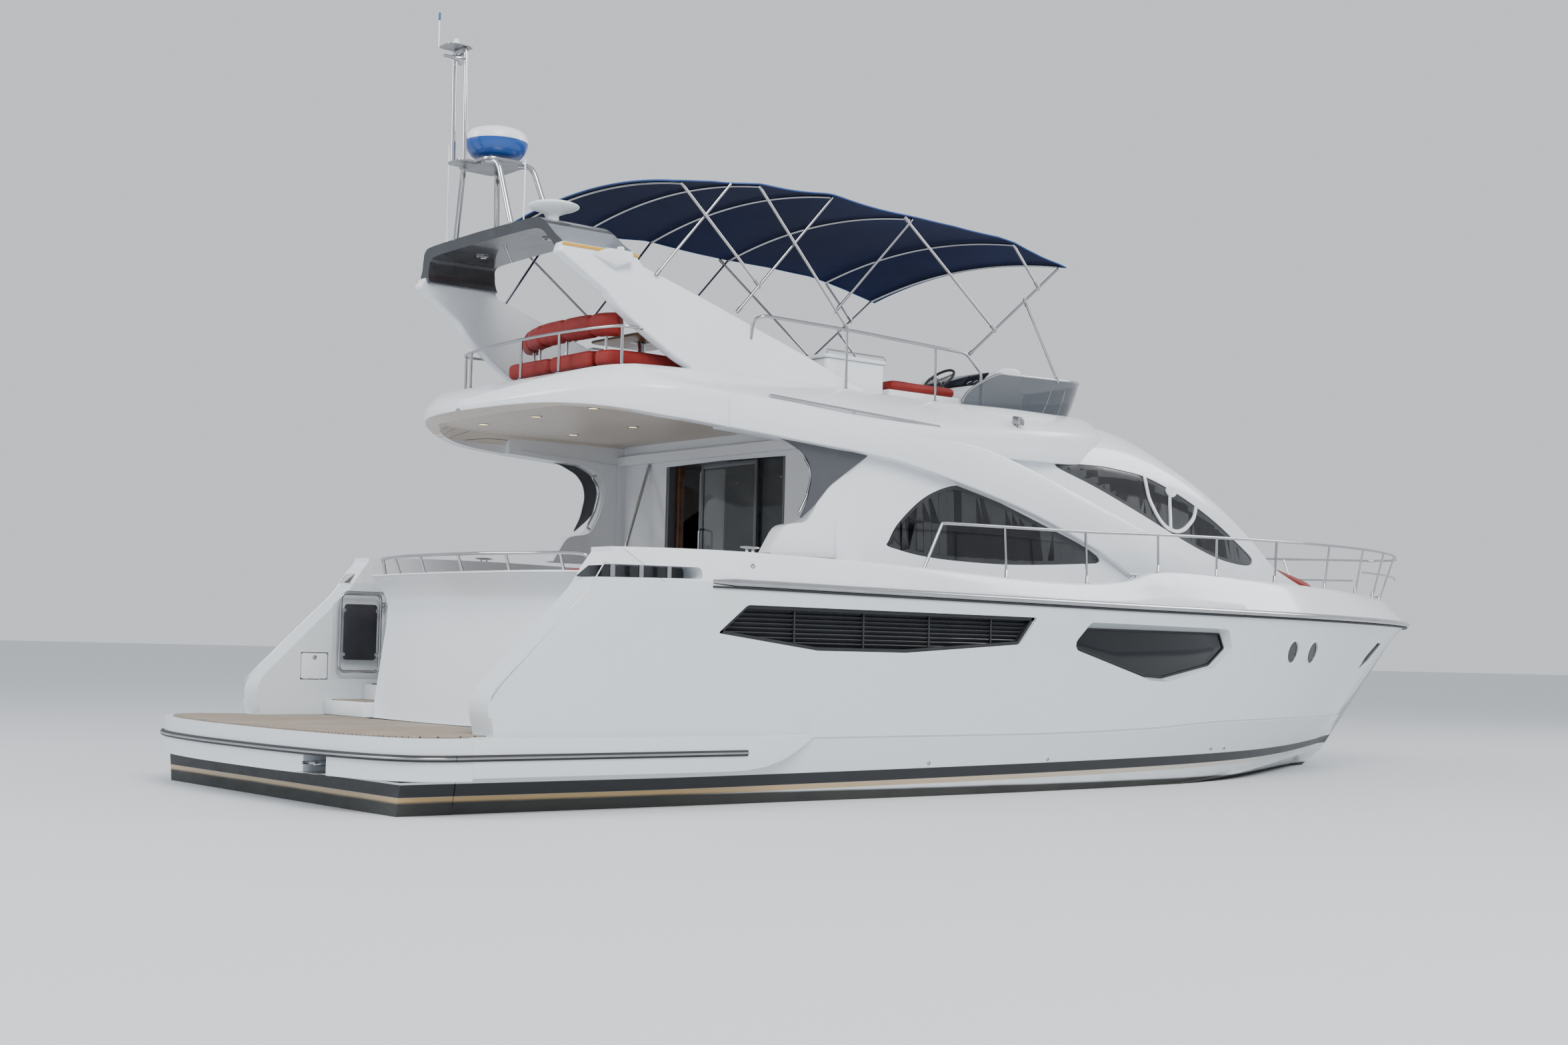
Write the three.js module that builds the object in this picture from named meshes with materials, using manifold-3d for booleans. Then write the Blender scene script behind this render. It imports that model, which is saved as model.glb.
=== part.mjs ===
// A flybridge motor yacht about 17.6 m long, afloat. Millimetres, +X to the bow, +Y to port, +Z up.
// Lengths along the boat are measured from the transom, and heights from the waterline.
// The whole boat is moved aft at the end, so that its origin is amidships on the waterline.
import * as THREE from "three";
import { mergeVertices } from "three/addons/utils/BufferGeometryUtils.js";
import Module from "manifold-3d";

const wasm = await Module();
wasm.setup();

// Driving dimensions
const AMIDSHIPS = 8000;
const GAP = 0.3;
const WALL = 60;
const PLATFORM_AFT = -850;
const PLATFORM_Z = 630;
const PLATFORM_BOTTOM = 290;
const TEAK = 12;
const COCKPIT_Z = 1300;
const COCKPIT_AFT = 1620;
const COCKPIT_HALF = 2060;
const BULKHEAD_X = 4400;
const SALOON_Z = 1350;
const CEILING_Z = 3620;
const FLY_SOLE_Z = 3720;
const FLY_HALF = 2050;
const RAIL_R = 16;

const FINISH = {
  gelcoat: { color: 0xe9ebee, roughness: 0.25, metalness: 0 },
  teak: { color: 0xab9a84, roughness: 0.75, metalness: 0 },
  glass: { color: 0x30353c, roughness: 0.08, metalness: 0 },
  smoked: { color: 0x5a6a6c, roughness: 0.1, metalness: 0 },
  steel: { color: 0xc9ccd0, roughness: 0.2, metalness: 1 },
  grey: { color: 0x55585e, roughness: 0.35, metalness: 0 },
  black: { color: 0x17191c, roughness: 0.5, metalness: 0 },
  canvas: { color: 0x1e2c52, roughness: 0.9, metalness: 0 },
  red: { color: 0x9c2f27, roughness: 0.7, metalness: 0 },
  beige: { color: 0xcbbfae, roughness: 0.7, metalness: 0 },
  wood: { color: 0x4a2418, roughness: 0.4, metalness: 0 },
  bronze: { color: 0xa9843f, roughness: 0.3, metalness: 1 },
  engine: { color: 0xd8dadc, roughness: 0.5, metalness: 0.3 },
};

const yacht = new THREE.Group();
const boat = new THREE.Group();
boat.position.x = -AMIDSHIPS;
yacht.add(boat);

const materials = Object.fromEntries(
  Object.entries(FINISH).map(([slot, look]) => [slot, new THREE.MeshStandardMaterial(look)]),
);

// Solids

// A closed geometry as a solid whose faces point out, whichever way its outline ran.
function solid(geometry) {
  const bare = geometry.clone();
  bare.deleteAttribute("normal");
  bare.deleteAttribute("uv");
  const merged = mergeVertices(bare, 1e-3);
  const vertProperties = merged.attributes.position.array;
  const triVerts = new Uint32Array(merged.index.array);
  const at = (i) => new THREE.Vector3().fromArray(vertProperties, 3 * triVerts[i]);
  let volume = 0;
  for (let i = 0; i < triVerts.length; i += 3) {
    volume += at(i).dot(at(i + 1).cross(at(i + 2)));
  }
  for (let i = 0; volume < 0 && i < triVerts.length; i += 3) {
    [triVerts[i + 1], triVerts[i + 2]] = [triVerts[i + 2], triVerts[i + 1]];
  }
  return new wasm.Manifold(new wasm.Mesh({ numProp: 3, vertProperties, triVerts }));
}

function join(...solids) {
  return solids.reduce((all, one) => all.add(one));
}

function cut(body, ...tools) {
  return tools.reduce((left, tool) => left.subtract(tool), body);
}

// A body grown by a hair in every direction, to cut its neighbours with.
function grown(body) {
  const moves = [[GAP, 0, 0], [-GAP, 0, 0], [0, GAP, 0], [0, -GAP, 0], [0, 0, GAP], [0, 0, -GAP]];
  return join(...moves.map((move) => body.translate(move)));
}

// The largest piece of a body that a cut has left in several.
function largest(body) {
  return body.decompose().sort((a, b) => b.volume() - a.volume())[0];
}

function part(name, body, slot) {
  const made = body.getMesh();
  const geometry = new THREE.BufferGeometry();
  geometry.setAttribute("position", new THREE.BufferAttribute(made.vertProperties, 3));
  geometry.setIndex(new THREE.BufferAttribute(made.triVerts, 1));
  const mesh = new THREE.Mesh(geometry, materials[slot]);
  mesh.name = name;
  boat.add(mesh);
  return mesh;
}

// An outline [u, v] pushed along an axis: y takes (x, z), z takes (x, y) and x takes (y, z).
const AXES = {
  x: [[0, 1, 0], [0, 0, 1], [1, 0, 0]],
  y: [[1, 0, 0], [0, 0, 1], [0, 1, 0]],
  z: [[1, 0, 0], [0, 1, 0], [0, 0, 1]],
};

function prism(axis, outline, from, to) {
  const shape = new THREE.Shape(outline.map(([u, v]) => new THREE.Vector2(u, v)));
  const geometry = new THREE.ExtrudeGeometry(shape, { depth: Math.abs(to - from), bevelEnabled: false });
  const [u, v, w] = AXES[axis].map((a) => new THREE.Vector3(...a));
  const frame = new THREE.Matrix4().makeBasis(u, v, w);
  frame.setPosition(w.multiplyScalar(Math.min(from, to)));
  return solid(geometry.applyMatrix4(frame));
}

function box(x0, x1, y0, y1, z0, z1) {
  const geometry = new THREE.BoxGeometry(x1 - x0, Math.abs(y1 - y0), z1 - z0);
  return solid(geometry.translate((x0 + x1) / 2, (y0 + y1) / 2, (z0 + z1) / 2));
}

// Rings of [x, y, z] points joined one to the next, each end closed by a strip that zigzags
// between the ring's two halves.
function loft(rings) {
  const count = rings[0].length;
  const positions = [];
  const index = [];
  for (const ring of rings) ring.forEach((p) => positions.push(...p));
  for (let r = 0; r + 1 < rings.length; r++) {
    for (let i = 0; i < count; i++) {
      const a = r * count + i;
      const b = r * count + ((i + 1) % count);
      index.push(a, b, b + count, a, b + count, a + count);
    }
  }
  const last = (rings.length - 1) * count;
  let [low, high] = [0, count - 1];
  while (high - low > 1) {
    const fresh = low + 1 + high < count ? low + 1 : high - 1;
    index.push(low, high, fresh, last + high, last + low, last + fresh);
    if (fresh === low + 1) low++;
    else high--;
  }
  const geometry = new THREE.BufferGeometry();
  geometry.setAttribute("position", new THREE.Float32BufferAttribute(positions, 3));
  geometry.setIndex(index);
  return solid(geometry);
}

// A smooth curve through [u, v] points, as points again.
function smooth(points, pieces) {
  const curve = new THREE.SplineCurve(points.map(([u, v]) => new THREE.Vector2(u, v)));
  return curve.getPoints(pieces).map((p) => [p.x, p.y]);
}

// One value of a table of rows that start with x, read at any x along a smooth line.
function column(table, k, x) {
  const i = Math.max(0, Math.min(table.length - 2, table.findIndex((row) => row[0] > x) - 1));
  const near = x >= table.at(-1)[0] ? table.length - 2 : i;
  const [a, b, c, d] = [near - 1, near, near + 1, near + 2].map(
    (n) => table[Math.max(0, Math.min(table.length - 1, n))],
  );
  const span = c[0] - b[0];
  const t = Math.max(0, Math.min(1, (x - b[0]) / span));
  const slope = (p, q) => (q[0] === p[0] ? 0 : (q[k] - p[k]) / (q[0] - p[0]));
  const [m0, m1] = [slope(a, c) * span, slope(b, d) * span];
  const [t2, t3] = [t * t, t * t * t];
  const ends = (2 * t3 - 3 * t2 + 1) * b[k] + (3 * t2 - 2 * t3) * c[k];
  return ends + (t3 - 2 * t2 + t) * m0 + (t3 - t2) * m1;
}

function rod(from, to, radius, sides = 8) {
  const [a, b] = [new THREE.Vector3(...from), new THREE.Vector3(...to)];
  const geometry = new THREE.CylinderGeometry(radius, radius, a.distanceTo(b), sides);
  const turn = new THREE.Quaternion().setFromUnitVectors(
    new THREE.Vector3(0, 1, 0),
    b.clone().sub(a).normalize(),
  );
  geometry.applyQuaternion(turn);
  const centre = a.add(b).multiplyScalar(0.5);
  return solid(geometry.translate(centre.x, centre.y, centre.z));
}

// A bent tube through [x, y, z] points, mitred at each bend.
function pipe(points, radius, sides = 8) {
  const line = points.map((p) => new THREE.Vector3(...p));
  const runs = line.slice(1).map((p, i) => p.clone().sub(line[i]).normalize());
  const up = Math.abs(runs[0].z) < 0.9 ? new THREE.Vector3(0, 0, 1) : new THREE.Vector3(0, 1, 0);
  const across = up.cross(runs[0]).normalize();
  const rings = [Array.from({ length: sides }, (_, i) => across.clone()
    .applyAxisAngle(runs[0], (2 * Math.PI * i) / sides).multiplyScalar(radius).add(line[0]))];
  for (let i = 1; i < line.length; i++) {
    const plane = runs[i - 1].clone().add(runs[Math.min(i, runs.length - 1)]);
    rings.push(rings.at(-1).map((q) => {
      const far = line[i].clone().sub(q).dot(plane) / runs[i - 1].dot(plane);
      return q.clone().addScaledVector(runs[i - 1], far);
    }));
  }
  return loft(rings.map((ring) => ring.map((q) => q.toArray())));
}

function lathe(profile, segments, axis, place) {
  const points = profile.map(([r, h]) => new THREE.Vector2(r, h));
  const geometry = new THREE.LatheGeometry(points, segments);
  const turn = new THREE.Quaternion().setFromUnitVectors(
    new THREE.Vector3(0, 1, 0),
    new THREE.Vector3(...axis),
  );
  return solid(geometry.applyQuaternion(turn).translate(...place));
}

// A ring that goes up one side of the boat and down the other.
const bothSides = (half) => [
  ...half.map(([x, y, z]) => [x, -y, z]),
  ...half.toReversed().map(([x, y, z]) => [x, y, z]),
];

// Hull

// Stations along the sheer: x, keel z, chine y, chine z, knuckle y, knuckle z, sheer y, sheer z,
// bulwark top y, bulwark top z.
const HULL = [
  [0, -760, 2250, -130, 2400, 560, 2460, 1990, 2390, 2200],
  [2400, -800, 2290, -130, 2410, 575, 2470, 1985, 2400, 2270],
  [4600, -840, 2300, -125, 2420, 585, 2475, 1968, 2400, 2240],
  [6600, -860, 2270, -100, 2410, 592, 2475, 1952, 2380, 2165],
  [7500, -860, 2220, -85, 2390, 605, 2470, 1945, 2370, 2165],
  [8100, -860, 2180, -70, 2370, 620, 2465, 1941, 2360, 2215],
  [8700, -855, 2140, -40, 2350, 635, 2455, 1938, 2340, 2330],
  [10000, -830, 2010, 10, 2270, 690, 2430, 1932, 2300, 2325],
  [11500, -760, 1740, 70, 2080, 712, 2290, 1928, 2140, 2300],
  [13000, -620, 1310, 130, 1700, 715, 1980, 1925, 1810, 2275],
  [14200, -460, 900, 170, 1260, 712, 1560, 1925, 1380, 2255],
  [15200, -290, 540, 200, 820, 708, 1080, 1927, 890, 2245],
  [16100, -120, 200, 225, 350, 703, 480, 1930, 330, 2235],
  [16670, -40, 30, 240, 30, 700, 30, 1932, 30, 2225],
];
const BOW_FROM = 8000;
const SHEER_TIP = 16670;
// Where each line of the hull ends at the stem: keel, chine, knuckle, sheer, bulwark top.
const STEM = [14280, 14850, 15230, SHEER_TIP, 16330];
const HULL_SLICES = 36;
const FLARE = 0.35;

const alongLine = (line, s) =>
  s < BOW_FROM ? s : BOW_FROM + ((s - BOW_FROM) * (STEM[line] - BOW_FROM)) / (SHEER_TIP - BOW_FROM);
const hull = (k, s) => column(HULL, k, s);

// One station of the hull, from the keel up to the bulwark. A point between knuckle and sheer
// draws the topside in a little, which gives the bow its flare.
function hullRing(s) {
  const kneeX = (alongLine(2, s) + alongLine(3, s)) / 2;
  const flare = 60 * Math.max(0, Math.min(1, (s - BOW_FROM) / 6000)) ** 2;
  const knee = Math.max(30, (hull(4, s) + hull(6, s)) / 2 - flare);
  return bothSides([
    [alongLine(0, s), 30, hull(1, s)],
    [alongLine(1, s), hull(2, s), hull(3, s)],
    [alongLine(2, s), hull(4, s), hull(5, s)],
    [kneeX, knee, hull(5, s) * (1 - FLARE - 0.15) + hull(7, s) * (FLARE + 0.15)],
    [alongLine(3, s), hull(6, s), hull(7, s)],
    [alongLine(4, s), hull(8, s), hull(9, s)],
  ]);
}

const hullStations = Array.from({ length: HULL_SLICES + 1 }, (_, i) => {
  const t = i / HULL_SLICES;
  return SHEER_TIP * (t + 0.12 * Math.sin(Math.PI * t) * t);
}).map((s) => Math.min(s, SHEER_TIP));
const hullBody = loft(hullStations.map(hullRing));

// The underbody carries on aft beneath the platform, and stops short of its end.
const UNDERBODY_AFT = -500;
const underbody = loft(
  [UNDERBODY_AFT, 0].map((x) =>
    bothSides([
      [x, 30, hull(1, 0)],
      [x, hull(2, 0), hull(3, 0)],
      [x, hull(2, 0) + 60, PLATFORM_BOTTOM - 20],
    ]),
  ),
);

// Sponsons carry the platform's edge forward along both sides, and taper into the topside.
const SPONSON = [[0, 2600], [2800, 2570], [3300, 2520], [3700, 2440], [3700, 2300], [0, 2300]];
const sponsons = [1, -1].map((side) =>
  prism("z", SPONSON.map(([x, y]) => [x, y * side]), PLATFORM_BOTTOM + 20, PLATFORM_Z - 10),
);

// The stern wings rise in a curve from the platform to the coaming, seen from the side.
const WING_EDGE = [
  [300, PLATFORM_Z], [270, 950], [565, 1273], [906, 1609], [1180, 1875], [1330, 2090], [1420, 2206],
];
// A crease on each quarter, [x, z], with the hull's side there; above it the side leans inboard.
const QUARTER_CREASE = [
  [484, 632, 2400], [600, 820, 2412], [748, 1036, 2420], [1095, 1341, 2434], [1500, 1640, 2446],
  [1955, 1946, 2458],
];
const QUARTER_LEAN = 75;
const quarterFacets = [1, -1].map((side) => loft(QUARTER_CREASE.map(([x, z, y]) => [
  [x, (y + 12) * side, z],
  [x - 900, (y + 200) * side, z + 620],
  [x - 900, (y + 12 - QUARTER_LEAN * 2.2) * side, z + 620],
])));
const wingCut = prism("y", [...WING_EDGE, [1420, 3000], [-900, 3000], [-900, PLATFORM_Z]], -3000, 3000);

const STAIR = { inner: 1200, end: 2731 };
const sternCuts = [
  box(-900, COCKPIT_AFT, -COCKPIT_HALF, COCKPIT_HALF, PLATFORM_Z, 3000),
  box(1600, BULKHEAD_X, -COCKPIT_HALF, COCKPIT_HALF, COCKPIT_Z, 3000),
  box(1600, STAIR.end, STAIR.inner, COCKPIT_HALF, PLATFORM_Z, 3000),
];

const SALOON_PLAN = [[BULKHEAD_X - 10, 1850], [8600, 1800], [10400, 1400]];
const mirrored = (half) => [...half, ...half.toReversed().map(([x, y]) => [x, -y])];
const saloonCut = prism("z", mirrored(SALOON_PLAN), SALOON_Z, 3000);

// The side decks and the foredeck lie a little below the bulwark's top.
const DECK_Z = 2110;
const deckHalf = (s) => [alongLine(4, s), hull(8, s) - 110];
const deckPlan = [4600, 6000, 7500, 9000, 10500, 12000, 13200, 14200, 15000, 15700].map(deckHalf);
const deckCut = prism("z", mirrored(deckPlan), DECK_Z, 3000);

// The engine room lies under the cockpit and the saloon, and opens at a hatch in the cockpit sole.
const HATCH = { x0: 3050, x1: 3750, half: 350 };
const engineRoom = [
  box(2850, 5600, -1500, 1500, -240, 1180),
  box(HATCH.x0, HATCH.x1, -HATCH.half, HATCH.half, 1100, 1400),
];

// Openings in the topsides, as (x, z) outlines on the starboard side.
const LOUVRE = [[2532, 1529], [2855, 1790], [6604, 1780], [6362, 1502], [4804, 1392], [3698, 1392]];
const HULL_WINDOW = [
  [7250, 1510], [7450, 1690], [9730, 1687], [9810, 1523], [9540, 1330], [8742, 1180], [8460, 1195],
];
const BOW_WINDOW = [[13830, 1310], [13870, 1480], [14080, 1660], [14330, 1655], [14130, 1430]];
const PORTHOLES = [[11200, 1500], [11720, 1500]];
const PORTHOLE_R = 130;
const RECESS_Y = 2330;

function throughSide(outline, inner, outer, side) {
  return prism("y", outline, inner * side, outer * side);
}

const circle = ([cx, cz], radius, sides) =>
  Array.from({ length: sides }, (_, i) => {
    const a = (2 * Math.PI * i) / sides;
    return [cx + radius * Math.cos(a), cz + radius * Math.sin(a)];
  });

const topsideCuts = [1, -1].flatMap((side) => [
  throughSide(LOUVRE, RECESS_Y, 2600, side),
  throughSide(HULL_WINDOW, RECESS_Y - 60, 2600, side),
  ...PORTHOLES.map((at) => throughSide(circle(at, PORTHOLE_R, 16), 1800, 2600, side)),
  throughSide(BOW_WINDOW, 800, 2200, side),
]);

// The hull's half of the boarding gate's hinges: a knuckle above each of the gate's own
const GATE = { x0: 1110, x1: 1560, z0: 1075, z1: 1870, y: 2030, r: 16 };
const GATE_HINGE = { x: 1620, r: 13, heights: [1200, 1750] };
const gateBrackets = GATE_HINGE.heights.map((z) => join(
  rod([GATE_HINGE.x, GATE.y, z + 20 + GAP], [GATE_HINGE.x, GATE.y, z + 45], GATE_HINGE.r, 12),
  box(GATE_HINGE.x - 8, GATE_HINGE.x + 8, GATE.y, 2115, z + 20 + GAP, z + 45),
));

// A locker in the port wing, beside the platform, and the recess that the gate folds into.
const LOCKER = [[706, 990], [1006, 990], [1006, 1265], [706, 1265]];
const GATE_RECESS = [[1040, 1000], [1640, 1000], [1640, 1900], [1040, 1900]];
const lockerCut = prism("y", LOCKER, COCKPIT_HALF - 10, COCKPIT_HALF + 250);
const gateCut = prism("y", GATE_RECESS, COCKPIT_HALF - 10, COCKPIT_HALF + 45);

// Mooring pockets in the quarters, each with a post inside.
const POCKET = [[1186, 1979], [2345, 2002], [2336, 2104], [1337, 2096]];
const pockets = [1, -1].map((side) => throughSide(POCKET, 2160, 2600, side));
const pocketPosts = [1, -1].flatMap((side) =>
  [1500, 1800, 2100].map((x) => rod([x, 2280 * side, 1960], [x, 2280 * side, 2130], 28)),
);

// A strut under the hull carries each propeller shaft, which runs up into a tube in the bottom.
const PROP = { x: 950, y: 820, z: -940, r: 330 };
const SHAFT_END = [3500, 0, -526];
const SHAFT_R = 30;
const SHAFT_SLOPE = THREE.MathUtils.radToDeg(
  Math.atan2(SHAFT_END[2] - PROP.z, SHAFT_END[0] - PROP.x));
const CLEAR = 7;
const shaftAt = (x) => PROP.z + ((x - PROP.x) * (SHAFT_END[2] - PROP.z)) / (SHAFT_END[0] - PROP.x);
const struts = [1, -1].map((side) => {
  const y = PROP.y * side;
  const [a, b] = [PROP.x + 130, PROP.x + 350];
  return join(
    prism("x", [[y - 12, -900], [y + 12, -900], [y + 30, -480], [y - 30, -480]], a + 40, b - 40),
    rod([a, y, shaftAt(a)], [b, y, shaftAt(b)], 60, 16),
  );
});
const shaftTubes = [1, -1].map((side) =>
  rod([PROP.x, PROP.y * side, PROP.z], [SHAFT_END[0] + 60, PROP.y * side,
    shaftAt(SHAFT_END[0] + 60)], SHAFT_R + CLEAR, 16));
const stockHoles = [1, -1].map((side) => rod([330, PROP.y * side, -900],
  [330, PROP.y * side, -400], 26 + CLEAR, 16));

const hullSolid = join(
  cut(join(hullBody, underbody, ...sponsons, ...struts), wingCut, ...sternCuts, saloonCut, deckCut,
    ...engineRoom, ...quarterFacets, ...topsideCuts, lockerCut, gateCut, ...pockets,
    ...shaftTubes, ...stockHoles),
  ...pocketPosts, ...gateBrackets,
);
part("hull", hullSolid, "gelcoat");
const hullClear = grown(hullSolid);

// Glass and grilles set in the topsides
for (const [side, name] of [[-1, "stbd"], [1, "port"]]) {
  const inset = (outline, by) => {
    const [cx, cz] = [0, 1].map((k) => outline.reduce((s, p) => s + p[k], 0) / outline.length);
    return outline.map(([x, z]) => [x - Math.sign(x - cx) * by, z - Math.sign(z - cz) * by]);
  };
  const back = throughSide(inset(LOUVRE, 6), RECESS_Y + GAP, RECESS_Y + 25, side);
  const slats = [1485, 1550, 1615, 1680].map((z) =>
    prism("x", [[(RECESS_Y + 20) * side, z + 30], [(RECESS_Y + 95) * side, z - 8],
      [(RECESS_Y + 95) * side, z - 22], [(RECESS_Y + 20) * side, z + 8]], 2600, 6560),
  );
  const field = throughSide(inset(LOUVRE, 8), RECESS_Y + GAP, RECESS_Y + 105, side);
  const frame = cut(throughSide(inset(LOUVRE, 6), RECESS_Y + GAP, RECESS_Y + 105, side),
    throughSide(inset(LOUVRE, 40), RECESS_Y - 5, RECESS_Y + 200, side));
  const louvre = join(back, frame, join(...slats).intersect(field));
  part(`louvre_${name}`, largest(cut(louvre, hullClear)), "black");
  const glazing = throughSide(HULL_WINDOW, RECESS_Y - 60 + GAP, RECESS_Y - 40, side);
  part(`hull_window_${name}`, largest(cut(glazing, hullClear)), "glass");
}

// Platform, stern and cockpit

const PLATFORM_PLAN = mirrored([
  [-GAP, 2590], [-280, 2570], [-480, 2450], [-640, 2150], [-760, 1600], [PLATFORM_AFT, 700],
]);
const NOTCH = { y0: -1560, y1: -1220 };
const platform = cut(
  prism("z", PLATFORM_PLAN, PLATFORM_BOTTOM, PLATFORM_Z),
  box(-950, -560, NOTCH.y0, NOTCH.y1, PLATFORM_BOTTOM - 10, 450),
  box(UNDERBODY_AFT - 20, 0, -2400, 2400, 0, PLATFORM_BOTTOM + 1),
);
part("swim_platform", platform, "gelcoat");

const TEAK_MARGIN = 70;
const teakPlan = [
  [260, 2050], [260, 2350], [-150, 2480], [-430, 2370], [-570, 2120], [-690, 1580],
  [PLATFORM_AFT + TEAK_MARGIN, 690],
];
part("platform_teak", join(
  prism("z", mirrored(teakPlan.slice(1)), PLATFORM_Z + GAP, PLATFORM_Z + TEAK),
  box(200, 950, -COCKPIT_HALF + 10, COCKPIT_HALF - 10, PLATFORM_Z + GAP, PLATFORM_Z + TEAK),
), "teak");

// A dark fender strip runs round the platform and along the sponsons.
const FENDER_Z = [445, 500];
const fenderLine = [[2800, 2571], [0, 2601], [-290, 2581], [-493, 2459], [-651, 2156], [-771, 1604],
  [PLATFORM_AFT - 11, 702]];
const fenderOuter = fenderLine.map(([x, y]) => [x - (x < 0 ? 22 : 0), y + (x < -600 ? 4 : 24)]);
const fenderRing = [
  ...fenderOuter, ...fenderOuter.toReversed().map(([x, y]) => [x, -y]),
  ...fenderLine.map(([x, y]) => [x, -y]), ...fenderLine.toReversed(),
];
part("platform_fender", cut(
  prism("z", fenderRing, FENDER_Z[0], FENDER_Z[1]),
  box(-950, -560, NOTCH.y0, NOTCH.y1, 300, 460),
), "black");

// The stern moulding leans forward as it rises, and flares aft at its top edge.
const MOULDING = [
  [1000, PLATFORM_Z + TEAK + GAP], [1140, 1750], [930, 2045], [1500, 2045],
  [COCKPIT_AFT - GAP, 2000], [COCKPIT_AFT - GAP, PLATFORM_Z + TEAK + GAP],
];
// How far the moulding's face lies ahead of its middle, across the boat.
const MOULDING_BOW = [
  [-2060, 340], [-1800, 190], [-1400, 90], [-900, 30], [-300, 0], [400, 10], [1200, 70],
];
const benchSeat = box(COCKPIT_AFT - 40, 2250, -COCKPIT_HALF + GAP, 1150, COCKPIT_Z + TEAK + GAP, 1640);
const sternMoulding = join(
  loft(MOULDING_BOW.map(([y, back]) => MOULDING.map(([x, z], k) => [
    k < 3 ? x + back : x, Math.max(-COCKPIT_HALF + GAP, Math.min(STAIR.inner - GAP, y)), z,
  ]))),
  benchSeat,
);
part("stern_moulding", sternMoulding, "gelcoat");
part("cockpit_cushion", join(
  box(1700, 2260, -2010, 1140, 1640 + GAP, 1750),
  prism("y", [[1625, 1745], [1780, 1745], [1740, 2110], [1625, 2110]], -2010, 1140),
), "red");

const STEP = { x: 967, rise: 160, run: 441, count: 4 };
const stairOutline = [[STEP.x, PLATFORM_Z + TEAK + GAP]];
for (let i = 0; i < STEP.count; i++) {
  const z = PLATFORM_Z + (i + 1) * STEP.rise;
  stairOutline.push([STEP.x + i * STEP.run, z], [STEP.x + (i + 1) * STEP.run, z]);
}
stairOutline.at(-1)[0] = STAIR.end - GAP;
stairOutline.push([STAIR.end - GAP, PLATFORM_Z + TEAK + GAP]);
part("boarding_steps",
  prism("y", stairOutline, STAIR.inner + GAP, COCKPIT_HALF - GAP), "gelcoat");

const hatchHole = box(HATCH.x0, HATCH.x1, -HATCH.half, HATCH.half, 1200, 1400);
part("cockpit_teak", cut(
  box(COCKPIT_AFT + 5, BULKHEAD_X - 5, -COCKPIT_HALF + 5, COCKPIT_HALF - 5,
    COCKPIT_Z + GAP, COCKPIT_Z + TEAK),
  box(1600, STAIR.end + 5, STAIR.inner - 5, 2100, 1200, 1400),
  hatchHole,
), "teak");
const HATCH_GAP = 6;
const hatchKnuckles = [-220, 220].map((y) => rod(
  [HATCH.x1 - HATCH_GAP, y - 40, COCKPIT_Z + TEAK], [HATCH.x1 - HATCH_GAP, y + 40, COCKPIT_Z + TEAK],
  HATCH_GAP - 0.5, 12));
part("engine_hatch", join(
  box(HATCH.x0 + HATCH_GAP, HATCH.x1 - HATCH_GAP,
    -HATCH.half + HATCH_GAP, HATCH.half - HATCH_GAP, COCKPIT_Z - 30, COCKPIT_Z + TEAK),
  ...hatchKnuckles,
), "teak");

// Two engines on their beds under the sole
const ENGINE = { x0: 3050, x1: 4700, y: 780, half: 420, z0: -240 + GAP, z1: 700 };
for (const [side, name] of [[-1, "stbd"], [1, "port"]]) {
  part(`engine_${name}`, box(ENGINE.x0, ENGINE.x1, side * ENGINE.y - ENGINE.half,
    side * ENGINE.y + ENGINE.half, ENGINE.z0, ENGINE.z1), "engine");
}

// The boarding gate is a tube frame with a dark panel, folded back into the port wing.
const gateFrame = pipe([
  [GATE.x1, GATE.y, GATE.z0], [GATE.x0, GATE.y, GATE.z0], [GATE.x0, GATE.y, GATE.z1],
  [GATE.x1, GATE.y, GATE.z1], [GATE.x1, GATE.y, GATE.z0],
], GATE.r);
const gateCorner = box(GATE.x1 - GATE.r, GATE.x1 + GATE.r, GATE.y - GATE.r, GATE.y + GATE.r,
  GATE.z0 - GATE.r, GATE.z0 + GATE.r);
const gatePanel = box(GATE.x0 + 45, GATE.x1 - 45, GATE.y - 5, GATE.y + 5, 1200, 1760);
const gateClips = [1250, 1700].flatMap((z) => [
  box(GATE.x0, GATE.x0 + 60, GATE.y - 8, GATE.y + 8, z - 15, z + 15),
  box(GATE.x1 - 60, GATE.x1, GATE.y - 8, GATE.y + 8, z - 15, z + 15),
]);
const gateHinges = GATE_HINGE.heights.flatMap((z) => [
  box(GATE.x1, GATE_HINGE.x, GATE.y - 6, GATE.y + 6, z - 20, z + 20),
  rod([GATE_HINGE.x, GATE.y, z - 20], [GATE_HINGE.x, GATE.y, z + 20], GATE_HINGE.r, 12),
]);
part("boarding_gate", join(gateFrame, gateCorner, gatePanel, ...gateClips, ...gateHinges), "steel");
part("locker_lid", join(
  box(712, 1000, COCKPIT_HALF + 2, COCKPIT_HALF + 22, 996, 1259),
  ...[780, 930].map((x) => rod([x - 25, COCKPIT_HALF + 2, 996], [x + 25, COCKPIT_HALF + 2, 996],
    5.5, 12)),
), "gelcoat");

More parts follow.
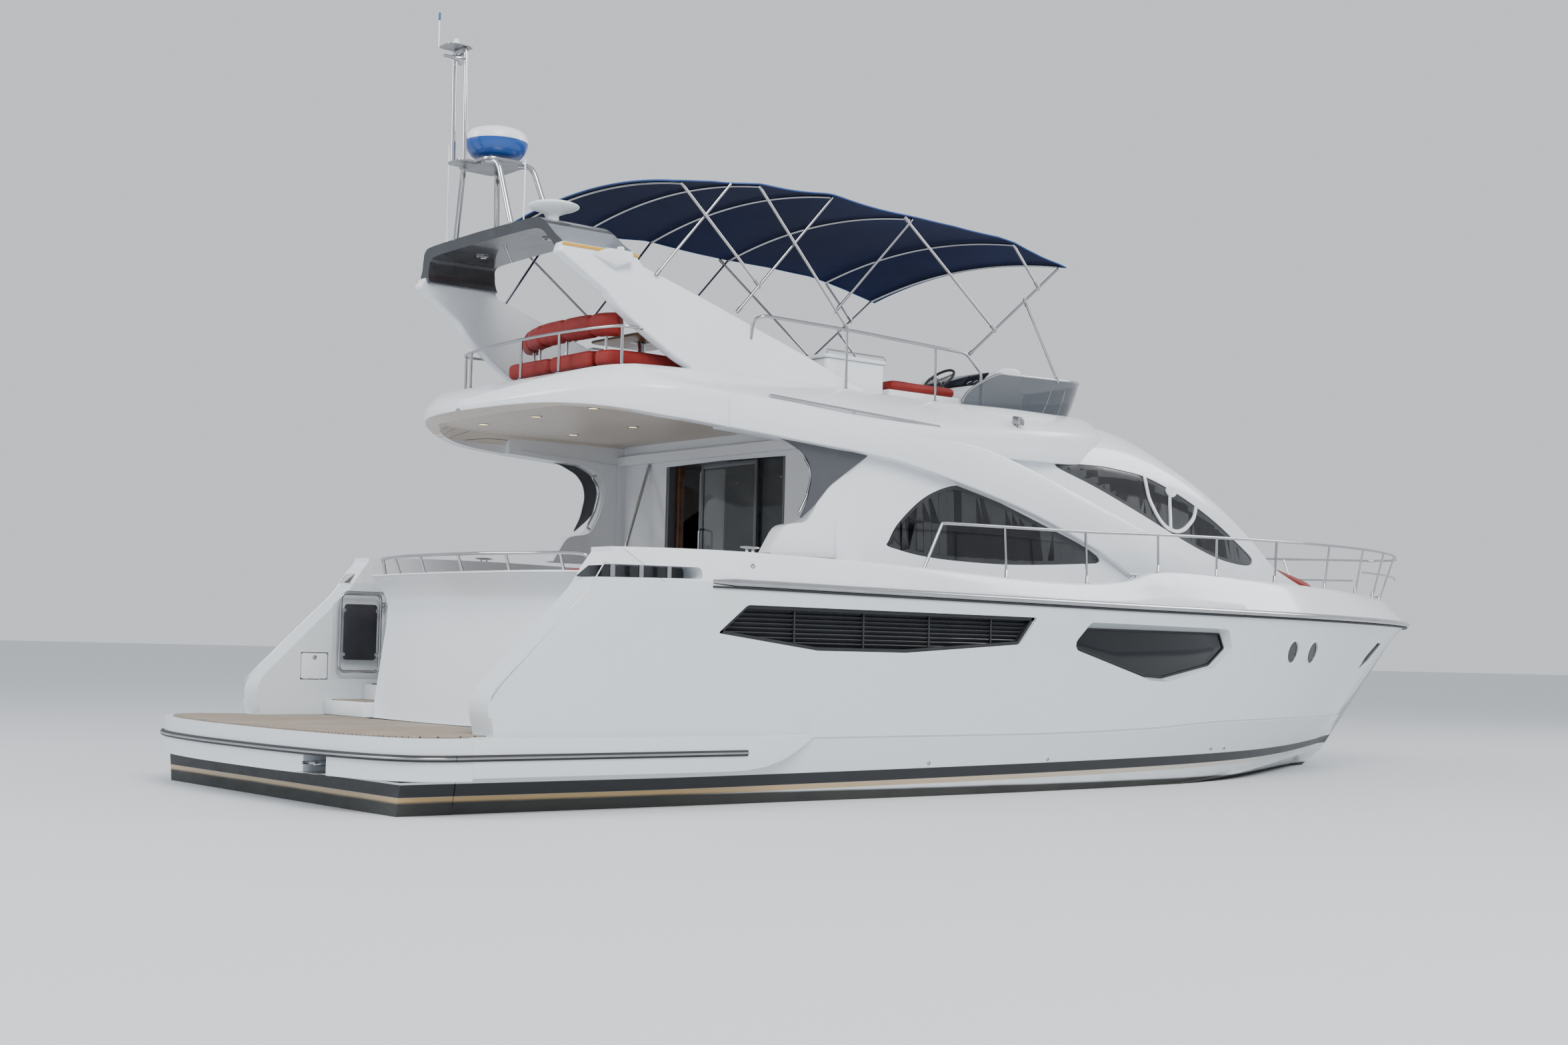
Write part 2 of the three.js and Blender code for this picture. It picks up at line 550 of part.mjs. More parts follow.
// Rub rail, from the quarters right round the bow
const railStations = [2450, 4000, 5500, 7000, 8500, 9700, 10800, 11800, 12700, 13500, 14200, 14800,
  15300, 15800, 16200, 16500];
const RUB = { out: 45, half: 35 };
function rubRing(grow, clear) {
  const half = railStations.map((s) => {
    const ahead = Math.min(s + 60, SHEER_TIP);
    const turn = Math.atan2(hull(6, s - 60) - hull(6, ahead), ahead - s + 60);
    return [s + (grow + clear) * Math.sin(turn), hull(6, s) + (grow + clear) * Math.cos(turn)];
  });
  return half;
}
const rubOuter = [...rubRing(RUB.out, 0), [SHEER_TIP + RUB.out - 10, 120]];
const rubInner = [...rubRing(-60, 0), [SHEER_TIP - 60, 60]];
const rubLift = (x) => hull(7, Math.max(0, Math.min(SHEER_TIP, x)));
const rubBand = loft(mirrored(rubOuter).map(([x, y], i) => {
  const [ix, iy] = mirrored(rubInner)[i];
  const [low, high] = [rubLift(x) - RUB.half, rubLift(x) + RUB.half];
  return [[x, y, low], [x, y, high], [ix, iy, high], [ix, iy, low]];
}));
part("rub_rail", largest(cut(rubBand, hullClear)), "steel");

// Deckhouse

// Stations: x, base y, wall top y, wall top z, shoulder y, shoulder z, crown y, crown z, middle z.
const HOUSE = [
  [4300, 1990, 1930, 3380, 1880, 3480, 1500, 3500, 3500],
  [6500, 1990, 1920, 3400, 1860, 3490, 1500, 3510, 3510],
  [7400, 1980, 1860, 3460, 1800, 3530, 1500, 3560, 3570],
  [8000, 1965, 1790, 3560, 1700, 3720, 1400, 3860, 3920],
  [8700, 1930, 1700, 3610, 1530, 3840, 1150, 4020, 4100],
  [9350, 1880, 1640, 3560, 1440, 3790, 1000, 3980, 4080],
  [9950, 1810, 1600, 3430, 1390, 3620, 950, 3790, 3890],
  [10500, 1740, 1560, 3240, 1350, 3410, 900, 3570, 3670],
  [11000, 1650, 1500, 3030, 1290, 3190, 850, 3350, 3450],
  [11500, 1550, 1420, 2800, 1210, 2950, 800, 3110, 3210],
  [12100, 1400, 1280, 2520, 1080, 2660, 720, 2790, 2870],
  [12700, 1220, 1100, 2390, 930, 2500, 620, 2590, 2650],
  [13500, 920, 800, 2290, 660, 2370, 440, 2440, 2490],
  [14300, 560, 460, 2210, 370, 2260, 240, 2300, 2330],
  [15000, 180, 130, 2130, 100, 2140, 60, 2150, 2155],
];
const HOUSE_X = [4300, 5400, 6500, 7000, 7400, 7700, 8000, 8350, 8700, 9020, 9350, 9650, 9950, 10220,
  10500, 10750, 11000, 11250, 11500, 11800, 12100, 12400, 12700, 13100, 13500, 13900, 14300, 14650,
  15000];
const HOUSE_BASE = DECK_Z + GAP;

function houseRing(x, inset) {
  const [baseY, wallY, wallZ, shoulderY, shoulderZ, crownY, crownZ, midZ] = [1, 2, 3, 4, 5, 6, 7, 8]
    .map((k) => column(HOUSE, k, x));
  const [dy, dz] = [inset, inset];
  return bothSides([
    [x, baseY - dy, HOUSE_BASE - (inset > 0 ? 60 : 0)],
    [x, wallY - dy, wallZ - dz / 2],
    [x, shoulderY - dy * 0.7, shoulderZ - dz * 0.8],
    [x, crownY - dy * 0.2, crownZ - dz],
    [x, 40, midZ - dz],
  ]);
}
const houseSolid = (inset, from = 4300, to = 15000) => {
  const xs = HOUSE_X.filter((x) => x > from && x < to);
  return loft([from, ...xs, to].map((x) => houseRing(x, inset)));
};
const houseOuter = houseSolid(0);
const houseInner = houseSolid(WALL, 4500, 12300);

// Window outlines on the starboard side, as (x, z).
const SIDE_WINDOW = [
  ...smooth([[4975, 2480], [5120, 2680], [5471, 2953], [5862, 3100], [6138, 3090], [6574, 2975]], 10),
  [7251, 2780], [7860, 2600], [8120, 2490], [8130, 2430], [7950, 2400], [6809, 2335], [5943, 2335],
  [5404, 2366], [5060, 2420],
];
const QUARTER_WINDOW = [
  [7500, 3430], [7540, 3470], [8250, 3500], [8620, 3490], [9130, 3450], [9640, 3330], [10100, 3180],
  [10600, 2980], [11000, 2800], [11300, 2660], [11350, 2570], [11250, 2535], [10850, 2540],
  [10380, 2600], [9700, 2780], [8900, 3040], [8200, 3250],
];
// The windscreen's two panes in plan, on the slope of the house ahead of the flybridge.
const SCREEN_PLAN = [[9800, 830], [10700, 940], [11500, 830], [11700, 400]];

const REBATE = 14;
const sideCut = (outline, side, inner = 1000) => throughSide(outline, inner, 2300, side);
const shrink = (outline, by) => {
  const cx = outline.reduce((s, p) => s + p[0], 0) / outline.length;
  const cz = outline.reduce((s, p) => s + p[1], 0) / outline.length;
  const reach = Math.max(...outline.map(([x]) => Math.abs(x - cx)));
  const rise = Math.max(...outline.map(([, z]) => Math.abs(z - cz)));
  return outline.map(([x, z]) => [cx + (x - cx) * (1 - by / reach), cz + (z - cz) * (1 - by / rise)]);
};
const screenCut = (by) => prism("z", shrink(mirrored(SCREEN_PLAN), by), 2700, 4300);

// The aft end of each side wall is a pillar, hollowed in a curve toward the cockpit.
const PILLAR = [
  [BULKHEAD_X + 20, 3400], [3000, 3480], [3500, 3440], [3800, 3390], [4020, 3310], [4120, 3200],
  [4140, 3070], [4080, 2840], [3960, 2620], [3660, 2580], [3500, 2330], [3480, 2290],
  [BULKHEAD_X + 20, 2290],
];
const pillars = [1, -1].map((side) => throughSide(PILLAR, 1790, 1960, side));
const bulkhead = box(BULKHEAD_X, BULKHEAD_X + WALL, -1950, 1950, SALOON_Z - 40, 3490);
const DOOR = { y0: -1050, y1: 1000, z1: 3400 };
const doorway = box(BULKHEAD_X - 50, BULKHEAD_X + 200, DOOR.y0, DOOR.y1, SALOON_Z - 200, DOOR.z1);
const bulkheadLow = box(BULKHEAD_X, BULKHEAD_X + WALL, -1849, 1849, SALOON_Z + GAP, 2300);

const house = cut(
  join(
    cut(houseOuter, houseInner),
    ...pillars,
    box(BULKHEAD_X, BULKHEAD_X + WALL, -1900, 1900, HOUSE_BASE, 3420),
    bulkheadLow,
  ),
  doorway,
  ...[1, -1].flatMap((side) => [
    sideCut(SIDE_WINDOW, side), sideCut(QUARTER_WINDOW, side),
  ]),
  screenCut(0),
  box(4000, BULKHEAD_X, -1780, 1780, 1000, 3400),
  hullClear,
);
part("deckhouse", house, "gelcoat");
const houseClear = grown(house);

const skin = cut(houseSolid(18), houseSolid(30, 4300, 15000));
const glazed = (opening) => largest(cut(skin.intersect(opening), houseClear));
part("windscreen", glazed(screenCut(0)), "glass");
for (const [side, name] of [[-1, "stbd"], [1, "port"]]) {
  part(`side_window_${name}`, glazed(sideCut(SIDE_WINDOW, side)), "glass");
  part(`quarter_window_${name}`, glazed(sideCut(QUARTER_WINDOW, side)), "glass");
}

// Saloon door: a steel frame, a fixed pane to starboard and a sliding pane, half open.
const doorFrame = cut(
  box(BULKHEAD_X + 5, BULKHEAD_X + 105, DOOR.y0 + GAP, DOOR.y1 - GAP, SALOON_Z + GAP, DOOR.z1 - GAP),
  box(BULKHEAD_X - 10, BULKHEAD_X + 200, DOOR.y0 + 45, DOOR.y1 - 45, SALOON_Z + 30, DOOR.z1 - 45),
);
part("door_frame", doorFrame, "steel");
const PANE = { z0: SALOON_Z + 30, z1: DOOR.z1 - 45 };
part("door_pane_fixed", box(BULKHEAD_X + 70, BULKHEAD_X + 90, DOOR.y0 + 45 + GAP, -20,
  PANE.z0 + GAP, PANE.z1 - GAP), "glass");
const slidingPane = box(BULKHEAD_X + 25, BULKHEAD_X + 45, -560, 400, PANE.z0 + 6, PANE.z1 - 6);
const handle = pipe([
  [BULKHEAD_X + 30, 330, 2150], [BULKHEAD_X - 40, 330, 2150], [BULKHEAD_X - 40, 330, 2650],
  [BULKHEAD_X + 30, 330, 2650],
], 12);
const runner = box(BULKHEAD_X + 28, BULKHEAD_X + 42, -540, 380, PANE.z0 + GAP, PANE.z0 + 10);
part("door_sliding", join(slidingPane, handle, runner), "glass");

// What shows through the glass: a sofa along the port side and a cabinet with the lower helm.
part("saloon_furniture", join(
  box(5600, 8800, 1100, 1690, SALOON_Z + GAP, 1780),
  box(5600, 7900, 1550, 1690, 1700, 2200),
  box(4700, 6300, -1780, -1250, SALOON_Z + GAP, 2250),
  box(8700, 9300, -1500, 1300, SALOON_Z + GAP, 2450),
  box(6200, 8900, -1700, -1300, SALOON_Z + GAP, 1900),
), "wood");

// Flybridge

// The overhang ends in a half-round seen from above. Stations: x, edge y as a share of the half
// width, underside z, coaming y, coaming z, crease z.
const FLY_APEX = 1230;
const FLY_ROUND = 1500;
const flyHalf = (x, half) => {
  const t = Math.max(0, Math.min(1, (FLY_APEX + FLY_ROUND - x) / FLY_ROUND));
  return half * (1 - t ** 2.1) ** (1 / 1.8);
};
const FLY = [
  [1230, 1, 3590, 1600, 3680, 3640],
  [1450, 1, 3602, 1600, 3800, 3690],
  [1700, 1, 3580, 1600, 3900, 3735],
  [1950, 1, 3540, 1600, 3965, 3760],
  [2300, 1, 3483, 1600, 3990, 3768],
  [2900, 1, 3432, 1600, 4005, 3745],
  [3600, 1, 3392, 1600, 4010, 3713],
  [4600, 1, 3330, 1600, 4010, 3648],
  [5850, 1, 3400, 1595, 4005, 3660],
  [7000, 0.98, 3440, 1560, 4035, 3760],
  [7800, 0.9, 3470, 1480, 4050, 3815],
  [8400, 0.8, 3560, 1340, 4070, 3845],
  [8800, 0.66, 3700, 1130, 4080, 3855],
];
const FLY_X = [1232, 1250, 1290, 1350, 1450, 1600, 1800, 2050, 2350, 2730, 3200, 3600, 4100, 4600,
  5200, 5850, 6400, 7000, 7400, 7800, 8100, 8400, 8800];
const COAMING = 230;
const coamingHalf = (x) => Math.max(5, Math.min(flyHalf(x, FLY_HALF) - 300, column(FLY, 3, x)));

function flyRing(x) {
  const lowY = flyHalf(x, FLY_HALF) * column(FLY, 1, x);
  const [lowZ, topZ, creaseZ] = [2, 4, 5].map((k) => column(FLY, k, x));
  return bothSides([
    [x, 3, Math.min(CEILING_Z, lowZ + 30)],
    [x, Math.max(4, lowY), lowZ],
    [x, Math.max(6, lowY + 10), Math.max(lowZ + 40, creaseZ)],
    [x, coamingHalf(x), topZ],
  ]);
}
const flyBody = loft(FLY_X.map(flyRing));

const WELL_X = [2060, 2090, 2150, 2260, 2450, 2700, 2900, 4000, 5200, 6200, 7000, 7600];
const flyWell = prism("z", mirrored(WELL_X.map((x) => [x, coamingHalf(x) - COAMING])), FLY_SOLE_Z, 4500);
const cockpitCeiling = prism("z", mirrored(
  [1620, 1700, 1850, 2100, 2500, 3000, 4350].map((x) => [x, flyHalf(x, FLY_HALF) - 170]),
), 3300, CEILING_Z);

// The broad band that sweeps from the flybridge down the deckhouse side to the deck.
const BAND_TOP = smooth([[2900, 3745], [3600, 3712], [4300, 3668], [5465, 3583], [6310, 3490],
  [7200, 3270], [8145, 3006], [8890, 2789], [9700, 2480], [10300, 2230]], 14);
const BAND_LOW = smooth([[2900, 3432], [3350, 3405], [3950, 3366], [4670, 3318], [5370, 3225],
  [6760, 2930], [7870, 2600], [8300, 2440], [8800, 2200]], 14);
const bandOutline = [...BAND_TOP, [10400, DECK_Z + GAP], [8900, DECK_Z + GAP], ...BAND_LOW.toReversed()];
const bandPlan = mirrored([[2890, FLY_HALF + 16], [7000, 2046], [8200, 1990], [9300, 1930],
  [10500, 1790]]);
const band = cut(
  prism("y", bandOutline, -2200, 2200).intersect(prism("z", bandPlan, 2000, 3900)),
  houseSolid(0),
  box(2000, 11000, -1800, 1800, 2000, 4000),
);
const bands = band.decompose();

// Arch: a raked wing stands on each coaming, and a grey beam crosses their tips
const ARCH_WING = [
  [2870, 3900], [2870, 4055], [2724, 4104], [2501, 4237], [2270, 4380], [2065, 4530], [1942, 4656],
  [1448, 4967], [1490, 5070], [2279, 5070], [2383, 4958], [2918, 4790], [3349, 4647], [3755, 4508],
  [4304, 4318], [4800, 4130], [5060, 4040], [5085, 3900],
];
const WING_LEAN = { z0: 3900, y0: 1514, z1: 5000, y1: 1360, thick: 140 };
const archWings = [1, -1].map((side) => {
  const { z0, y0, z1, y1, thick } = WING_LEAN;
  const slab = prism("x", [[y0 * side, z0], [y1 * side, z1 + 60], [(y1 - thick) * side, z1 + 60],
    [(y0 - thick) * side, z0]], 1000, 5000);
  return slab.intersect(prism("y", ARCH_WING, 0, 2100 * side));
});

const flySolid = cut(
  join(cut(flyBody, flyWell, cockpitCeiling), ...bands, ...archWings),
  houseSolid(-1, 4300 - GAP), grown(join(...pillars)),
).decompose().sort((a, b) => b.volume() - a.volume())[0];
part("flybridge", flySolid, "gelcoat");
const flyClear = grown(flySolid);

const BEAM_TOP = 5330;
const BEAM_SECTION = mirrored([[5010, 1360], [5140, 1290], [5310, 1180], [5340, 600]])
  .map(([z, y]) => [y, z]);
const BEAM_UNDER = mirrored([[4900, 1190], [5090, 1150], [5225, 1060], [5240, 500]])
  .map(([z, y]) => [y, z]);
const BEAM_SIDE = [[1400, 5360], [1530, 5000], [2330, 5000], [2110, 5360]];
const beam = cut(prism("x", BEAM_SECTION, 1300, 2500), prism("x", BEAM_UNDER, 1200, 2600))
  .intersect(prism("y", BEAM_SIDE, -1500, 1500));
const archBeam = largest(cut(beam, flyClear));
part("arch_beam", archBeam, "grey");

// Radar mast: four bowed legs meet a small platform, with a radome and a looped mast above it
const MAST = { z: 5990, x0: 1290, x1: 1760, half: 310 };
const legs = [1, -1].flatMap((side) => [
  pipe([[1440, 520 * side, 5345], [1420, 440 * side, 5600], [1380, 320 * side, 5800],
    [1340, 240 * side, MAST.z]], 24),
  pipe([[1900, 520 * side, 5335], [1860, 440 * side, 5600], [1780, 320 * side, 5800],
    [1700, 240 * side, MAST.z]], 24),
]);
const mastPlate = box(MAST.x0, MAST.x1, -MAST.half, MAST.half, MAST.z - 10, MAST.z + 22);
const radomeFoot = box(1480, 1640, -90, 90, MAST.z, 6075);
const loop = pipe([[1150, -110, 5950], [1130, -110, 7050], [1130, 110, 7050], [1150, 110, 5950]], 20);
const loopFoot = box(1110, 1320, -130, 130, MAST.z - 30, MAST.z - 5);
const topPlate = box(950, 1215, -120, 120, 7066, 7078);
const anchorLight = lathe([[0, 0], [28, 0], [28, 70], [0, 90]], 12, [0, 0, 1], [1085, 0, 7070]);
part("radar_mast", cut(
  join(...legs, mastPlate, radomeFoot, loop, loopFoot, topPlate, anchorLight),
  grown(archBeam),
), "gelcoat");
part("radome", lathe([[0, 0], [270, 0], [305, 70], [305, 190], [270, 260], [150, 292], [0, 298]],
  28, [0, 0, 1], [1560, 0, 6075 + GAP]), "gelcoat");
part("satcom_dome", cut(
  lathe([[0, -20], [110, -20], [110, 50], [215, 62], [240, 90], [225, 140], [150, 175], [0, 190]],
    24, [0, 0, 1], [1600, -1000, BEAM_TOP - 6]),
  grown(archBeam),
), "gelcoat");

// Windscreen of the flybridge: a low curved band of smoked glass that stands on its coaming
const SCREEN = [[6340, 1545], [6900, 1515], [7600, 1430], [8200, 1280], [8540, 950], [8660, 450],
  [8685, 0]];
const SCREEN_RAKE = 190;
const SCREEN_PIECES = 36;
const SCREEN_THICK = 12;
const screenLine = smooth(
  [...SCREEN, ...SCREEN.slice(0, -1).toReversed().map(([x, y]) => [x, -y])], SCREEN_PIECES);
const screenRings = screenLine.map(([x, y], i) => {
  const [a, b] = [screenLine[Math.max(0, i - 1)], screenLine[Math.min(SCREEN_PIECES, i + 1)]];
  const length = Math.hypot(b[0] - a[0], b[1] - a[1]);
  const [dx, dy] = [(-SCREEN_THICK * (b[1] - a[1])) / length, (SCREEN_THICK * (b[0] - a[0])) / length];
  const low = column(FLY, 4, x) - 25;
  const rise = Math.min(1, Math.max(0, (x - 6340) / 420));
  const ahead = Math.max(0, Math.min(1, (x - 7000) / 1200));
  const high = low + 60 + 345 * Math.sqrt(rise) + 40 * ahead;
  const lean = (SCREEN_RAKE * (high - low)) / 405;
  return [[x, y, low], [x + dx, y + dy, low], [x + dx + lean, y + dy, high], [x + lean, y, high]];
});
const screenSolid = largest(cut(loft(screenRings), flyClear, houseClear));
part("fly_windscreen", screenSolid, "smoked");

// Canopy over the flybridge: a cloth on bowed tubes
const CANOPY = [
  [2560, 5760], [3000, 5845], [3580, 5900], [4430, 5950], [5000, 5925], [5590, 5895], [6200, 5905],
  [6850, 5880], [7400, 5800], [7900, 5690],
];
const CANOPY_HALF = 1590;
const CANOPY_CROWN = 170;
const CANOPY_THICK = 14;
const crown = (v) => CANOPY_CROWN * (1 - v * v);
const CANOPY_V = [-1, -0.9, -0.7, -0.45, -0.15, 0.15, 0.45, 0.7, 0.9, 1];
const canopyRing = ([x, z]) => [
  ...CANOPY_V.map((v) => [x, v * CANOPY_HALF, z + crown(v)]),
  ...CANOPY_V.toReversed().map((v) => [x, v * CANOPY_HALF, z + crown(v) - CANOPY_THICK]),
];
const canopy = loft(CANOPY.map(canopyRing));
part("bimini_canopy", canopy, "canvas");
const TUBE = 14;
const canopyZ = (x) => {
  const i = CANOPY.findIndex(([cx]) => cx >= x);
  const [a, b] = [CANOPY[Math.max(0, i - 1)], CANOPY[Math.max(1, i)]];
  return a[1] + ((x - a[0]) / (b[0] - a[0])) * (b[1] - a[1]);
};
// Each bow: where its feet stand (x, y, z), and where it meets the cloth.
const BOWS = [
  [4794, 1520, 4625, 3574],
  [3434, 1440, 4640, 4508],
  [6490, 1520, 4560, 7820],
];
// Bows whose feet are hinged on the leg of another: its number, how high, and where they meet the cloth.
const BRANCHES = [[1, 4930, 2640], [0, 4800, 5600], [2, 5410, 7090]];
const BOW_HALF = CANOPY_HALF - 18;
const bowTop = (x, v) => [x, v * BOW_HALF, canopyZ(x) + 0.97 * crown(v) - CANOPY_THICK - TUBE + 4];
const bowTube = ([footX, footY, footZ, x]) => pipe([
  [footX, -footY, footZ], ...[-1, -0.62, -0.2, 0.2, 0.62, 1].map((v) => bowTop(x, v)),
  [footX, footY, footZ],
], TUBE);
// The point of a bow's leg at a height, on one side
function legAt([footX, footY, footZ, x], z, side) {
  const top = bowTop(x, 1);
  const t = (z - footZ) / (top[2] - footZ);
  return [footX + t * (top[0] - footX), (footY + t * (top[1] - footY)) * side, z];
}
const branches = BRANCHES.map(([bow, z, x]) => [...legAt(BOWS[bow], z, 1), x]);
const underCloth = (x, side) => [x, BOW_HALF * side, canopyZ(x) - CANOPY_THICK - TUBE + 4];
const canopyStruts = [1, -1].flatMap((side) => [
  rod([2500, 1395 * side, 4880], underCloth(3222, side), TUBE),
  rod(underCloth(3222, side), underCloth(3574, side), TUBE),
  rod(legAt(BOWS[1], 5391, side), legAt(BOWS[0], 5391, side), TUBE),
  rod(underCloth(5480, side), legAt(BOWS[2], 4870, side), TUBE),
  rod(legAt(BOWS[2], 5240, side), [8000, 1400 * side, 4400], TUBE),
]);
const canopyFrame = join(...[...BOWS, ...branches].map(bowTube), ...canopyStruts);

// Rails
const bowRailPlan = (s) => {
  const at = Math.min(s, 16300);
  return [at, Math.max(60, column(HULL, 6, Math.min(SHEER_TIP, at)) - 170)];
};
const RAIL_Z = [[5400, 2680], [7500, 2710], [8700, 2745], [10900, 2790], [14300, 2840], [16330, 2860]];
const STANCHIONS = [6270, 7490, 8670, 9700, 10900, 12200, 13300, 14300, 15200];
const deckTop = (x) => hull(9, x) - 25;
const halfRail = (side, zAt, from) => {
  const xs = [5400, 6270, 7490, 8670, 9700, 10900, 11600, 12200, 12800, 13300, 13800, 14300, 14800,
    15200, 15700, 16050].filter((x) => x >= from);
  return xs.map((x) => [x, bowRailPlan(x)[1] * side, zAt(x)]);
};
const topRailZ = (x) => column(RAIL_Z, 1, x);
const rimY = (x) => {
  let s = x;
  for (let i = 0; i < 12; i++) s += x - alongLine(4, s);
  return column(HULL, 8, s);
};
const bowNose = [[16250, -230, 2858], [16330, -90, 2860], [16330, 90, 2860], [16250, 230, 2858]];
const topRail = pipe([
  [5100, -rimY(5100) + 50, 2180], ...halfRail(-1, topRailZ, 5400), ...bowNose,
  ...halfRail(1, topRailZ, 5400).toReversed(), [5100, rimY(5100) - 50, 2180],
], RAIL_R);
const lowerRail = [1, -1].map((side) => pipe(
  halfRail(side, (x) => topRailZ(x) - 290, 13300).map(([x, y, z]) => [x, y * 0.985, z]), 11));
const posts = [1, -1].flatMap((side) => STANCHIONS.map((x) => rod(
  [x, (rimY(x) - 45) * side, DECK_Z - 0], [x, bowRailPlan(x)[1] * side, topRailZ(x)], 13, 6)));
part("bow_rail", cut(join(topRail, ...lowerRail, ...posts), hullClear), "steel");

const FLY_RAIL_Z = 4350;
const aftRailPlan = [
  [2370, 1410], [2270, 1455], [2130, 1430], [2030, 1240], [1945, 750], [1910, 0],
];
const aftRailLine = [...aftRailPlan, ...aftRailPlan.slice(0, -1).toReversed().map(([x, y]) => [x, -y])];
const aftRailPoints = smooth(aftRailLine, 24);
const aftRail = pipe(aftRailPoints.map(([x, y]) => [x, y, FLY_RAIL_Z]), RAIL_R);
const aftPosts = [5, 8, 12, 14, 19].map((i) => {
  const [x, y] = aftRailPoints[i];
  return rod([x, y, 3700], [x, y, FLY_RAIL_Z], 12, 6);
});
part("fly_aft_rail", cut(join(aftRail, ...aftPosts), flyClear), "steel");

const sideRails = [];
for (const [side, name] of [[-1, "stbd"], [1, "port"]]) {
  const y = 1520 * side;
  const rail = pipe([[3614, 1440 * side, 4400], [3640, 1440 * side, 4590], [3700, y, 4632],
    [4778, y, 4622], [6008, y, 4588], [6454, y, 4573], [6700, 1500 * side, 4390]], RAIL_R);
  const uprights = [[4778, 4620], [6008, 4588]].map(([x, z]) => rod([x, y, 3850], [x, y, z], 13));
  const front = rod([6700, 1500 * side, 4390], [6700, 1490 * side, 3900], 13);
  const sideRail = cut(join(rail, ...uprights, front), flyClear);
  part(`fly_side_rail_${name}`, sideRail, "steel");
  sideRails.push(sideRail);
}
part("bimini_frame", largest(cut(canopyFrame, grown(canopy), flyClear, grown(screenSolid),
  ...sideRails.map(grown))), "steel");

const benchRail = pipe([[1150, 1150, 1900], [1100, 1150, 2190], [930, 500, 2200], [900, -100, 2200],
  [950, -900, 2200], [1160, -1450, 2200], [1500, -1880, 2200], [1540, -1900, 1900]], RAIL_R);
const benchPosts = [[930, 500, 2200], [900, -100, 2200], [950, -900, 2200], [1160, -1450, 2200]]
  .map(([x, y, z]) => rod([x + 150, y * 0.98, 1950], [x, y, z], 12));
part("stern_rail", cut(join(benchRail, ...benchPosts), grown(sternMoulding), hullClear), "steel");

// Flybridge furniture
const SOFA = { under: 4010, seat: 4165, back0: 4290, back1: 4520 };
const sofaPlan = [[2010, 480], [2005, -900], [2120, -1270], [2500, -1300], [3500, -1300],
  [3500, -780], [2620, -780], [2600, 480]];
const backPlan = [[2290, 600], [2090, 160], [2010, -300], [2005, -900], [2090, -1240],
  [2200, -1280], [2340, -1140], [2225, -860], [2215, -350], [2280, 40], [2450, 480]];
const inWell = (body) => largest(cut(body, flyClear));
const wellPlan = sofaPlan.map(([x, y]) => [Math.max(2100, x), Math.max(-1260, y)]);
part("sofa_base", inWell(prism("z", wellPlan, FLY_SOLE_Z + GAP, SOFA.under)), "gelcoat");
const backPosts = [[2120, 200], [2080, -500], [2100, -1130]].map(([x, y]) =>
  box(x - 30, x + 30, y - 40, y + 40, SOFA.seat - 20, SOFA.back0 + 20));
part("sofa_cushion", inWell(join(
  prism("z", shrink(sofaPlan, 12), SOFA.under + GAP, SOFA.seat),
  prism("z", backPlan, SOFA.back0, SOFA.back1),
  ...backPosts,
)), "red");
part("fly_table", join(
  box(2760, 3480, -780, 120, 4420, 4450),
  lathe([[0, 0], [160, 0], [160, 20], [45, 40], [45, 710], [0, 710]], 16, [0, 0, 1],
    [3100, -330, FLY_SOLE_Z + GAP]),
), "wood");
part("wet_bar", join(
  box(4690, 5480, -1325, -760, FLY_SOLE_Z + GAP, 4360),
  box(4670, 5500, -1345, -740, 4360, 4400),
), "gelcoat");
part("helm_bench", box(5540, 6560, -1325, -200, FLY_SOLE_Z + GAP, 4120), "gelcoat");
part("helm_bench_cushion", join(
  box(5680, 6550, -1320, -210, 4120 + GAP, 4230),
  box(5545, 5680, -1320, -210, 4120 + GAP, 4250),
), "red");
part("helm_console", largest(cut(
  prism("y", [[7080, FLY_SOLE_Z + GAP], [7020, 4280], [7300, 4540], [7600, 4570], [7680, 4360],
    [7680, FLY_SOLE_Z + GAP]], -1180, 60),
  flyClear, houseClear,
)), "gelcoat");
// Foredeck: a sunpad on the slope of the house, and a hatch ahead of it
const padTop = cut(houseSolid(-90, 12400, 13950), houseClear)
  .intersect(box(12450, 13900, -640, 640, 2000, 4000));
part("sunpad", largest(padTop), "red");
part("foredeck_hatch", join(
  box(15060, 15360, -160, 160, DECK_Z + 8, DECK_Z + 34),
  ...[-100, 100].map((y) => rod([15060, y - 25, DECK_Z + 8], [15060, y + 25, DECK_Z + 8], 7.6, 12)),
), "glass");

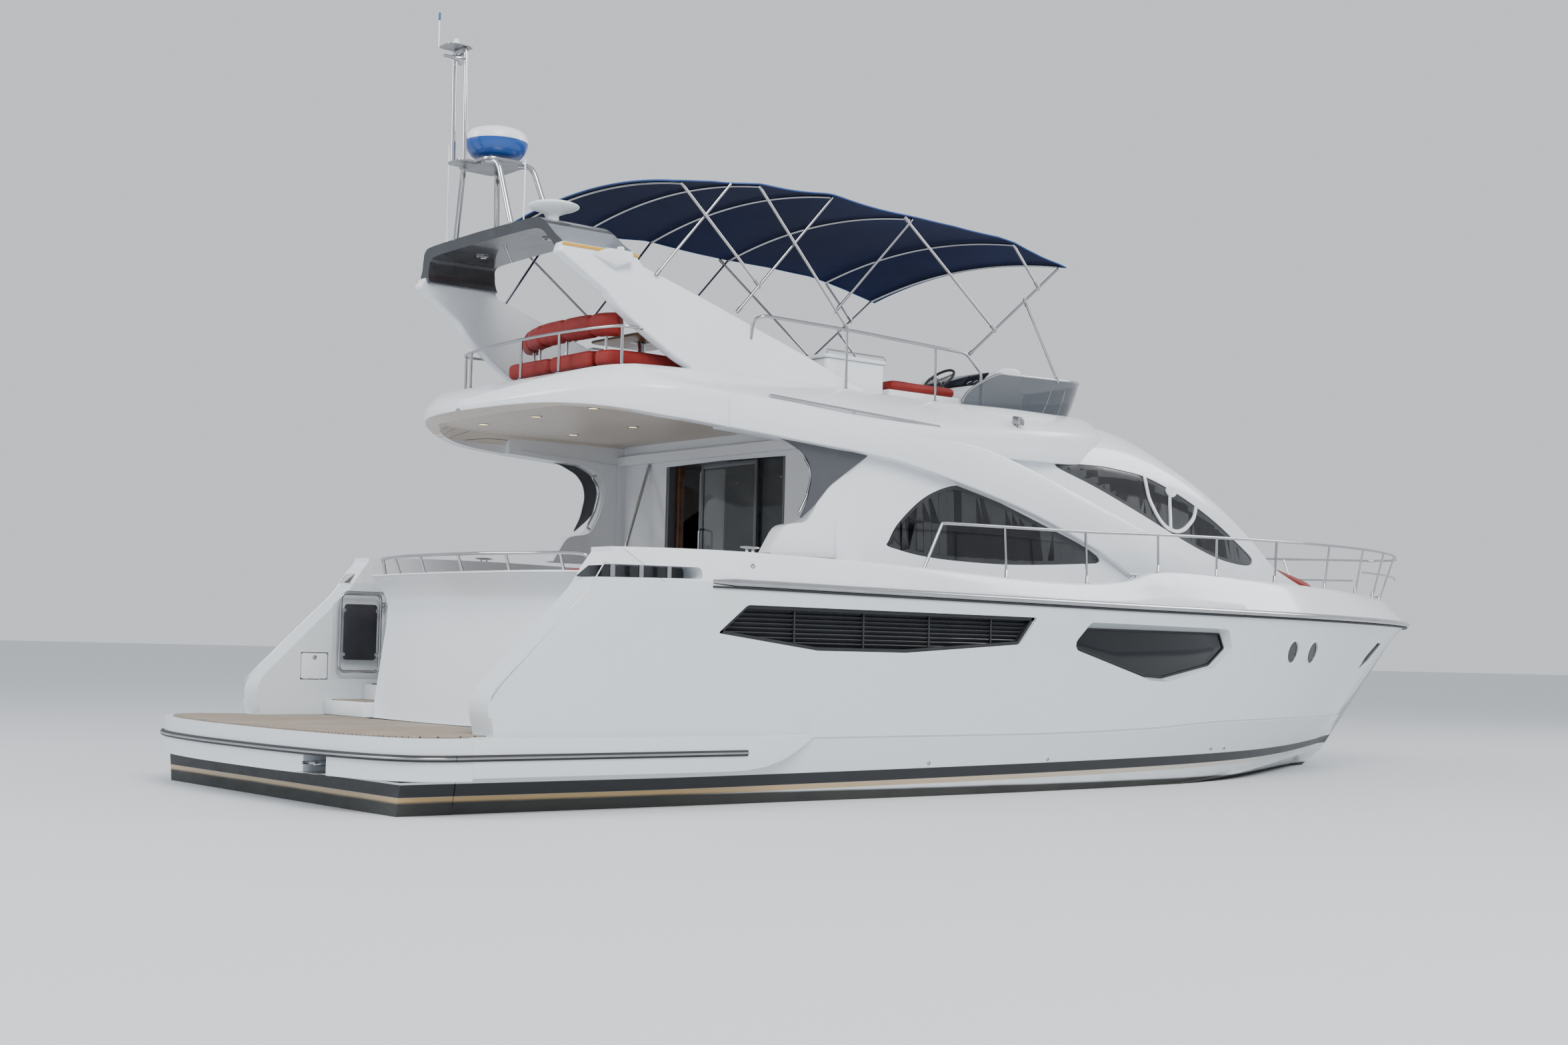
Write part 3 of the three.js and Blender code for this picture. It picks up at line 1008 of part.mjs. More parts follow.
// Under water: two propellers turn with their shafts, and two rudders steer
for (const [side, name] of [[-1, "stbd"], [1, "port"]]) {
  const y = PROP.y * side;
  const shaft = rod([PROP.x, y, PROP.z], [...SHAFT_END].toSpliced(1, 1, y), SHAFT_R, 12);

  // A four-bladed propeller: each blade is a thin lens, twisted about its own length
  const hub = lathe([[0, -90], [45, -90], [70, -40], [75, 90], [0, 90]], 20, [1, 0, 0],
    [0, 0, 0]);
  const blades = [0, 1, 2, 3].map((n) => {
    const rings = [
      [50, 70, 62, 20], [140, 130, 52, 17], [230, 150, 42, 13], [300, 110, 34, 9], [326, 50, 30, 6],
    ].map(([reach, chord, pitch, thick]) => {
      const turn = THREE.MathUtils.degToRad(pitch) * side;
      const across = [[-1, 0], [-0.4, 0.5], [0.4, 0.5], [1, 0], [0.4, -0.5], [-0.4, -0.5]];
      return across.map(([u, v]) => [
        u * chord * Math.cos(turn) * 0.9 - v * thick * Math.sin(turn),
        u * chord * Math.sin(turn) + v * thick * Math.cos(turn),
        reach,
      ]);
    });
    return loft(rings).rotate([(360 * n) / 4 + 20, 0, 0]);
  });
  const screw = join(hub, ...blades).rotate([0, -SHAFT_SLOPE, 0]).translate([PROP.x, y, PROP.z]);
  const collar = rod([3100, y, shaftAt(3100)], [3160, y, shaftAt(3160)], SHAFT_R + CLEAR - 0.8, 16);
  part(`propeller_${name}`, join(screw, shaft, collar), "bronze");

  // A balanced spade rudder under its stock
  const RUDDER = { x: 330, top: -640, bottom: -1240 };
  const blade = loft([[RUDDER.bottom, 180, 18], [RUDDER.top, 230, 30]].map(([z, chord, thick]) =>
    [[-0.62, 0.1], [-0.2, 0.7], [0.2, 1], [0.38, 0], [0.2, -1], [-0.2, -0.7], [-0.62, -0.1]]
      .map(([u, v]) => [RUDDER.x + 2 * u * chord, y + v * thick, z])));
  const stock = rod([RUDDER.x, y, RUDDER.top - 30], [RUDDER.x, y, -420], 26, 12);
  const bearing = rod([RUDDER.x, y, -470], [RUDDER.x, y, -430], 26 + CLEAR - 0.75, 16);
  part(`rudder_${name}`, join(blade, stock, bearing), "bronze");
}

export default yacht;
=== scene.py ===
# %% [markdown]
# # A flybridge motor yacht, dressed over its solids
# The solids of the boat are already modelled and packed. Here they are loaded as a fixed frame, and
# each one gets a finish, or a finer shape that stands where it stands. Lengths in the tables below are
# millimetres from the transom, as in a lines plan, and `metres` moves them into the shared frame.

# %% Load the solids
import math
import bmesh
import bpy
from mathutils import Matrix, Vector


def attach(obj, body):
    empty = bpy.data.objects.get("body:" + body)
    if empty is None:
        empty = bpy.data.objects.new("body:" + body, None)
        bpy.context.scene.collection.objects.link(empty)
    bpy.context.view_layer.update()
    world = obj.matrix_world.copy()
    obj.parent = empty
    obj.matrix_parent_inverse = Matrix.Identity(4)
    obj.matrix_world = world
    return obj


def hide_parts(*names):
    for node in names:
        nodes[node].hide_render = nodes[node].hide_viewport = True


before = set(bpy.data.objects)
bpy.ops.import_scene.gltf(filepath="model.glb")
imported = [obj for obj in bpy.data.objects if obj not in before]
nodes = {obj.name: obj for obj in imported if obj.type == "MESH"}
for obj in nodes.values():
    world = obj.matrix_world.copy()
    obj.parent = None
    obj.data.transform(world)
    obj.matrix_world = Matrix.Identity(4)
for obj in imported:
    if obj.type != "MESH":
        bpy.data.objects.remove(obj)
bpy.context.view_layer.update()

AMIDSHIPS = 8000
SIDES = ((-1, "stbd"), (1, "port"))


def metres(point):
    x, y, z = point
    return Vector(((x - AMIDSHIPS) / 1000, y / 1000, z / 1000))


# %% [markdown]
# ## The camera and the light
# The photograph was taken from the starboard quarter, from a little above the water. The camera's place
# and three angles come from fitting the hull's known points to the picture. An overcast sky lights the
# real boat, so a bright even world and three large soft lamps stand in for it.

# %% Camera, floor and light
CAMERA_AT = Vector((-16.10678, -16.41902, 1.38502))
YAW, PITCH, ROLL = 0.887803897, 0.0649498632, 0.0222446506
LENS, SENSOR = 45.306, 36.0

forward = Vector((math.cos(PITCH) * math.cos(YAW), math.cos(PITCH) * math.sin(YAW), math.sin(PITCH)))
level = Vector((math.sin(YAW), -math.cos(YAW), 0))
upright = level.cross(forward)
right = math.cos(ROLL) * level + math.sin(ROLL) * upright
top = -math.sin(ROLL) * level + math.cos(ROLL) * upright
camera = bpy.data.objects.new("camera", bpy.data.cameras.new("camera"))
camera.data.lens, camera.data.sensor_width = LENS, SENSOR
camera.data.clip_end = 400
camera.matrix_world = Matrix.Translation(CAMERA_AT) @ Matrix((right, top, -forward)).transposed().to_4x4()
bpy.context.scene.collection.objects.link(camera)
bpy.context.scene.camera = camera

world = bpy.data.worlds.new("overcast")
world.use_nodes = True
world.node_tree.nodes["Background"].inputs["Color"].default_value = (0.85, 0.89, 0.95, 1)
world.node_tree.nodes["Background"].inputs["Strength"].default_value = 0.92
bpy.context.scene.world = world


def soft_lamp(name, place, aim, size, watts, colour=(1, 1, 1)):
    data = bpy.data.lights.new(name, "AREA")
    data.shape, data.size, data.energy, data.color = "DISK", size, watts, colour
    lamp = bpy.data.objects.new(name, data)
    lamp.location = place
    lamp.rotation_euler = (Vector(aim) - Vector(place)).to_track_quat("-Z", "Y").to_euler()
    bpy.context.scene.collection.objects.link(lamp)


soft_lamp("sky_key", (-12, -20, 20), (0, 0, 2), 16, 6400, (1.0, 0.98, 0.95))
soft_lamp("sky_fill", (-24, 6, 14), (-2, 0, 2), 14, 3000, (0.93, 0.96, 1.0))
soft_lamp("sky_bow", (22, -10, 16), (4, 0, 2), 14, 2800)


# %% [markdown]
# ## Meshes from rings, outlines and paths
# A boat is drawn as stations: rings of points that are joined one to the next. Most pieces here are such
# lofts, or a flat outline pushed along an axis. Tubes follow a path with Geometry Nodes, because a curve
# swept by a circle keeps its thickness round every bend.

# %% Smooth lines through a table
def spline(points, pieces):
    last = len(points) - 1
    line = []
    for i in range(pieces + 1):
        place = i / pieces * last
        k = min(int(place), last - 1)
        t = place - k
        a, b, c, d = (points[min(max(n, 0), last)] for n in (k - 1, k, k + 1, k + 2))
        line.append(tuple(
            0.5 * (2 * q + (r - p) * t + (2 * p - 5 * q + 4 * r - s) * t * t
                   + (3 * q - p - 3 * r + s) * t ** 3)
            for p, q, r, s in zip(a, b, c, d)))
    return line


def column(table, k, x):
    near = 0
    while near < len(table) - 2 and table[near + 1][0] <= x:
        near += 1
    a, b, c, d = (table[min(max(n, 0), len(table) - 1)] for n in (near - 1, near, near + 1, near + 2))
    span = c[0] - b[0]
    t = min(max((x - b[0]) / span, 0), 1)
    m0 = (c[k] - a[k]) / (c[0] - a[0]) * span
    m1 = (d[k] - b[k]) / (d[0] - b[0]) * span
    ends = (2 * t ** 3 - 3 * t * t + 1) * b[k] + (3 * t * t - 2 * t ** 3) * c[k]
    return ends + (t ** 3 - 2 * t * t + t) * m0 + (t ** 3 - t * t) * m1


def clamp(value):
    return min(max(value, 0.0), 1.0)


def between(a, b, t):
    return tuple(p + (q - p) * t for p, q in zip(a, b))


def bezier(a, pull, b, t):
    return tuple((1 - t) ** 2 * p + 2 * t * (1 - t) * q + t * t * r for p, q, r in zip(a, pull, b))


def circle(radius, steps, at=(0, 0)):
    turns = (2 * math.pi * i / steps for i in range(steps))
    return [(at[0] + radius * math.cos(a), at[1] + radius * math.sin(a)) for a in turns]


def heading(line, i):
    """The unit direction of a flat path at one of its points."""
    (ax, ay), (bx, by) = line[max(0, i - 1)], line[min(len(line) - 1, i + 1)]
    length = math.hypot(bx - ax, by - ay)
    return (bx - ax) / length, (by - ay) / length


def both_sides(half):
    return [(x, -y, z) for x, y, z in half] + [(x, y, z) for x, y, z in reversed(half)]


def mirrored(half):
    return list(half) + [(x, -y) for x, y in reversed(half)]


def across_centre(half):
    """A path that ends on the centreline, carried on to the other side."""
    return half + [(x, -y) for x, y in reversed(half[:-1])]


# %% Meshes
def mesh_object(name, points, faces, outward=True):
    mesh = bpy.data.meshes.new(name)
    mesh.from_pydata([metres(p) for p in points], [], faces)
    work = bmesh.new()
    work.from_mesh(mesh)
    bmesh.ops.remove_doubles(work, verts=work.verts, dist=1e-5)
    if outward:
        bmesh.ops.recalc_face_normals(work, faces=work.faces)
    work.to_mesh(mesh)
    work.free()
    made = bpy.data.objects.new(name, mesh)
    bpy.context.scene.collection.objects.link(made)
    return made


def loft(name, rings, capped=True, closed=True):
    count = len(rings[0])
    points = [p for ring in rings for p in ring]
    faces = []
    for r in range(len(rings) - 1):
        for i in range(count if closed else count - 1):
            a, b = r * count + i, r * count + (i + 1) % count
            faces.append((a, b, b + count, a + count))
    if capped:
        faces.append(tuple(reversed(range(count))))
        faces.append(tuple(range((len(rings) - 1) * count, len(rings) * count)))
    return mesh_object(name, points, faces)


def prism(name, axis, outline, low, high):
    turn = {"x": lambda u, v, w: (w, u, v), "y": lambda u, v, w: (u, w, v), "z": lambda u, v, w: (u, v, w)}
    return loft(name, [[turn[axis](u, v, w) for u, v in outline] for w in (low, high)])


def box_plan(u0, u1, v0, v1):
    return [(u0, v0), (u1, v0), (u1, v1), (u0, v1)]


def block(name, x0, x1, y0, y1, z0, z1):
    return prism(name, "z", box_plan(x0, x1, y0, y1), z0, z1)


def lathe(name, profile, at, axis="z", steps=40):
    x, y, z = at
    put = {"z": lambda u, v, w: (x + u, y + v, z + w), "x": lambda u, v, w: (x + w, y + u, z + v),
           "y": lambda u, v, w: (x + u, y + w, z + v)}[axis]
    return loft(name, [[put(u, v, rise) for u, v in circle(max(radius, 0.01), steps)]
                       for radius, rise in profile])


def evaluated(made):
    graph = bpy.context.evaluated_depsgraph_get()
    return bpy.data.meshes.new_from_object(made.evaluated_get(graph), depsgraph=graph)


def freeze(made):
    """Turn an object with its modifiers into a plain mesh."""
    solid, old = evaluated(made), made.data
    made.modifiers.clear()
    made.data = solid
    bpy.data.meshes.remove(old)
    return made


def soft_edges(made, width, segments, angle=50):
    edge = made.modifiers.new("rounded edges", "BEVEL")
    edge.width, edge.segments, edge.limit_method = width / 1000, segments, "ANGLE"
    edge.angle_limit = math.radians(angle)
    return freeze(made)


def shaped(made, tool, how="DIFFERENCE"):
    """A boolean that falls back to the exact solver where the quick one does nothing."""
    faces = len(made.data.polygons)
    for solver in ("MANIFOLD", "EXACT"):
        step = made.modifiers.new("cut", "BOOLEAN")
        step.operation, step.solver, step.object = how, solver, tool
        result = evaluated(made)
        made.modifiers.clear()
        if len(result.polygons) > 0 and not (solver == "MANIFOLD" and len(result.polygons) == faces):
            made.data = result
            break
        print("  second solver for", made.name, tool.name)
    bpy.data.objects.remove(tool)
    return made


def carve(made, *tools):
    for tool in tools:
        shaped(made, tool)
    return made


def joined(name, parts):
    mesh = bpy.data.meshes.new(name)
    work = bmesh.new()
    paints = []
    for part in parts:
        offset = len(work.faces)
        work.from_mesh(part.data)
        work.faces.ensure_lookup_table()
        for face in work.faces[offset:]:
            paint = part.data.materials[face.material_index] if part.data.materials else None
            if paint not in paints:
                paints.append(paint)
            face.material_index = paints.index(paint)
        bpy.data.objects.remove(part)
    work.to_mesh(mesh)
    work.free()
    for paint in paints:
        mesh.materials.append(paint)
    made = bpy.data.objects.new(name, mesh)
    bpy.context.scene.collection.objects.link(made)
    return made


# %% Finish a piece
def hand_over(made, body="boat", replaces=()):
    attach(made, body)
    if replaces:
        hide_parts(*replaces)
    return made


def dress(made, paint, body="boat", replaces=(), crease=35, round_off=0, steps=2):
    """Give a shape its finish, its rounded edges (mm) and its place in the boat."""
    if paint is not None:
        made.data.materials.clear()
        made.data.materials.append(paint)
    if round_off:
        soft_edges(made, round_off, steps, 30)
    made.data.shade_smooth()
    made.data.set_sharp_from_angle(angle=math.radians(crease))
    return hand_over(made, body, replaces)


def refined(node, paint, body="boat", round_off=6, crease=35, steps=2):
    """A merged copy of a node with rounded edges, which stands where the node stands."""
    mesh = nodes[node].data.copy()
    work = bmesh.new()
    work.from_mesh(mesh)
    bmesh.ops.remove_doubles(work, verts=work.verts, dist=2e-5)
    bmesh.ops.dissolve_limit(work, angle_limit=math.radians(1), verts=work.verts, edges=work.edges)
    work.to_mesh(mesh)
    work.free()
    made = bpy.data.objects.new(f"{node}_shape", mesh)
    bpy.context.scene.collection.objects.link(made)
    return dress(made, paint, body, (node,), crease, round_off, steps)


# %% [markdown]
# ## Node trees, for finishes and for repeated parts
# One class builds both kinds of tree. A socket is wrapped so that Python's own operators add the Math
# nodes, which keeps a finish readable as a sum, and any other node comes from `node`.

# %% Sockets with operators
class Value:
    def __init__(self, tree, socket):
        self.tree, self.socket = tree, socket

    def maths(self, operation, other=0.0, swapped=False):
        first, second = (other, self) if swapped else (self, other)
        return self.tree.node("ShaderNodeMath", {"operation": operation}, {0: first, 1: second})

    def held(self):
        """The value, kept between 0 and 1."""
        return self.maths("MAXIMUM", 0.0).maths("MINIMUM", 1.0)

    def fade(self, low, high):
        """0 below `low`, 1 above `high`, and a smooth step between."""
        return self.tree.node("ShaderNodeMapRange", {"interpolation_type": "SMOOTHSTEP"},
                              {"Value": self, "From Min": low, "From Max": high})


def operator(operation, swapped=False):
    return lambda value, other: value.maths(operation, other, swapped)


for sign, operation in {"add": "ADD", "sub": "SUBTRACT", "mul": "MULTIPLY", "truediv": "DIVIDE",
                        "pow": "POWER"}.items():
    setattr(Value, f"__{sign}__", operator(operation))
    setattr(Value, f"__r{sign}__", operator(operation, True))


class Tree:
    def __init__(self, tree):
        self.tree = tree

    def node(self, kind, settings=None, values=None, out=0):
        made = self.tree.nodes.new(kind)
        for key, value in (settings or {}).items():
            if key == "stops":
                ramp = made.color_ramp
                while len(ramp.elements) < len(value):
                    ramp.elements.new(1)
                for stop, (where, colour) in zip(ramp.elements, value):
                    stop.position, stop.color = where, (*colour, 1) if len(colour) == 3 else colour
            else:
                setattr(made, key, value)
        for key, value in (values or {}).items():
            if isinstance(value, Value):
                self.tree.links.new(value.socket, made.inputs[key])
            else:
                made.inputs[key].default_value = value
        return Value(self, made.outputs[out])


# %% Finishes
class Finish(Tree):
    def __init__(self, name, **fixed):
        self.material = bpy.data.materials.new(name)
        self.material.use_nodes = True
        super().__init__(self.material.node_tree)
        self.shader = self.tree.nodes["Principled BSDF"]
        for key, value in fixed.items():
            self.shader.inputs[key.replace("_", " ").title().replace("Ior", "IOR")].default_value = value
        self.at = self.node("ShaderNodeTexCoord", out=3)

    def axes(self):
        return [self.node("ShaderNodeSeparateXYZ", values={0: self.at}, out=k) for k in range(3)]

    def noise(self, scale, stretch=(1, 1, 1), detail=3.0, rough=0.5):
        where = self.node("ShaderNodeMapping", values={"Vector": self.at, "Scale": stretch})
        return self.node("ShaderNodeTexNoise", {}, {"Vector": where, "Scale": scale, "Detail": detail,
                                                    "Roughness": rough})

    def blend(self, factor, a, b):
        return self.node("ShaderNodeMix", {"data_type": "RGBA"}, {0: factor, 6: a, 7: b}, out=2)

    def bump(self, height, strength, distance=0.002):
        return self.node("ShaderNodeBump", values={"Height": height, "Strength": strength,
                                                   "Distance": distance})

    def wear(self, **sockets):
        for key, value in sockets.items():
            self.tree.links.new(value.socket, self.shader.inputs[key.replace("_", " ").title()])
        return self.material


def rgb(r, g, b):
    return (r, g, b, 1.0)


def dimmed(colour, share, lift=0.0):
    return rgb(*(c * share + lift for c in colour))


# %% [markdown]
# ## Finishes
# Gelcoat is a thick glossy resin skin: almost white, a little bluer in the shade, with a faint unevenness
# that only shows in reflections. The hull's own finish adds what the water does to it: a black boot stripe
# over an ochre line, bottom paint below, and faint runs under the deck edge. Both patterns read the height
# above the water, so they stay level however the hull curves.

# %% Gelcoat and the painted hull
def gelcoat(name, colour=(0.80, 0.835, 0.875), rough=0.16):
    paint = Finish(name, coat_roughness=0.06)
    cloud = paint.noise(0.7, detail=4)
    fleck = paint.noise(9.0, detail=3)
    shade = cloud.fade(0.3, 0.75)
    tone = paint.blend(shade, rgb(*colour), dimmed(colour, 0.955))
    ripple = paint.noise(3.2, detail=1)
    return paint, tone, paint.wear(
        base_color=tone,
        roughness=rough + fleck * 0.10,
        coat_weight=0.35 + shade * 0.25,
        normal=paint.bump(ripple, 0.06, 0.004))


_, _, white = gelcoat("gelcoat white")
# A darker, greyer copy of the white gelcoat: painted shade, for the lining of the saloon and the engine room,
# the saloon's bulkhead and side wall, and the bar's doors.
_, _, gelcoat_painted_shade = gelcoat("gelcoat white in painted shade", (0.70, 0.73, 0.76), 0.3)

hull_paint, bright, _ = gelcoat("painted hull", (0.80, 0.835, 0.875), 0.13)
along, across, height = hull_paint.axes()
rise = ((along + 6.0) / 13.0).held()
stripe_top = 0.255 + rise ** 1.2 * 0.15
ragged = hull_paint.noise(1.3, (1, 1, 6), detail=5) * 0.012
above_stripe = (height - stripe_top).fade(-0.003, 0.003)
below_stripe = (stripe_top - 0.105 - height).fade(-0.003, 0.003)
ochre_band = below_stripe * (height - stripe_top + 0.155).fade(-0.004, 0.004)
submerged = (ragged - height + 0.105 - rise * 0.07).fade(-0.015, 0.015)
# Below the sheer the topside is blended towards a darker, bluer white: painted shade, with the bulwark above
# it left bright.
sheer_height = 1.985 - ((along + 5.6) / 3.5).held() * 0.05
painted_shade_below_sheer = (sheer_height - height).fade(-0.01, 0.01)
topside = hull_paint.blend(painted_shade_below_sheer * 0.85, bright, rgb(0.665, 0.715, 0.745))
run_noise = hull_paint.noise(2.6, (3.0, 3.0, 0.06), detail=4)
runs = run_noise.fade(0.56, 0.74) * height.fade(0.5, 1.9) * 0.16
scum = (0.30 - height).fade(0.0, 0.3) * hull_paint.noise(5.0, (0.6, 0.6, 2.5), detail=5).fade(0.35, 0.8)
stripe = (1 - above_stripe) * (1 - below_stripe)
skin_tone = hull_paint.blend(runs, topside, rgb(0.55, 0.55, 0.50))
skin_tone = hull_paint.blend(stripe, skin_tone, rgb(0.012, 0.013, 0.016))
bow_fade = 1 - rise * 0.85
skin_tone = hull_paint.blend(ochre_band * bow_fade, skin_tone, rgb(0.42, 0.27, 0.10))
skin_tone = hull_paint.blend(scum * 0.35 * (1 - stripe), skin_tone, rgb(0.33, 0.31, 0.22))
bottom = hull_paint.blend(hull_paint.noise(1.1, detail=5), rgb(0.016, 0.018, 0.020), rgb(0.040, 0.040, 0.034))
skin_tone = hull_paint.blend(submerged, skin_tone, bottom)
hull_gelcoat = hull_paint.wear(
    base_color=skin_tone,
    roughness=0.13 + hull_paint.noise(9.0) * 0.08 + scum * 0.2 + submerged * 0.45 + stripe * 0.3,
    coat_weight=(1 - submerged) * (1 - stripe) * 0.5)

# %% [markdown]
# Teak decks are narrow planks with black caulking between them. The caulk lines come from the distance to
# the nearest multiple of a plank's width, and the grain is noise that is stretched along the planks.

# %% Teak, non-slip deck and varnished wood
PLANK = 0.052


def teak(name, lengthwise="x"):
    paint = Finish(name)
    x, y, z = paint.axes()
    cell = (y if lengthwise == "x" else x) / PLANK
    in_plank = cell.maths("FRACT")
    gap = (in_plank - 0.5).maths("ABSOLUTE").fade(0.43, 0.455)
    board = cell.maths("FLOOR")
    tint = ((board * 12.9898 + 4.1).maths("SINE") * 43.7).maths("FRACT").maths("ABSOLUTE")
    stretch = (2.0, 30.0, 8.0) if lengthwise == "x" else (30.0, 2.0, 8.0)
    grain = paint.noise(3.0, stretch, detail=6, rough=0.6)
    wood = paint.blend(grain.fade(0.3, 0.7), rgb(0.34, 0.265, 0.19), rgb(0.22, 0.165, 0.115))
    wood = paint.blend(tint * 0.35, wood, rgb(0.42, 0.37, 0.31))
    worn = paint.noise(1.4, detail=4).fade(0.4, 0.8)
    wood = paint.blend(worn * 0.4, wood, rgb(0.40, 0.385, 0.36))
    return paint.wear(
        base_color=paint.blend(gap, wood, rgb(0.012, 0.012, 0.012)),
        roughness=0.62 + grain * 0.2 - gap * 0.2,
        normal=paint.bump(grain * 0.3 - gap, 0.5, 0.003))


teak_deck = teak("teak planks")
teak_tread = teak("teak treads", "y")

grit = Finish("non-slip deck")
tread = grit.node("ShaderNodeTexVoronoi", {"feature": "F1"}, {"Vector": grit.at, "Scale": 90.0})
non_slip = grit.wear(
    base_color=grit.blend(grit.noise(1.2, detail=4), rgb(0.66, 0.69, 0.71), rgb(0.60, 0.62, 0.64)),
    roughness=0.55 + grit.noise(30.0) * 0.15,
    normal=grit.bump(tread, 0.5, 0.002))


def varnished(name, light, dark, rough):
    paint = Finish(name, coat_roughness=0.08)
    grain = paint.noise(2.0, (1.5, 14.0, 14.0), detail=6, rough=0.62)
    swirl = paint.noise(0.9, (1, 4, 4), detail=2)
    bands = (grain * 0.7 + swirl * 0.6).fade(0.35, 0.9)
    return paint.wear(base_color=paint.blend(bands, rgb(*light), rgb(*dark)),
                      roughness=rough + grain * 0.12, coat_weight=0.4 + swirl * 0.2,
                      normal=paint.bump(grain, 0.08, 0.002))


table_wood = varnished("table veneer", (0.50, 0.30, 0.14), (0.34, 0.18, 0.075), 0.25)
saloon_wood = varnished("saloon joinery", (0.17, 0.075, 0.038), (0.07, 0.03, 0.016), 0.28)

# %% [markdown]
# Polished stainless steel is a near mirror, and fine rubbing marks round the tube keep it from looking
# like chrome plastic. The bronze of the propellers and rudders has been under water, so it is patchy.

# %% Metals
def polished(name, colour=(0.50, 0.50, 0.51), rough=0.08, marks=220.0):
    paint = Finish(name, metallic=1.0)
    rub = paint.noise(marks, (1, 1, 0.12), detail=2)
    smear = paint.noise(2.4, detail=3)
    return paint.wear(base_color=paint.blend(smear.fade(0.3, 0.8), rgb(*colour), dimmed(colour, 0.82)),
                      roughness=rough + rub * 0.07 + smear.fade(0.45, 0.8) * 0.10)


steel = polished("polished stainless")
brushed = polished("brushed stainless", (0.40, 0.40, 0.41), 0.24, 400.0)
bronze_paint = Finish("weathered bronze", metallic=1.0)
patch = bronze_paint.noise(6.0, detail=6, rough=0.65).fade(0.42, 0.66)
bronze = bronze_paint.wear(
    base_color=bronze_paint.blend(patch, rgb(0.55, 0.36, 0.15), rgb(0.16, 0.20, 0.13)),
    roughness=0.28 + patch * 0.35, normal=bronze_paint.bump(patch, 0.2, 0.001))


# %% Plastics, rubber, paint and lamps
def moulded(name, colour, rough, grain=160.0, relief=0.12, coat=0.0, metal=0.0):
    paint = Finish(name, metallic=metal)
    pits = paint.noise(grain, detail=2)
    dust = paint.noise(3.0, detail=5).fade(0.45, 0.8)
    lighter = tuple(min(1, c * 1.25 + 0.01) for c in colour)
    return paint.wear(base_color=paint.blend(dust * 0.6, rgb(*colour), rgb(*lighter)),
                      roughness=rough + pits * 0.08 + dust * 0.08,
                      coat_weight=coat + pits * 0.02,
                      normal=paint.bump(pits, relief, 0.0006))


rubber = moulded("black rubber", (0.018, 0.018, 0.02), 0.55)
gloss_black = moulded("black border of the glass", (0.010, 0.011, 0.013), 0.12, relief=0.02, coat=0.5)
louvre_black = moulded("satin black louvre", (0.016, 0.017, 0.019), 0.33, relief=0.05)
blade_grey = moulded("charcoal blades", (0.045, 0.047, 0.052), 0.24, relief=0.04, coat=0.35)
gate_dark = moulded("smoked gate panel", (0.012, 0.012, 0.018), 0.3, relief=0.03, coat=0.1)
side_grey = moulded("mid grey panel", (0.062, 0.066, 0.075), 0.34, relief=0.03, coat=0.1)
# A dark grey that is painted shade: on the beam's faces that look down or steeply, and at the back of the
# mooring pockets.
painted_shade_grey = moulded("dark grey painted shade", (0.030, 0.032, 0.037), 0.22, relief=0.03, coat=0.5)
beam_slate = moulded("slate beam ends", (0.17, 0.19, 0.222), 0.18, relief=0.03, coat=0.5)
yellow = moulded("amber strip", (0.62, 0.33, 0.03), 0.35)
engine_paint = moulded("engine paint", (0.62, 0.64, 0.66), 0.35, relief=0.2, coat=0.2)
door_grey = moulded("door frame paint", (0.075, 0.085, 0.095), 0.25, relief=0.03, coat=0.3)
radome_white = moulded("radome white", (0.80, 0.82, 0.84), 0.24, relief=0.05, coat=0.2)
radome_blue = moulded("radome blue", (0.012, 0.075, 0.32), 0.24, relief=0.05, coat=0.2)
navy_tip = moulded("blue aerial tip", (0.02, 0.05, 0.24), 0.4)

lining_paint = Finish("headlining slats")
SLAT = 0.115
groove = ((lining_paint.axes()[1] / SLAT).maths("FRACT") - 0.5).maths("ABSOLUTE").fade(0.452, 0.485)
slats = lining_paint.blend(lining_paint.noise(1.5, detail=4), rgb(0.74, 0.68, 0.60), rgb(0.67, 0.61, 0.54))
headlining = lining_paint.wear(
    base_color=lining_paint.blend(groove, slats, rgb(0.16, 0.14, 0.12)),
    roughness=0.36 + lining_paint.noise(14.0) * 0.08,
    normal=lining_paint.bump(1 - groove, 0.6, 0.004))

lamp_paint = Finish("warm lamp", emission_strength=3.0)
lamp_spot = lamp_paint.noise(30.0)
lamp_glow = lamp_paint.wear(
    base_color=lamp_paint.blend(lamp_spot, rgb(0.9, 0.75, 0.5), rgb(1, 0.85, 0.6)),
    roughness=0.4 + lamp_spot * 0.1,
    emission_color=lamp_paint.blend(lamp_spot, rgb(1.0, 0.66, 0.28), rgb(1.0, 0.78, 0.42)))

# %% [markdown]
# The windows are dark tinted glass: the alpha lets a little of the saloon show, and the gloss carries the
# sky. Salt haze near the frames is noise in the roughness. The flybridge's screen is smoked acrylic.

# %% Glass
def tinted(name, colour, alpha, rough=0.04, coat=0.6):
    paint = Finish(name, ior=1.5, coat_roughness=0.02)
    haze = paint.noise(1.8, detail=5).fade(0.5, 0.85)
    streak = paint.noise(4.0, (2, 2, 0.3), detail=3).fade(0.5, 0.9)
    return paint.wear(base_color=paint.blend(haze, rgb(*colour), dimmed(colour, 1.5, 0.004)),
                      roughness=rough + haze * 0.06 + streak * 0.03,
                      coat_weight=coat + haze * 0.1,
                      alpha=alpha + haze * 0.04)


window_glass = tinted("tinted glass", (0.018, 0.024, 0.028), 0.72)
door_glass = tinted("door glass", (0.03, 0.04, 0.045), 0.45)
hull_glass = tinted("hull window glass", (0.006, 0.007, 0.009), 0.97, 0.06, 0.05)
smoked = tinted("smoked acrylic", (0.055, 0.066, 0.078), 0.70)
hatch_glass = tinted("hatch acrylic", (0.03, 0.035, 0.04), 0.9)

# %% [markdown]
# The canopy is woven acrylic cloth, and the upholstery a red coated cloth. Both show a texture only from
# close by, so the weave is two crossed sets of fine waves and the leather grain is a cell pattern; what
# shows from afar is the broad fading and the sheen.

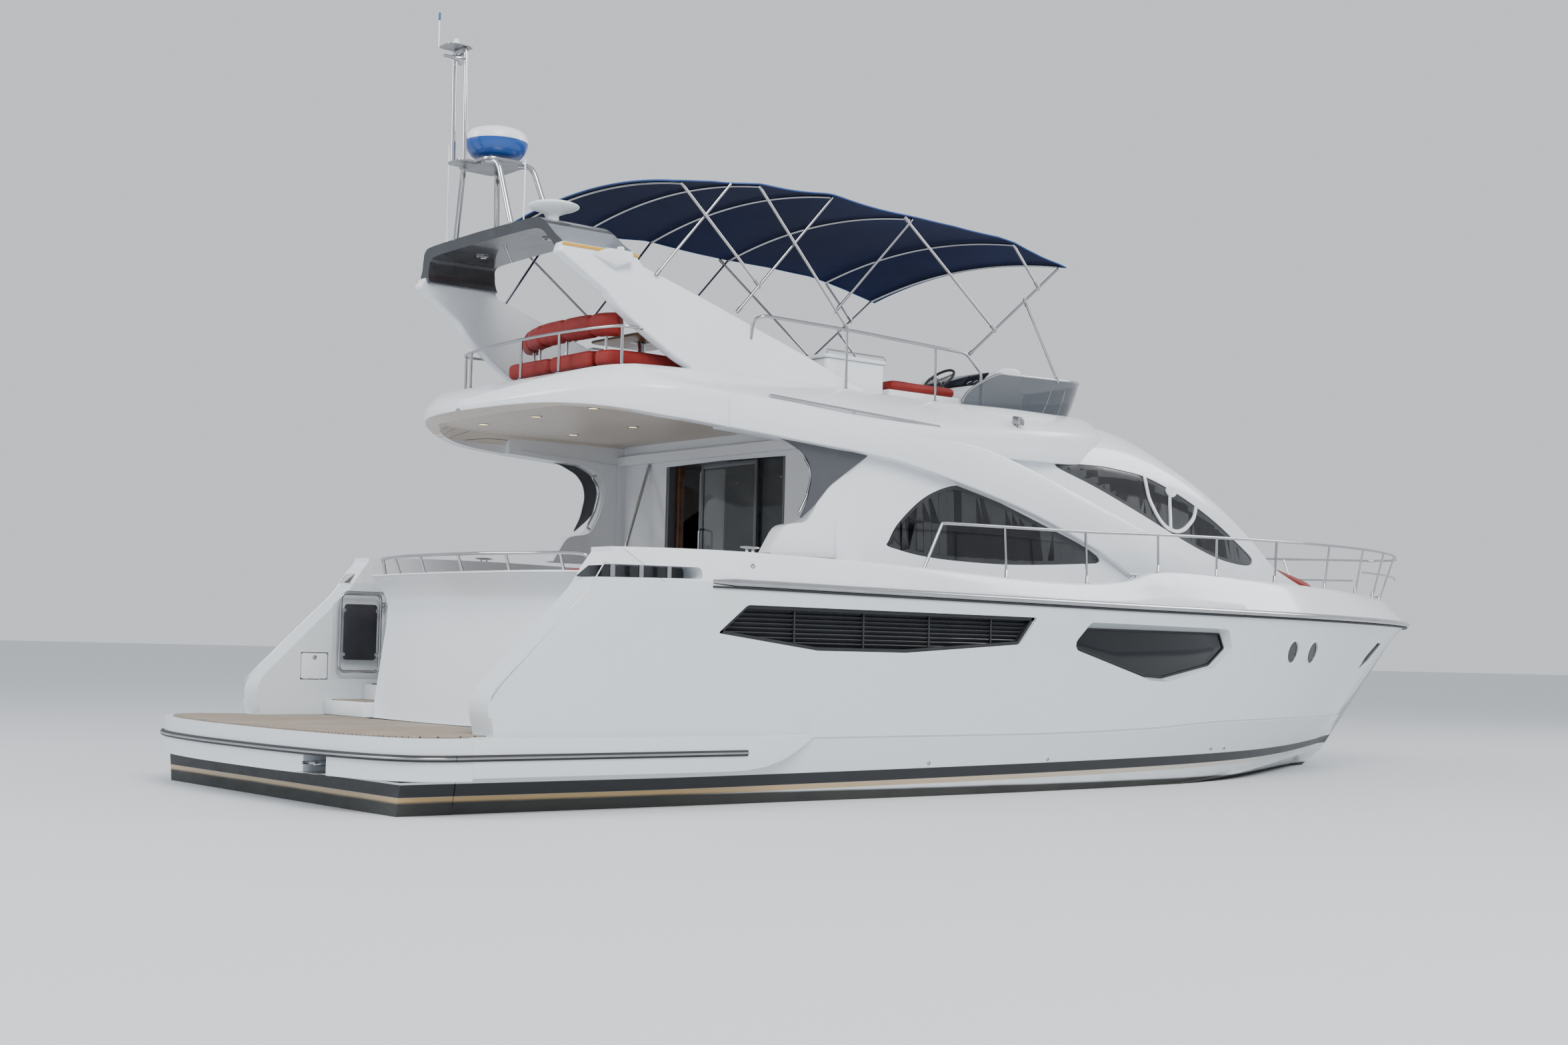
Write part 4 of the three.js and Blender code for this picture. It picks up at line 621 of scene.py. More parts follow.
# %% Cloth and upholstery
def canvas_cloth(name, colour):
    paint = Finish(name, sheen_weight=0.03, specular_ior_level=0.12)
    x, y, z = paint.axes()
    weave = (x * 2600.0).maths("SINE") * (y * 2600.0).maths("SINE")
    fade = paint.noise(0.9, detail=5).fade(0.25, 0.8)
    rub = paint.noise(24.0, (1, 0.15, 1), detail=3)
    tone = paint.blend(fade, rgb(*colour), dimmed(colour, 1.4, 0.001))
    return paint.wear(base_color=paint.blend(weave.fade(-0.6, 1.0) * 0.2, tone, rgb(0.012, 0.024, 0.085)),
                      roughness=0.78 + rub * 0.12,
                      normal=paint.bump(weave + rub * 2.0, 0.25, 0.0012))


def upholstery(name, colour):
    paint = Finish(name, sheen_weight=0.02, specular_ior_level=0.25)
    grain = paint.node("ShaderNodeTexVoronoi", {"feature": "DISTANCE_TO_EDGE"},
                       {"Vector": paint.at, "Scale": 420.0})
    worn = paint.noise(2.6, detail=5).fade(0.35, 0.8)
    creases = paint.noise(11.0, (1, 0.4, 1), detail=6, rough=0.65)
    tone = paint.blend(worn, rgb(*colour), dimmed(colour, 0.68))
    return paint.wear(base_color=paint.blend(creases.fade(0.5, 0.85) * 0.3, tone, rgb(0.36, 0.04, 0.03)),
                      roughness=0.40 + worn * 0.15 + creases * 0.08,
                      normal=paint.bump(grain * 1.5 + creases * 1.2, 0.35, 0.0025))


navy_cloth = canvas_cloth("navy canopy cloth", (0.0065, 0.013, 0.055))
navy_piping = canvas_cloth("light blue piping", (0.045, 0.09, 0.24))
red_seat = upholstery("red upholstery", (0.235, 0.014, 0.011))
print("finishes", len(bpy.data.materials))

# %% [markdown]
# ## The hull
# The real hull is moulded in one piece. It is drawn here as in a lines plan: for stations along the boat,
# the place of the keel, the chine, the knuckle, the sheer and the bulwark's top. A dense loft through them
# gives even reflections, and everything that a maker cuts out afterwards, such as the cockpit, the
# pockets and the windows, is cut with booleans, so each edge is crisp where the real one is.

# %% The hull's lines
# Each row is a station: its place, the keel's height, then how far out and how high the chine, the
# knuckle, the sheer and the bulwark's top are.
HULL = [
    (0, -760, 2250, -130, 2400, 560, 2460, 1990, 2390, 2200),
    (2400, -800, 2290, -130, 2410, 575, 2470, 1985, 2400, 2270),
    (4600, -840, 2300, -125, 2420, 585, 2475, 1968, 2400, 2240),
    (6600, -860, 2270, -100, 2410, 592, 2475, 1952, 2380, 2165),
    (7500, -860, 2220, -85, 2390, 605, 2470, 1945, 2370, 2165),
    (8100, -860, 2180, -70, 2370, 620, 2465, 1941, 2360, 2215),
    (8700, -855, 2140, -40, 2350, 635, 2455, 1938, 2340, 2330),
    (10000, -830, 2010, 10, 2270, 690, 2430, 1932, 2300, 2325),
    (11500, -760, 1740, 70, 2080, 712, 2290, 1928, 2140, 2300),
    (13000, -620, 1310, 130, 1700, 715, 1980, 1925, 1810, 2275),
    (14200, -460, 900, 170, 1260, 712, 1560, 1925, 1380, 2255),
    (15200, -290, 540, 200, 820, 708, 1080, 1927, 890, 2245),
    (16100, -120, 200, 225, 350, 703, 480, 1930, 330, 2235),
    (16670, -40, 30, 240, 30, 700, 30, 1932, 30, 2225),
]
BOW_FROM, SHEER_TIP = 8000, 16670
STEM = (14280, 14850, 15230, SHEER_TIP, 16330)
RECESS = 2330


def along_line(line, s):
    """Where a station lies on one of the five lines, which end at different places on the stem."""
    return s if s < BOW_FROM else BOW_FROM + (s - BOW_FROM) * (STEM[line] - BOW_FROM) / (SHEER_TIP - BOW_FROM)


def hull(k, s):
    return column(HULL, k, s)


def hull_station(s):
    keel = (along_line(0, s), 30, hull(1, s))
    chine = (along_line(1, s), hull(2, s), hull(3, s))
    knuckle = (along_line(2, s), hull(4, s), hull(5, s))
    sheer = (along_line(3, s), hull(6, s), hull(7, s))
    top = (along_line(4, s), hull(8, s), hull(9, s))
    flare = 60 * clamp((s - BOW_FROM) / 6000) ** 2
    knee = ((knuckle[0] + sheer[0]) / 2, max(30, (knuckle[1] + sheer[1]) / 2 - flare),
            (knuckle[2] + sheer[2]) / 2)
    groove = 15 * clamp((s - 3500) / 300) * clamp((SHEER_TIP - s) / 300)
    pull = tuple(2 * k - (a + b) / 2 for a, k, b in zip(knuckle, knee, sheer))
    line = [keel] + [between(keel, chine, t) for t in (0.35, 0.7)]
    line += [chine, (chine[0], chine[1] - min(25, chine[1] * 0.3), chine[2] + 14)]
    line += [between(chine, knuckle, t) for t in (0.35, 0.7)]
    x, y, z = knuckle
    line += [(x, y, z - 14), (x, y - groove, z - 7), (x, y - groove, z + 6), (x, y + 1, z + 14)]
    line += [bezier(knuckle, pull, sheer, t) for t in (0.2, 0.4, 0.6, 0.8)]
    line += [sheer] + [between(sheer, top, t) for t in (0.3, 0.6, 0.88)]
    dy = min(30, top[1] * 0.4)
    line += [(top[0], top[1] - dy * 0.15, top[2] - 8), (top[0], top[1] - dy * 0.5, top[2] - 1),
             (top[0], top[1] - dy, top[2])]
    return both_sides(line)


STATIONS, CROWDING = 170, 0.12
steps_along = [i / STATIONS for i in range(STATIONS + 1)]
stations = [SHEER_TIP * (t + CROWDING * math.sin(math.pi * t) * t) for t in steps_along]
hull_shape = loft("hull_shape", [hull_station(min(s, SHEER_TIP)) for s in stations])
print("hull loft", len(hull_shape.data.polygons))


# %% Outlines with rounded corners
def corner_arc(before, corner, after, radius, steps):
    ends = []
    for other in (before, after):
        length = max(math.dist(corner, other), 1e-6)
        ends.append(between(corner, other, min(radius, length * 0.45) / length))
    return [bezier(ends[0], corner, ends[1], k / steps) for k in range(steps + 1)]


def rounded(outline, radius, steps=4):
    smooth_line = []
    for i, corner in enumerate(outline):
        smooth_line += corner_arc(outline[i - 1], corner, outline[(i + 1) % len(outline)], radius, steps)
    return smooth_line


def winding(outline):
    area = sum(a[0] * b[1] - b[0] * a[1] for a, b in zip(outline, outline[1:] + outline[:1]))
    return 1 if area > 0 else -1


def offset(outline, by):
    side = winding(outline)
    moved = []
    for i, (x, z) in enumerate(outline):
        (ax, az), (bx, bz) = outline[i - 1], outline[(i + 1) % len(outline)]
        dx, dz = bx - ax, bz - az
        length = math.hypot(dx, dz) or 1
        moved.append((x + side * by * dz / length, z - side * by * dx / length))
    return moved


def tapered(name, inner, outer, y0, y1, side):
    return loft(name, [[(x, y0 * side, z) for x, z in inner], [(x, y1 * side, z) for x, z in outer]])


def through(name, outline, y0, y1, side):
    return tapered(name, outline, outline, y0, y1, side)


def rounded_block(name, axis, u0, u1, v0, v1, low, high, radius, steps=4):
    return prism(name, axis, rounded(box_plan(u0, u1, v0, v1), radius, steps), low, high)


def rim_ring(name, outline, width, low, high, place):
    """A flat frame of a given width inside an outline; place(a, b, t) puts a point of it in the boat."""
    inner = offset(outline, -width)
    rings = [[place(a, b, t) for a, b in edge] for edge, t in
             ((outline, low), (outline, high), (inner, high), (inner, low), (outline, low))]
    return loft(name, rings, capped=False)


# %% Cut out the cockpit, the decks and the stern
WING_EDGE = spline([(300, 630), (270, 950), (565, 1273), (906, 1609), (1180, 1875), (1330, 2090),
                    (1420, 2206)], 36)
QUARTER_CREASE = [(484, 632, 2400), (600, 820, 2412), (748, 1036, 2420), (1095, 1341, 2434),
                  (1500, 1640, 2446), (1955, 1946, 2458)]
DECK = 2110
COCKPIT_HALF = 2060

for side in (1, -1):
    facet = [[(x, (y + 12) * side, z), (x - 900, (y + 200) * side, z + 620),
              (x - 900, (y + 12 - 165) * side, z + 620)] for x, z, y in spline(QUARTER_CREASE, 20)]
    carve(hull_shape, loft("facet", facet))
carve(
    hull_shape,
    prism("wing cut", "y", WING_EDGE + [(1420, 3000), (-900, 3000), (-900, 630)], -3000, 3000),
    block("stern cut", -900, 1620, -COCKPIT_HALF, COCKPIT_HALF, 630, 3000),
    block("cockpit cut", 1600, 4400, -COCKPIT_HALF, COCKPIT_HALF, 1300, 3000),
    block("stair cut", 1600, 2731, 1200, COCKPIT_HALF, 630, 3000),
    prism("saloon cut", "z", mirrored([(4390, 1850), (8600, 1800), (10400, 1400)]), 1350, 3000),
    block("engine room", 2850, 5600, -1500, 1500, -240, 1180),
    block("hatchway", 3050, 3750, -350, 350, 1100, 1400),
)
deck_stations = [4600 + i * (15700 - 4600) / 60 for i in range(61)]
deck_half = [(along_line(4, s), hull(8, s) - 110) for s in deck_stations]
carve(hull_shape, prism("deck cut", "z", mirrored(deck_half), DECK, 3000))
carve(hull_shape, block("locker", 706, 1006, 2050, 2310, 990, 1265),
      block("gate recess", 1040, 1640, 2050, 2105, 1000, 1900))
print("hull after cuts", len(hull_shape.data.polygons))


# %% [markdown]
# The topsides hold a long louvred panel, a faceted window, two portholes and a small window near the bow.
# On the real hull each sits in a moulded recess with sloping sides, so each cutter here is wider outside.

# %% Recesses in the topsides
LOUVRE_CORNERS = [(2532, 1529), (2855, 1790), (6604, 1780), (6362, 1502), (4804, 1392), (3698, 1392)]
LOUVRE = rounded(LOUVRE_CORNERS, 34)
HULL_WINDOW = rounded([(7250, 1510), (7450, 1690), (9730, 1687), (9810, 1523), (9540, 1330), (8742, 1180),
                       (8460, 1195)], 20)
BOW_WINDOW = rounded([(13830, 1310), (13870, 1480), (14080, 1660), (14330, 1655), (14130, 1430)], 22)
POCKET = rounded([(1186, 1979), (2345, 2002), (2336, 2104), (1337, 2096)], 40)
PORTHOLES = [(11200, 1500), (11720, 1500)]
PORTHOLE_R = 130


for side in (1, -1):
    carve(hull_shape,
          through("louvre recess", LOUVRE, RECESS, 2600, side),
          tapered("window recess", HULL_WINDOW, offset(HULL_WINDOW, 70), RECESS - 60, 2480, side),
          through("bow window", BOW_WINDOW, 800, 2200, side),
          through("pocket", POCKET, 2160, 2600, side))
    for place in PORTHOLES:
        carve(hull_shape, through("porthole", circle(PORTHOLE_R, 40, place), 1800, 2600, side))
print("hull with recesses", len(hull_shape.data.polygons))


# %% Which faces are deck, lining or topside
def paint_by(made, paints, choose):
    made.data.materials.clear()
    for paint in paints:
        made.data.materials.append(paint)
    for face in made.data.polygons:
        c = face.center
        face.material_index = choose(c.x * 1000 + AMIDSHIPS, c.y * 1000, c.z * 1000, face.normal)


def hull_faces(x, y, z, n):
    """0 is the painted topside, 1 the deck, 2 the lining of the saloon and the engine room, in gelcoat
    darkened as painted shade.
    """
    if n.z > 0.9 and abs(z - DECK) < 4 and x > 4600:
        return 1
    if 4400 < x < 10400 and abs(y) < 1852 and 1345 < z < DECK - 2:
        return 2
    near_engines = 2840 < x < 5610 and abs(y) < 1510 and -250 < z < 1290
    walls = (abs(y) - 1500, z + 240, z - 1180, x - 2850, x - 5600)
    return 2 if near_engines and min(abs(gap) for gap in walls) < 5 else 0


paint_by(hull_shape, [hull_gelcoat, non_slip, gelcoat_painted_shade], hull_faces)
dress(hull_shape, None, replaces=("hull",), crease=28)
SPONSON = [(-2, 2600), (2800, 2570), (3300, 2520), (3700, 2440), (3700, 2300), (-2, 2300)]
SPONSON_RISE = [(2500, 309), (2800, 316), (3050, 345), (3250, 400), (3450, 480), (3600, 555), (3705, 618),
                (3705, 200), (2500, 200)]
for side, where in SIDES:
    sponson = prism(f"sponson_{where}", "z", [(x, y * side) for x, y in SPONSON], 310, 620)
    carve(sponson, prism("rise", "y", SPONSON_RISE, -2700, 2700))
    dress(sponson, hull_gelcoat, round_off=12, steps=3)
underbody = loft("underbody_aft", [
    both_sides([(x, 30, -760), (x, 2250, -130), (x, 2300, 150), (x, 2330, 272)]) for x in (-500, 2)])
dress(underbody, hull_gelcoat)

# %% [markdown]
# Below the water each shaft runs through a strut. The mooring pockets have posts to take a line round. The
# rub rail is a half-round bar of stainless that follows the sheer from the quarters right round the bow.

# %% Struts, pocket posts and the gate's hinge lugs
PROPELLER = Vector((950, 820, -940))
SHAFT_END = (3500, -526)
HINGE_HEIGHTS = (1200, 1750)


def shaft_height(x):
    return PROPELLER.z + (x - PROPELLER.x) * (SHAFT_END[1] - PROPELLER.z) / (SHAFT_END[0] - PROPELLER.x)


def on_shaft(x, y, radius):
    return [(x, y + u, shaft_height(x) + v) for u, v in circle(radius, 24)]


for side, where in SIDES:
    y = PROPELLER.y * side
    foil = [(1120 + 160 * (0.5 - 0.5 * math.cos(math.pi * k / 8)), w) for k, w in
            enumerate((0, 7, 11, 12, 12, 11, 8, 4, 0))]
    blade = [(x, y + w) for x, w in foil] + [(x, y - w) for x, w in reversed(foil[1:-1])]
    strut = prism("strut", "z", blade, -900, -500)
    barrel = loft("barrel", [on_shaft(x, y, r) for x, r in ((1078, 46), (1090, 58), (1290, 60), (1302, 46))])
    carve(barrel, loft("bore", [on_shaft(x, y, 37) for x in (1000, 1400)]))
    dress(joined(f"shaft_strut_{where}", [strut, barrel]), bronze)
    posts = [lathe("post", [(40, 1984), (40, 1990), (26, 1997), (26, 2100), (34, 2104)], (x, 2280 * side, 0))
             for x in (1500, 1800, 2100)]
    dress(joined(f"pocket_posts_{where}", posts), steel)
    # The dark plate at the back of each pocket is painted shade deep in the recess.
    back = through(f"pocket_back_{where}", offset(POCKET, -3), 2160.5, 2172, side)
    dress(back, painted_shade_grey)
lugs = [lathe("lug", [(13, 0), (13, 24)], (1620, 2030, z + 21), steps=20) for z in HINGE_HEIGHTS]
lugs += [block("plate", 1612, 1628, 2036, 2112, z + 21, z + 45) for z in HINGE_HEIGHTS]
dress(joined("gate_hinge_lugs", lugs), steel, round_off=2)

# %% The rub rail and the rubber seal under it
# A section's points are how far out from the sheer, and how high.
RUB_SECTION = [(-30, -34), (6, -35), (18, -32), (31, -24), (41, -12), (45, 0), (41, 12), (31, 24), (18, 32),
               (6, 35), (-30, 34)]
SEAL_SECTION = [(-30, -56), (12, -54), (17, -47), (17, -38), (-30, -36)]
RUB_FROM, RUB_TO = 2450, 16560


def rub_ring(s, section, growth):
    """A section set square to the sheer in plan; it swells from a small end."""
    ahead = min(s + 60, SHEER_TIP)
    turn = math.atan2(hull(6, s - 60) - hull(6, ahead), ahead - s + 60)
    y, z, tall = hull(6, s), hull(7, s), 0.4 + 0.6 * growth
    return [(s + (o * growth) * math.sin(turn), max(0, y + (o * growth) * math.cos(turn)), z + h * tall)
            for o, h in section]


def swell(s):
    return min(1.0, 0.25 + (s - RUB_FROM) / 60)


rail_xs = [RUB_FROM + (RUB_TO - RUB_FROM) * (i / 90) ** 0.9 for i in range(91)]
rub_rings = [rub_ring(s, RUB_SECTION, swell(s)) for s in rail_xs]
tip = [[(SHEER_TIP + o * math.cos(b), 110 * math.sin(b), 1931 + h) for o, h in RUB_SECTION]
       for b in (math.radians(25), 0.0)]
whole = rub_rings + tip + [[(x, -y, z) for x, y, z in ring] for ring in reversed(rub_rings + tip[:1])]
dress(loft("rub_rail_shape", whole), steel, replaces=("rub_rail",), crease=50)
seal_rings = [rub_ring(s, SEAL_SECTION, 1.0) for s in rail_xs]
seals = [loft("seal", [[(x, y * side, z) for x, y, z in ring] for ring in seal_rings]) for side in (1, -1)]
dress(joined("rub_rail_seal", seals), rubber, crease=50)

# %% [markdown]
# ## The deckhouse
# The deckhouse is a hollow moulding that leans inboard as it rises and sweeps down to the foredeck. Its
# ring at each station bends through a wall, a shoulder and a crown; a spline through those points gives
# the roof its soft camber. The same rings, a little smaller, give the inner wall and the panes of glass,
# so the glass always follows the moulding.

# %% The deckhouse's lines
# Each row is a station, then how far out its base is, how far out and how high the wall's top, the
# shoulder and the crown are, and how high the roof is on the centreline.
HOUSE = [
    (4300, 1990, 1930, 3380, 1880, 3480, 1500, 3500, 3500),
    (6500, 1990, 1920, 3400, 1860, 3490, 1500, 3510, 3510),
    (7400, 1980, 1860, 3460, 1800, 3530, 1500, 3560, 3570),
    (8000, 1965, 1790, 3560, 1700, 3720, 1400, 3860, 3920),
    (8700, 1930, 1700, 3610, 1530, 3840, 1150, 4020, 4100),
    (9350, 1880, 1640, 3560, 1440, 3790, 1000, 3980, 4080),
    (9950, 1810, 1600, 3430, 1390, 3620, 950, 3790, 3890),
    (10500, 1740, 1560, 3240, 1350, 3410, 900, 3570, 3670),
    (11000, 1650, 1500, 3030, 1290, 3190, 850, 3350, 3450),
    (11500, 1550, 1420, 2800, 1210, 2950, 800, 3110, 3210),
    (12100, 1400, 1280, 2520, 1080, 2660, 720, 2790, 2870),
    (12700, 1220, 1100, 2390, 930, 2500, 620, 2590, 2650),
    (13500, 920, 800, 2290, 660, 2370, 440, 2440, 2490),
    (14300, 560, 460, 2210, 370, 2260, 240, 2300, 2330),
    (15000, 180, 130, 2130, 100, 2140, 60, 2150, 2155),
]
HOUSE_BASE = DECK + 0.3


def house_ring(x, inset):
    base_y, wall_y, wall_z, shoulder_y, shoulder_z, crown_y, crown_z, mid_z = (
        column(HOUSE, k, x) for k in range(1, 9))
    base = (base_y - inset, HOUSE_BASE - (60 if inset > 0 else 0))
    wall = (wall_y - inset, wall_z - inset / 2)
    bend = [wall, (shoulder_y - inset * 0.7, shoulder_z - inset * 0.8),
            (crown_y - inset * 0.2, crown_z - inset), (20, mid_z - inset)]
    half = [between(base, wall, t) for t in (0, 0.25, 0.5, 0.75)]
    half += spline([half[-1]] + bend, 24)[1:]
    return both_sides([(x, y, z) for y, z in half])


def house_loft(name, inset, low=4300, high=15000, steps=100):
    return loft(name, [house_ring(low + (high - low) * i / steps, inset) for i in range(steps + 1)])


SIDE_WINDOW = spline([(4975, 2480), (5120, 2680), (5471, 2953), (5862, 3100), (6138, 3090), (6574, 2975)], 30)
SIDE_WINDOW += spline([(6574, 2975), (7251, 2780), (7860, 2600), (8120, 2490)], 14)[1:]
SIDE_WINDOW += spline([(8120, 2490), (8150, 2445), (8110, 2418), (7950, 2400), (6809, 2335), (5943, 2335),
                       (5404, 2366), (5060, 2420), (4975, 2440), (4955, 2458), (4975, 2480)], 40)[1:-1]
QUARTER_WINDOW = spline([(7500, 3430), (7540, 3470), (8250, 3500), (8620, 3490), (9130, 3450), (9640, 3330),
                         (10100, 3180), (10600, 2980), (11000, 2800), (11300, 2660), (11360, 2590),
                         (11250, 2535), (10850, 2540), (10380, 2600), (9700, 2780), (8900, 3040),
                         (8200, 3250), (7600, 3395), (7500, 3430)], 90)[:-1]
SCREEN_PLAN = rounded(mirrored([(9800, 830), (10700, 940), (11500, 830), (11700, 400)]), 110)
PILLAR = rounded([(4420, 3400), (3000, 3480), (3500, 3440), (3800, 3390), (4020, 3310), (4120, 3200),
                  (4140, 3070), (4080, 2840), (3960, 2620), (3660, 2580), (3500, 2330), (3480, 2290),
                  (4420, 2290)], 90, 3)
DOORWAY = (-1050, 1000)
LINTEL_Z = 3400

shell = house_loft("deckhouse_shell", 0)
carve(shell, house_loft("inner wall", 60, 4500, 12300),
      prism("roof screen", "z", SCREEN_PLAN, 2700, 4300),
      block("doorway", 4300, 4620, *DOORWAY, 1150, LINTEL_Z))
for side in (1, -1):
    carve(shell, through("side window", SIDE_WINDOW, 1000, 2300, side),
          through("quarter window", QUARTER_WINDOW, 1000, 2300, side))
carve(shell, block("cockpit end", 4000, 4400, -1780, 1780, 1000, 3400))


def house_faces(x, y, z, n):
    """1 is the lining: the faces inside the moulding that look inboard."""
    inside = abs(y) < min(column(HOUSE, 2, x) - 30, column(HOUSE, 1, x) - 45)
    return 1 if 4460 < x < 12300 and inside and n.z < 0.6 and z < LINTEL_Z and n.y * y < 0 else 0


paint_by(shell, [white, headlining], house_faces)
dress(shell, None, replaces=("deckhouse",), crease=32)
for side, where in SIDES:
    pillar = through(f"cockpit_pillar_{where}", PILLAR, 1790, 1960, side)
    dress(pillar, white, round_off=22, steps=3)
wall_parts = [block("wall", 4402, 4460, y0, y1, z0, 3420) for y0, y1, z0 in
              ((-1900, DOORWAY[0], 1352), (DOORWAY[1], 1900, 1352), (*DOORWAY, LINTEL_Z))]
# The bulkhead is in the darker gelcoat that stands for painted shade.
dress(joined("saloon_bulkhead", wall_parts), gelcoat_painted_shade, round_off=6)
print("deckhouse", len(shell.data.polygons))

# %% [markdown]
# Each pane is cut from a thin skin that lies just inside the moulding, and a black printed border hides
# the glue along its edge, as on real bonded glass.

# %% Panes with their black borders
def house_skin(name, front, back, field, low=4300, high=15000, steps=100):
    """The part of a thin skin, between two insets of the moulding, that lies in a field."""
    skin = house_loft(name, front, low, high, steps)
    carve(skin, house_loft("back", back, low - 10, high + 10, steps))
    return shaped(skin, field, "INTERSECT")


def pane(name, outline, axis, border, side=1):
    reach = (2700, 4300) if axis == "z" else sorted((1000 * side, 2300 * side))
    glass = house_skin(f"{name}_glass", 18, 26, prism("field", axis, outline, *reach))
    frit = house_skin(f"{name}_border", 12, 17.5, prism("field", axis, outline, *reach))
    carve(frit, prism("clear", axis, offset(outline, -border), *reach))
    dress(glass, window_glass, replaces=(name,), crease=40)
    dress(frit, gloss_black, crease=40)


for side, where in SIDES:
    pane(f"side_window_{where}", SIDE_WINDOW, "y", 42, side)
    pane(f"quarter_window_{where}", QUARTER_WINDOW, "y", 45, side)
pane("windscreen", SCREEN_PLAN, "z", 60)
middle_bar = block("field", 9750, 11750, -45, 45, 2700, 4300)
dress(house_skin("windscreen_mullion", 8, 24, middle_bar), white)

# %% [markdown]
# ## The flybridge
# The upper deck is one moulding: its overhang ends in a half-round, its fascia leans in to a crease, and
# a slope climbs to the coaming. On each side a broad band leaves the fascia and sweeps down to the side
# deck. The underside over the cockpit is hollowed and lined, so the cutter there slopes inwards.

# %% The flybridge's lines
# Each row is a station, then the underside's share of the half beam, the underside's height, how far out
# the coaming is, and how high the coaming and the crease are.
FLY_APEX, FLY_ROUND, FLY_HALF, FLY_SOLE = 1230, 1500, 2050, 3720
FLY = [
    (1230, 1, 3590, 1600, 3680, 3640), (1450, 1, 3602, 1600, 3800, 3690), (1700, 1, 3580, 1600, 3900, 3735),
    (1950, 1, 3540, 1600, 3965, 3760), (2300, 1, 3483, 1600, 3990, 3768), (2900, 1, 3432, 1600, 4005, 3745),
    (3600, 1, 3392, 1600, 4010, 3713), (4600, 1, 3330, 1600, 4010, 3648), (5850, 1, 3400, 1595, 4005, 3660),
    (7000, 0.98, 3440, 1560, 4035, 3760), (7800, 0.9, 3470, 1480, 4050, 3815),
    (8400, 0.8, 3560, 1340, 4070, 3845), (8800, 0.66, 3700, 1130, 4080, 3855),
]


def fly_half(x):
    t = clamp((FLY_APEX + FLY_ROUND - x) / FLY_ROUND)
    return FLY_HALF * (1 - t ** 2.1) ** (1 / 1.8)


def coaming_half(x):
    return max(5, min(fly_half(x) - 300, column(FLY, 3, x)))


def fly_ring(x):
    low_y = max(4, fly_half(x) * column(FLY, 1, x))
    low_z, top_z, crease = (column(FLY, k, x) for k in (2, 4, 5))
    crease = max(low_z + 40, crease)
    edge_y, rim = max(6, low_y + 10), coaming_half(x)
    soft = min(28, low_y * 0.3)
    middle_z = min(3620, low_z + 30)
    half = [(3, middle_z), (low_y * 0.5, (middle_z + low_z) / 2), (low_y - soft, low_z + 1),
            (low_y - soft * 0.3, low_z + 6), (low_y + 1, low_z + soft * 0.8)]
    half += [between((low_y, low_z), (edge_y, crease), t) for t in (0.3, 0.5, 0.7)]
    half += [(edge_y, crease - soft * 0.6), (edge_y - soft * 0.25, crease - soft * 0.1)]
    bow = min(26, (top_z - crease) * 0.12)
    for t in (0.08, 0.2, 0.4, 0.6, 0.8, 0.93):
        y, z = between((edge_y, crease), (rim, top_z), t)
        half.append((y, z + bow * math.sin(math.pi * t)))
    half += [(rim, top_z + 2), (rim - min(40, rim * 0.3), top_z + 4)]
    return both_sides([(x, y, z) for y, z in half])


fly_xs = [FLY_APEX + 2 + (8800 - FLY_APEX - 2) * (i / 130) ** 1.6 for i in range(131)]
fly_shell = loft("flybridge_shell", [fly_ring(x) for x in fly_xs])
well_xs = [2060, 2070, 2090, 2120, 2150, 2200, 2260, 2350, 2450, 2570, 2700, 2900, 3400, 4000, 4600, 5200,
           5700, 6200, 6600, 7000, 7300, 7600]
well = mirrored([(x, coaming_half(x) - 230) for x in well_xs])
carve(fly_shell, prism("well", "z", well, FLY_SOLE, 4500))
under_xs = [1620, 1640, 1680, 1740, 1820, 1920, 2050, 2200, 2400, 2650, 3000, 3500, 4000, 4398]
under_low = mirrored([(x, fly_half(x) - 150) for x in under_xs])
under_high = mirrored([(x + (60 if x < 1900 else 0), max(40, fly_half(x) - 260)) for x in under_xs])
hollow = [[(x, y, z) for x, y in plan] for plan, z in
          ((under_low, 3300), (under_low, 3530), (under_high, 3618))]
carve(fly_shell, loft("ceiling", hollow), house_loft("over the house", -1, 4400))


def fly_faces(x, y, z, n):
    """0 is the moulding, 1 the well's floor, 2 the lining over the cockpit."""
    if n.z > 0.9 and abs(z - FLY_SOLE) < 4:
        return 1
    return 2 if x < 4400 and n.z < -0.25 and z > 3525 and abs(y) < fly_half(x) - 100 else 0


paint_by(fly_shell, [white, teak_deck, headlining], fly_faces)
dress(fly_shell, None, replaces=("flybridge",), crease=38)
print("flybridge", len(fly_shell.data.polygons))

# %% The bands that sweep down to the side decks
BAND_TOP = [(2900, 3745), (3600, 3712), (4300, 3668), (5465, 3583), (6310, 3490), (7200, 3270), (8145, 3006),
            (8890, 2789), (9700, 2480), (10300, 2230)]
BAND_LOW = [(2900, 3432), (3350, 3405), (3950, 3366), (4670, 3318), (5370, 3225), (6760, 2930), (7870, 2600),
            (8300, 2440), (8800, 2200)]
BAND_PLAN = [(2890, 2066), (7000, 2046), (8200, 1990), (9300, 1930), (10500, 1790)]


def band_out(x):
    return column(BAND_PLAN, 1, x)


BAND_DEEP, BAND_SOFT = 250, 16
BAND_FOOT = {"ahead": 10440, "aft": 8930, "z": 2112}


def band_ring(top, low):
    """Across the band, from its upper inner edge round the outside to its lower inner edge."""
    soft, ring = BAND_SOFT, []
    for inward, drop in ((BAND_DEEP, 0), (soft, 0), (soft * 0.3, soft * 0.3), (0, soft)):
        ring.append((top[0], band_out(top[0]) - inward, top[1] - drop))
    middle = (top[0] + low[0]) / 2
    ring.append((middle, band_out(middle) + 1, (top[1] + low[1]) / 2))
    for inward, lift in ((0, soft), (soft * 0.3, soft * 0.3), (soft, 0), (BAND_DEEP, 0)):
        ring.append((low[0], band_out(low[0]) - inward, low[1] + lift))
    return ring


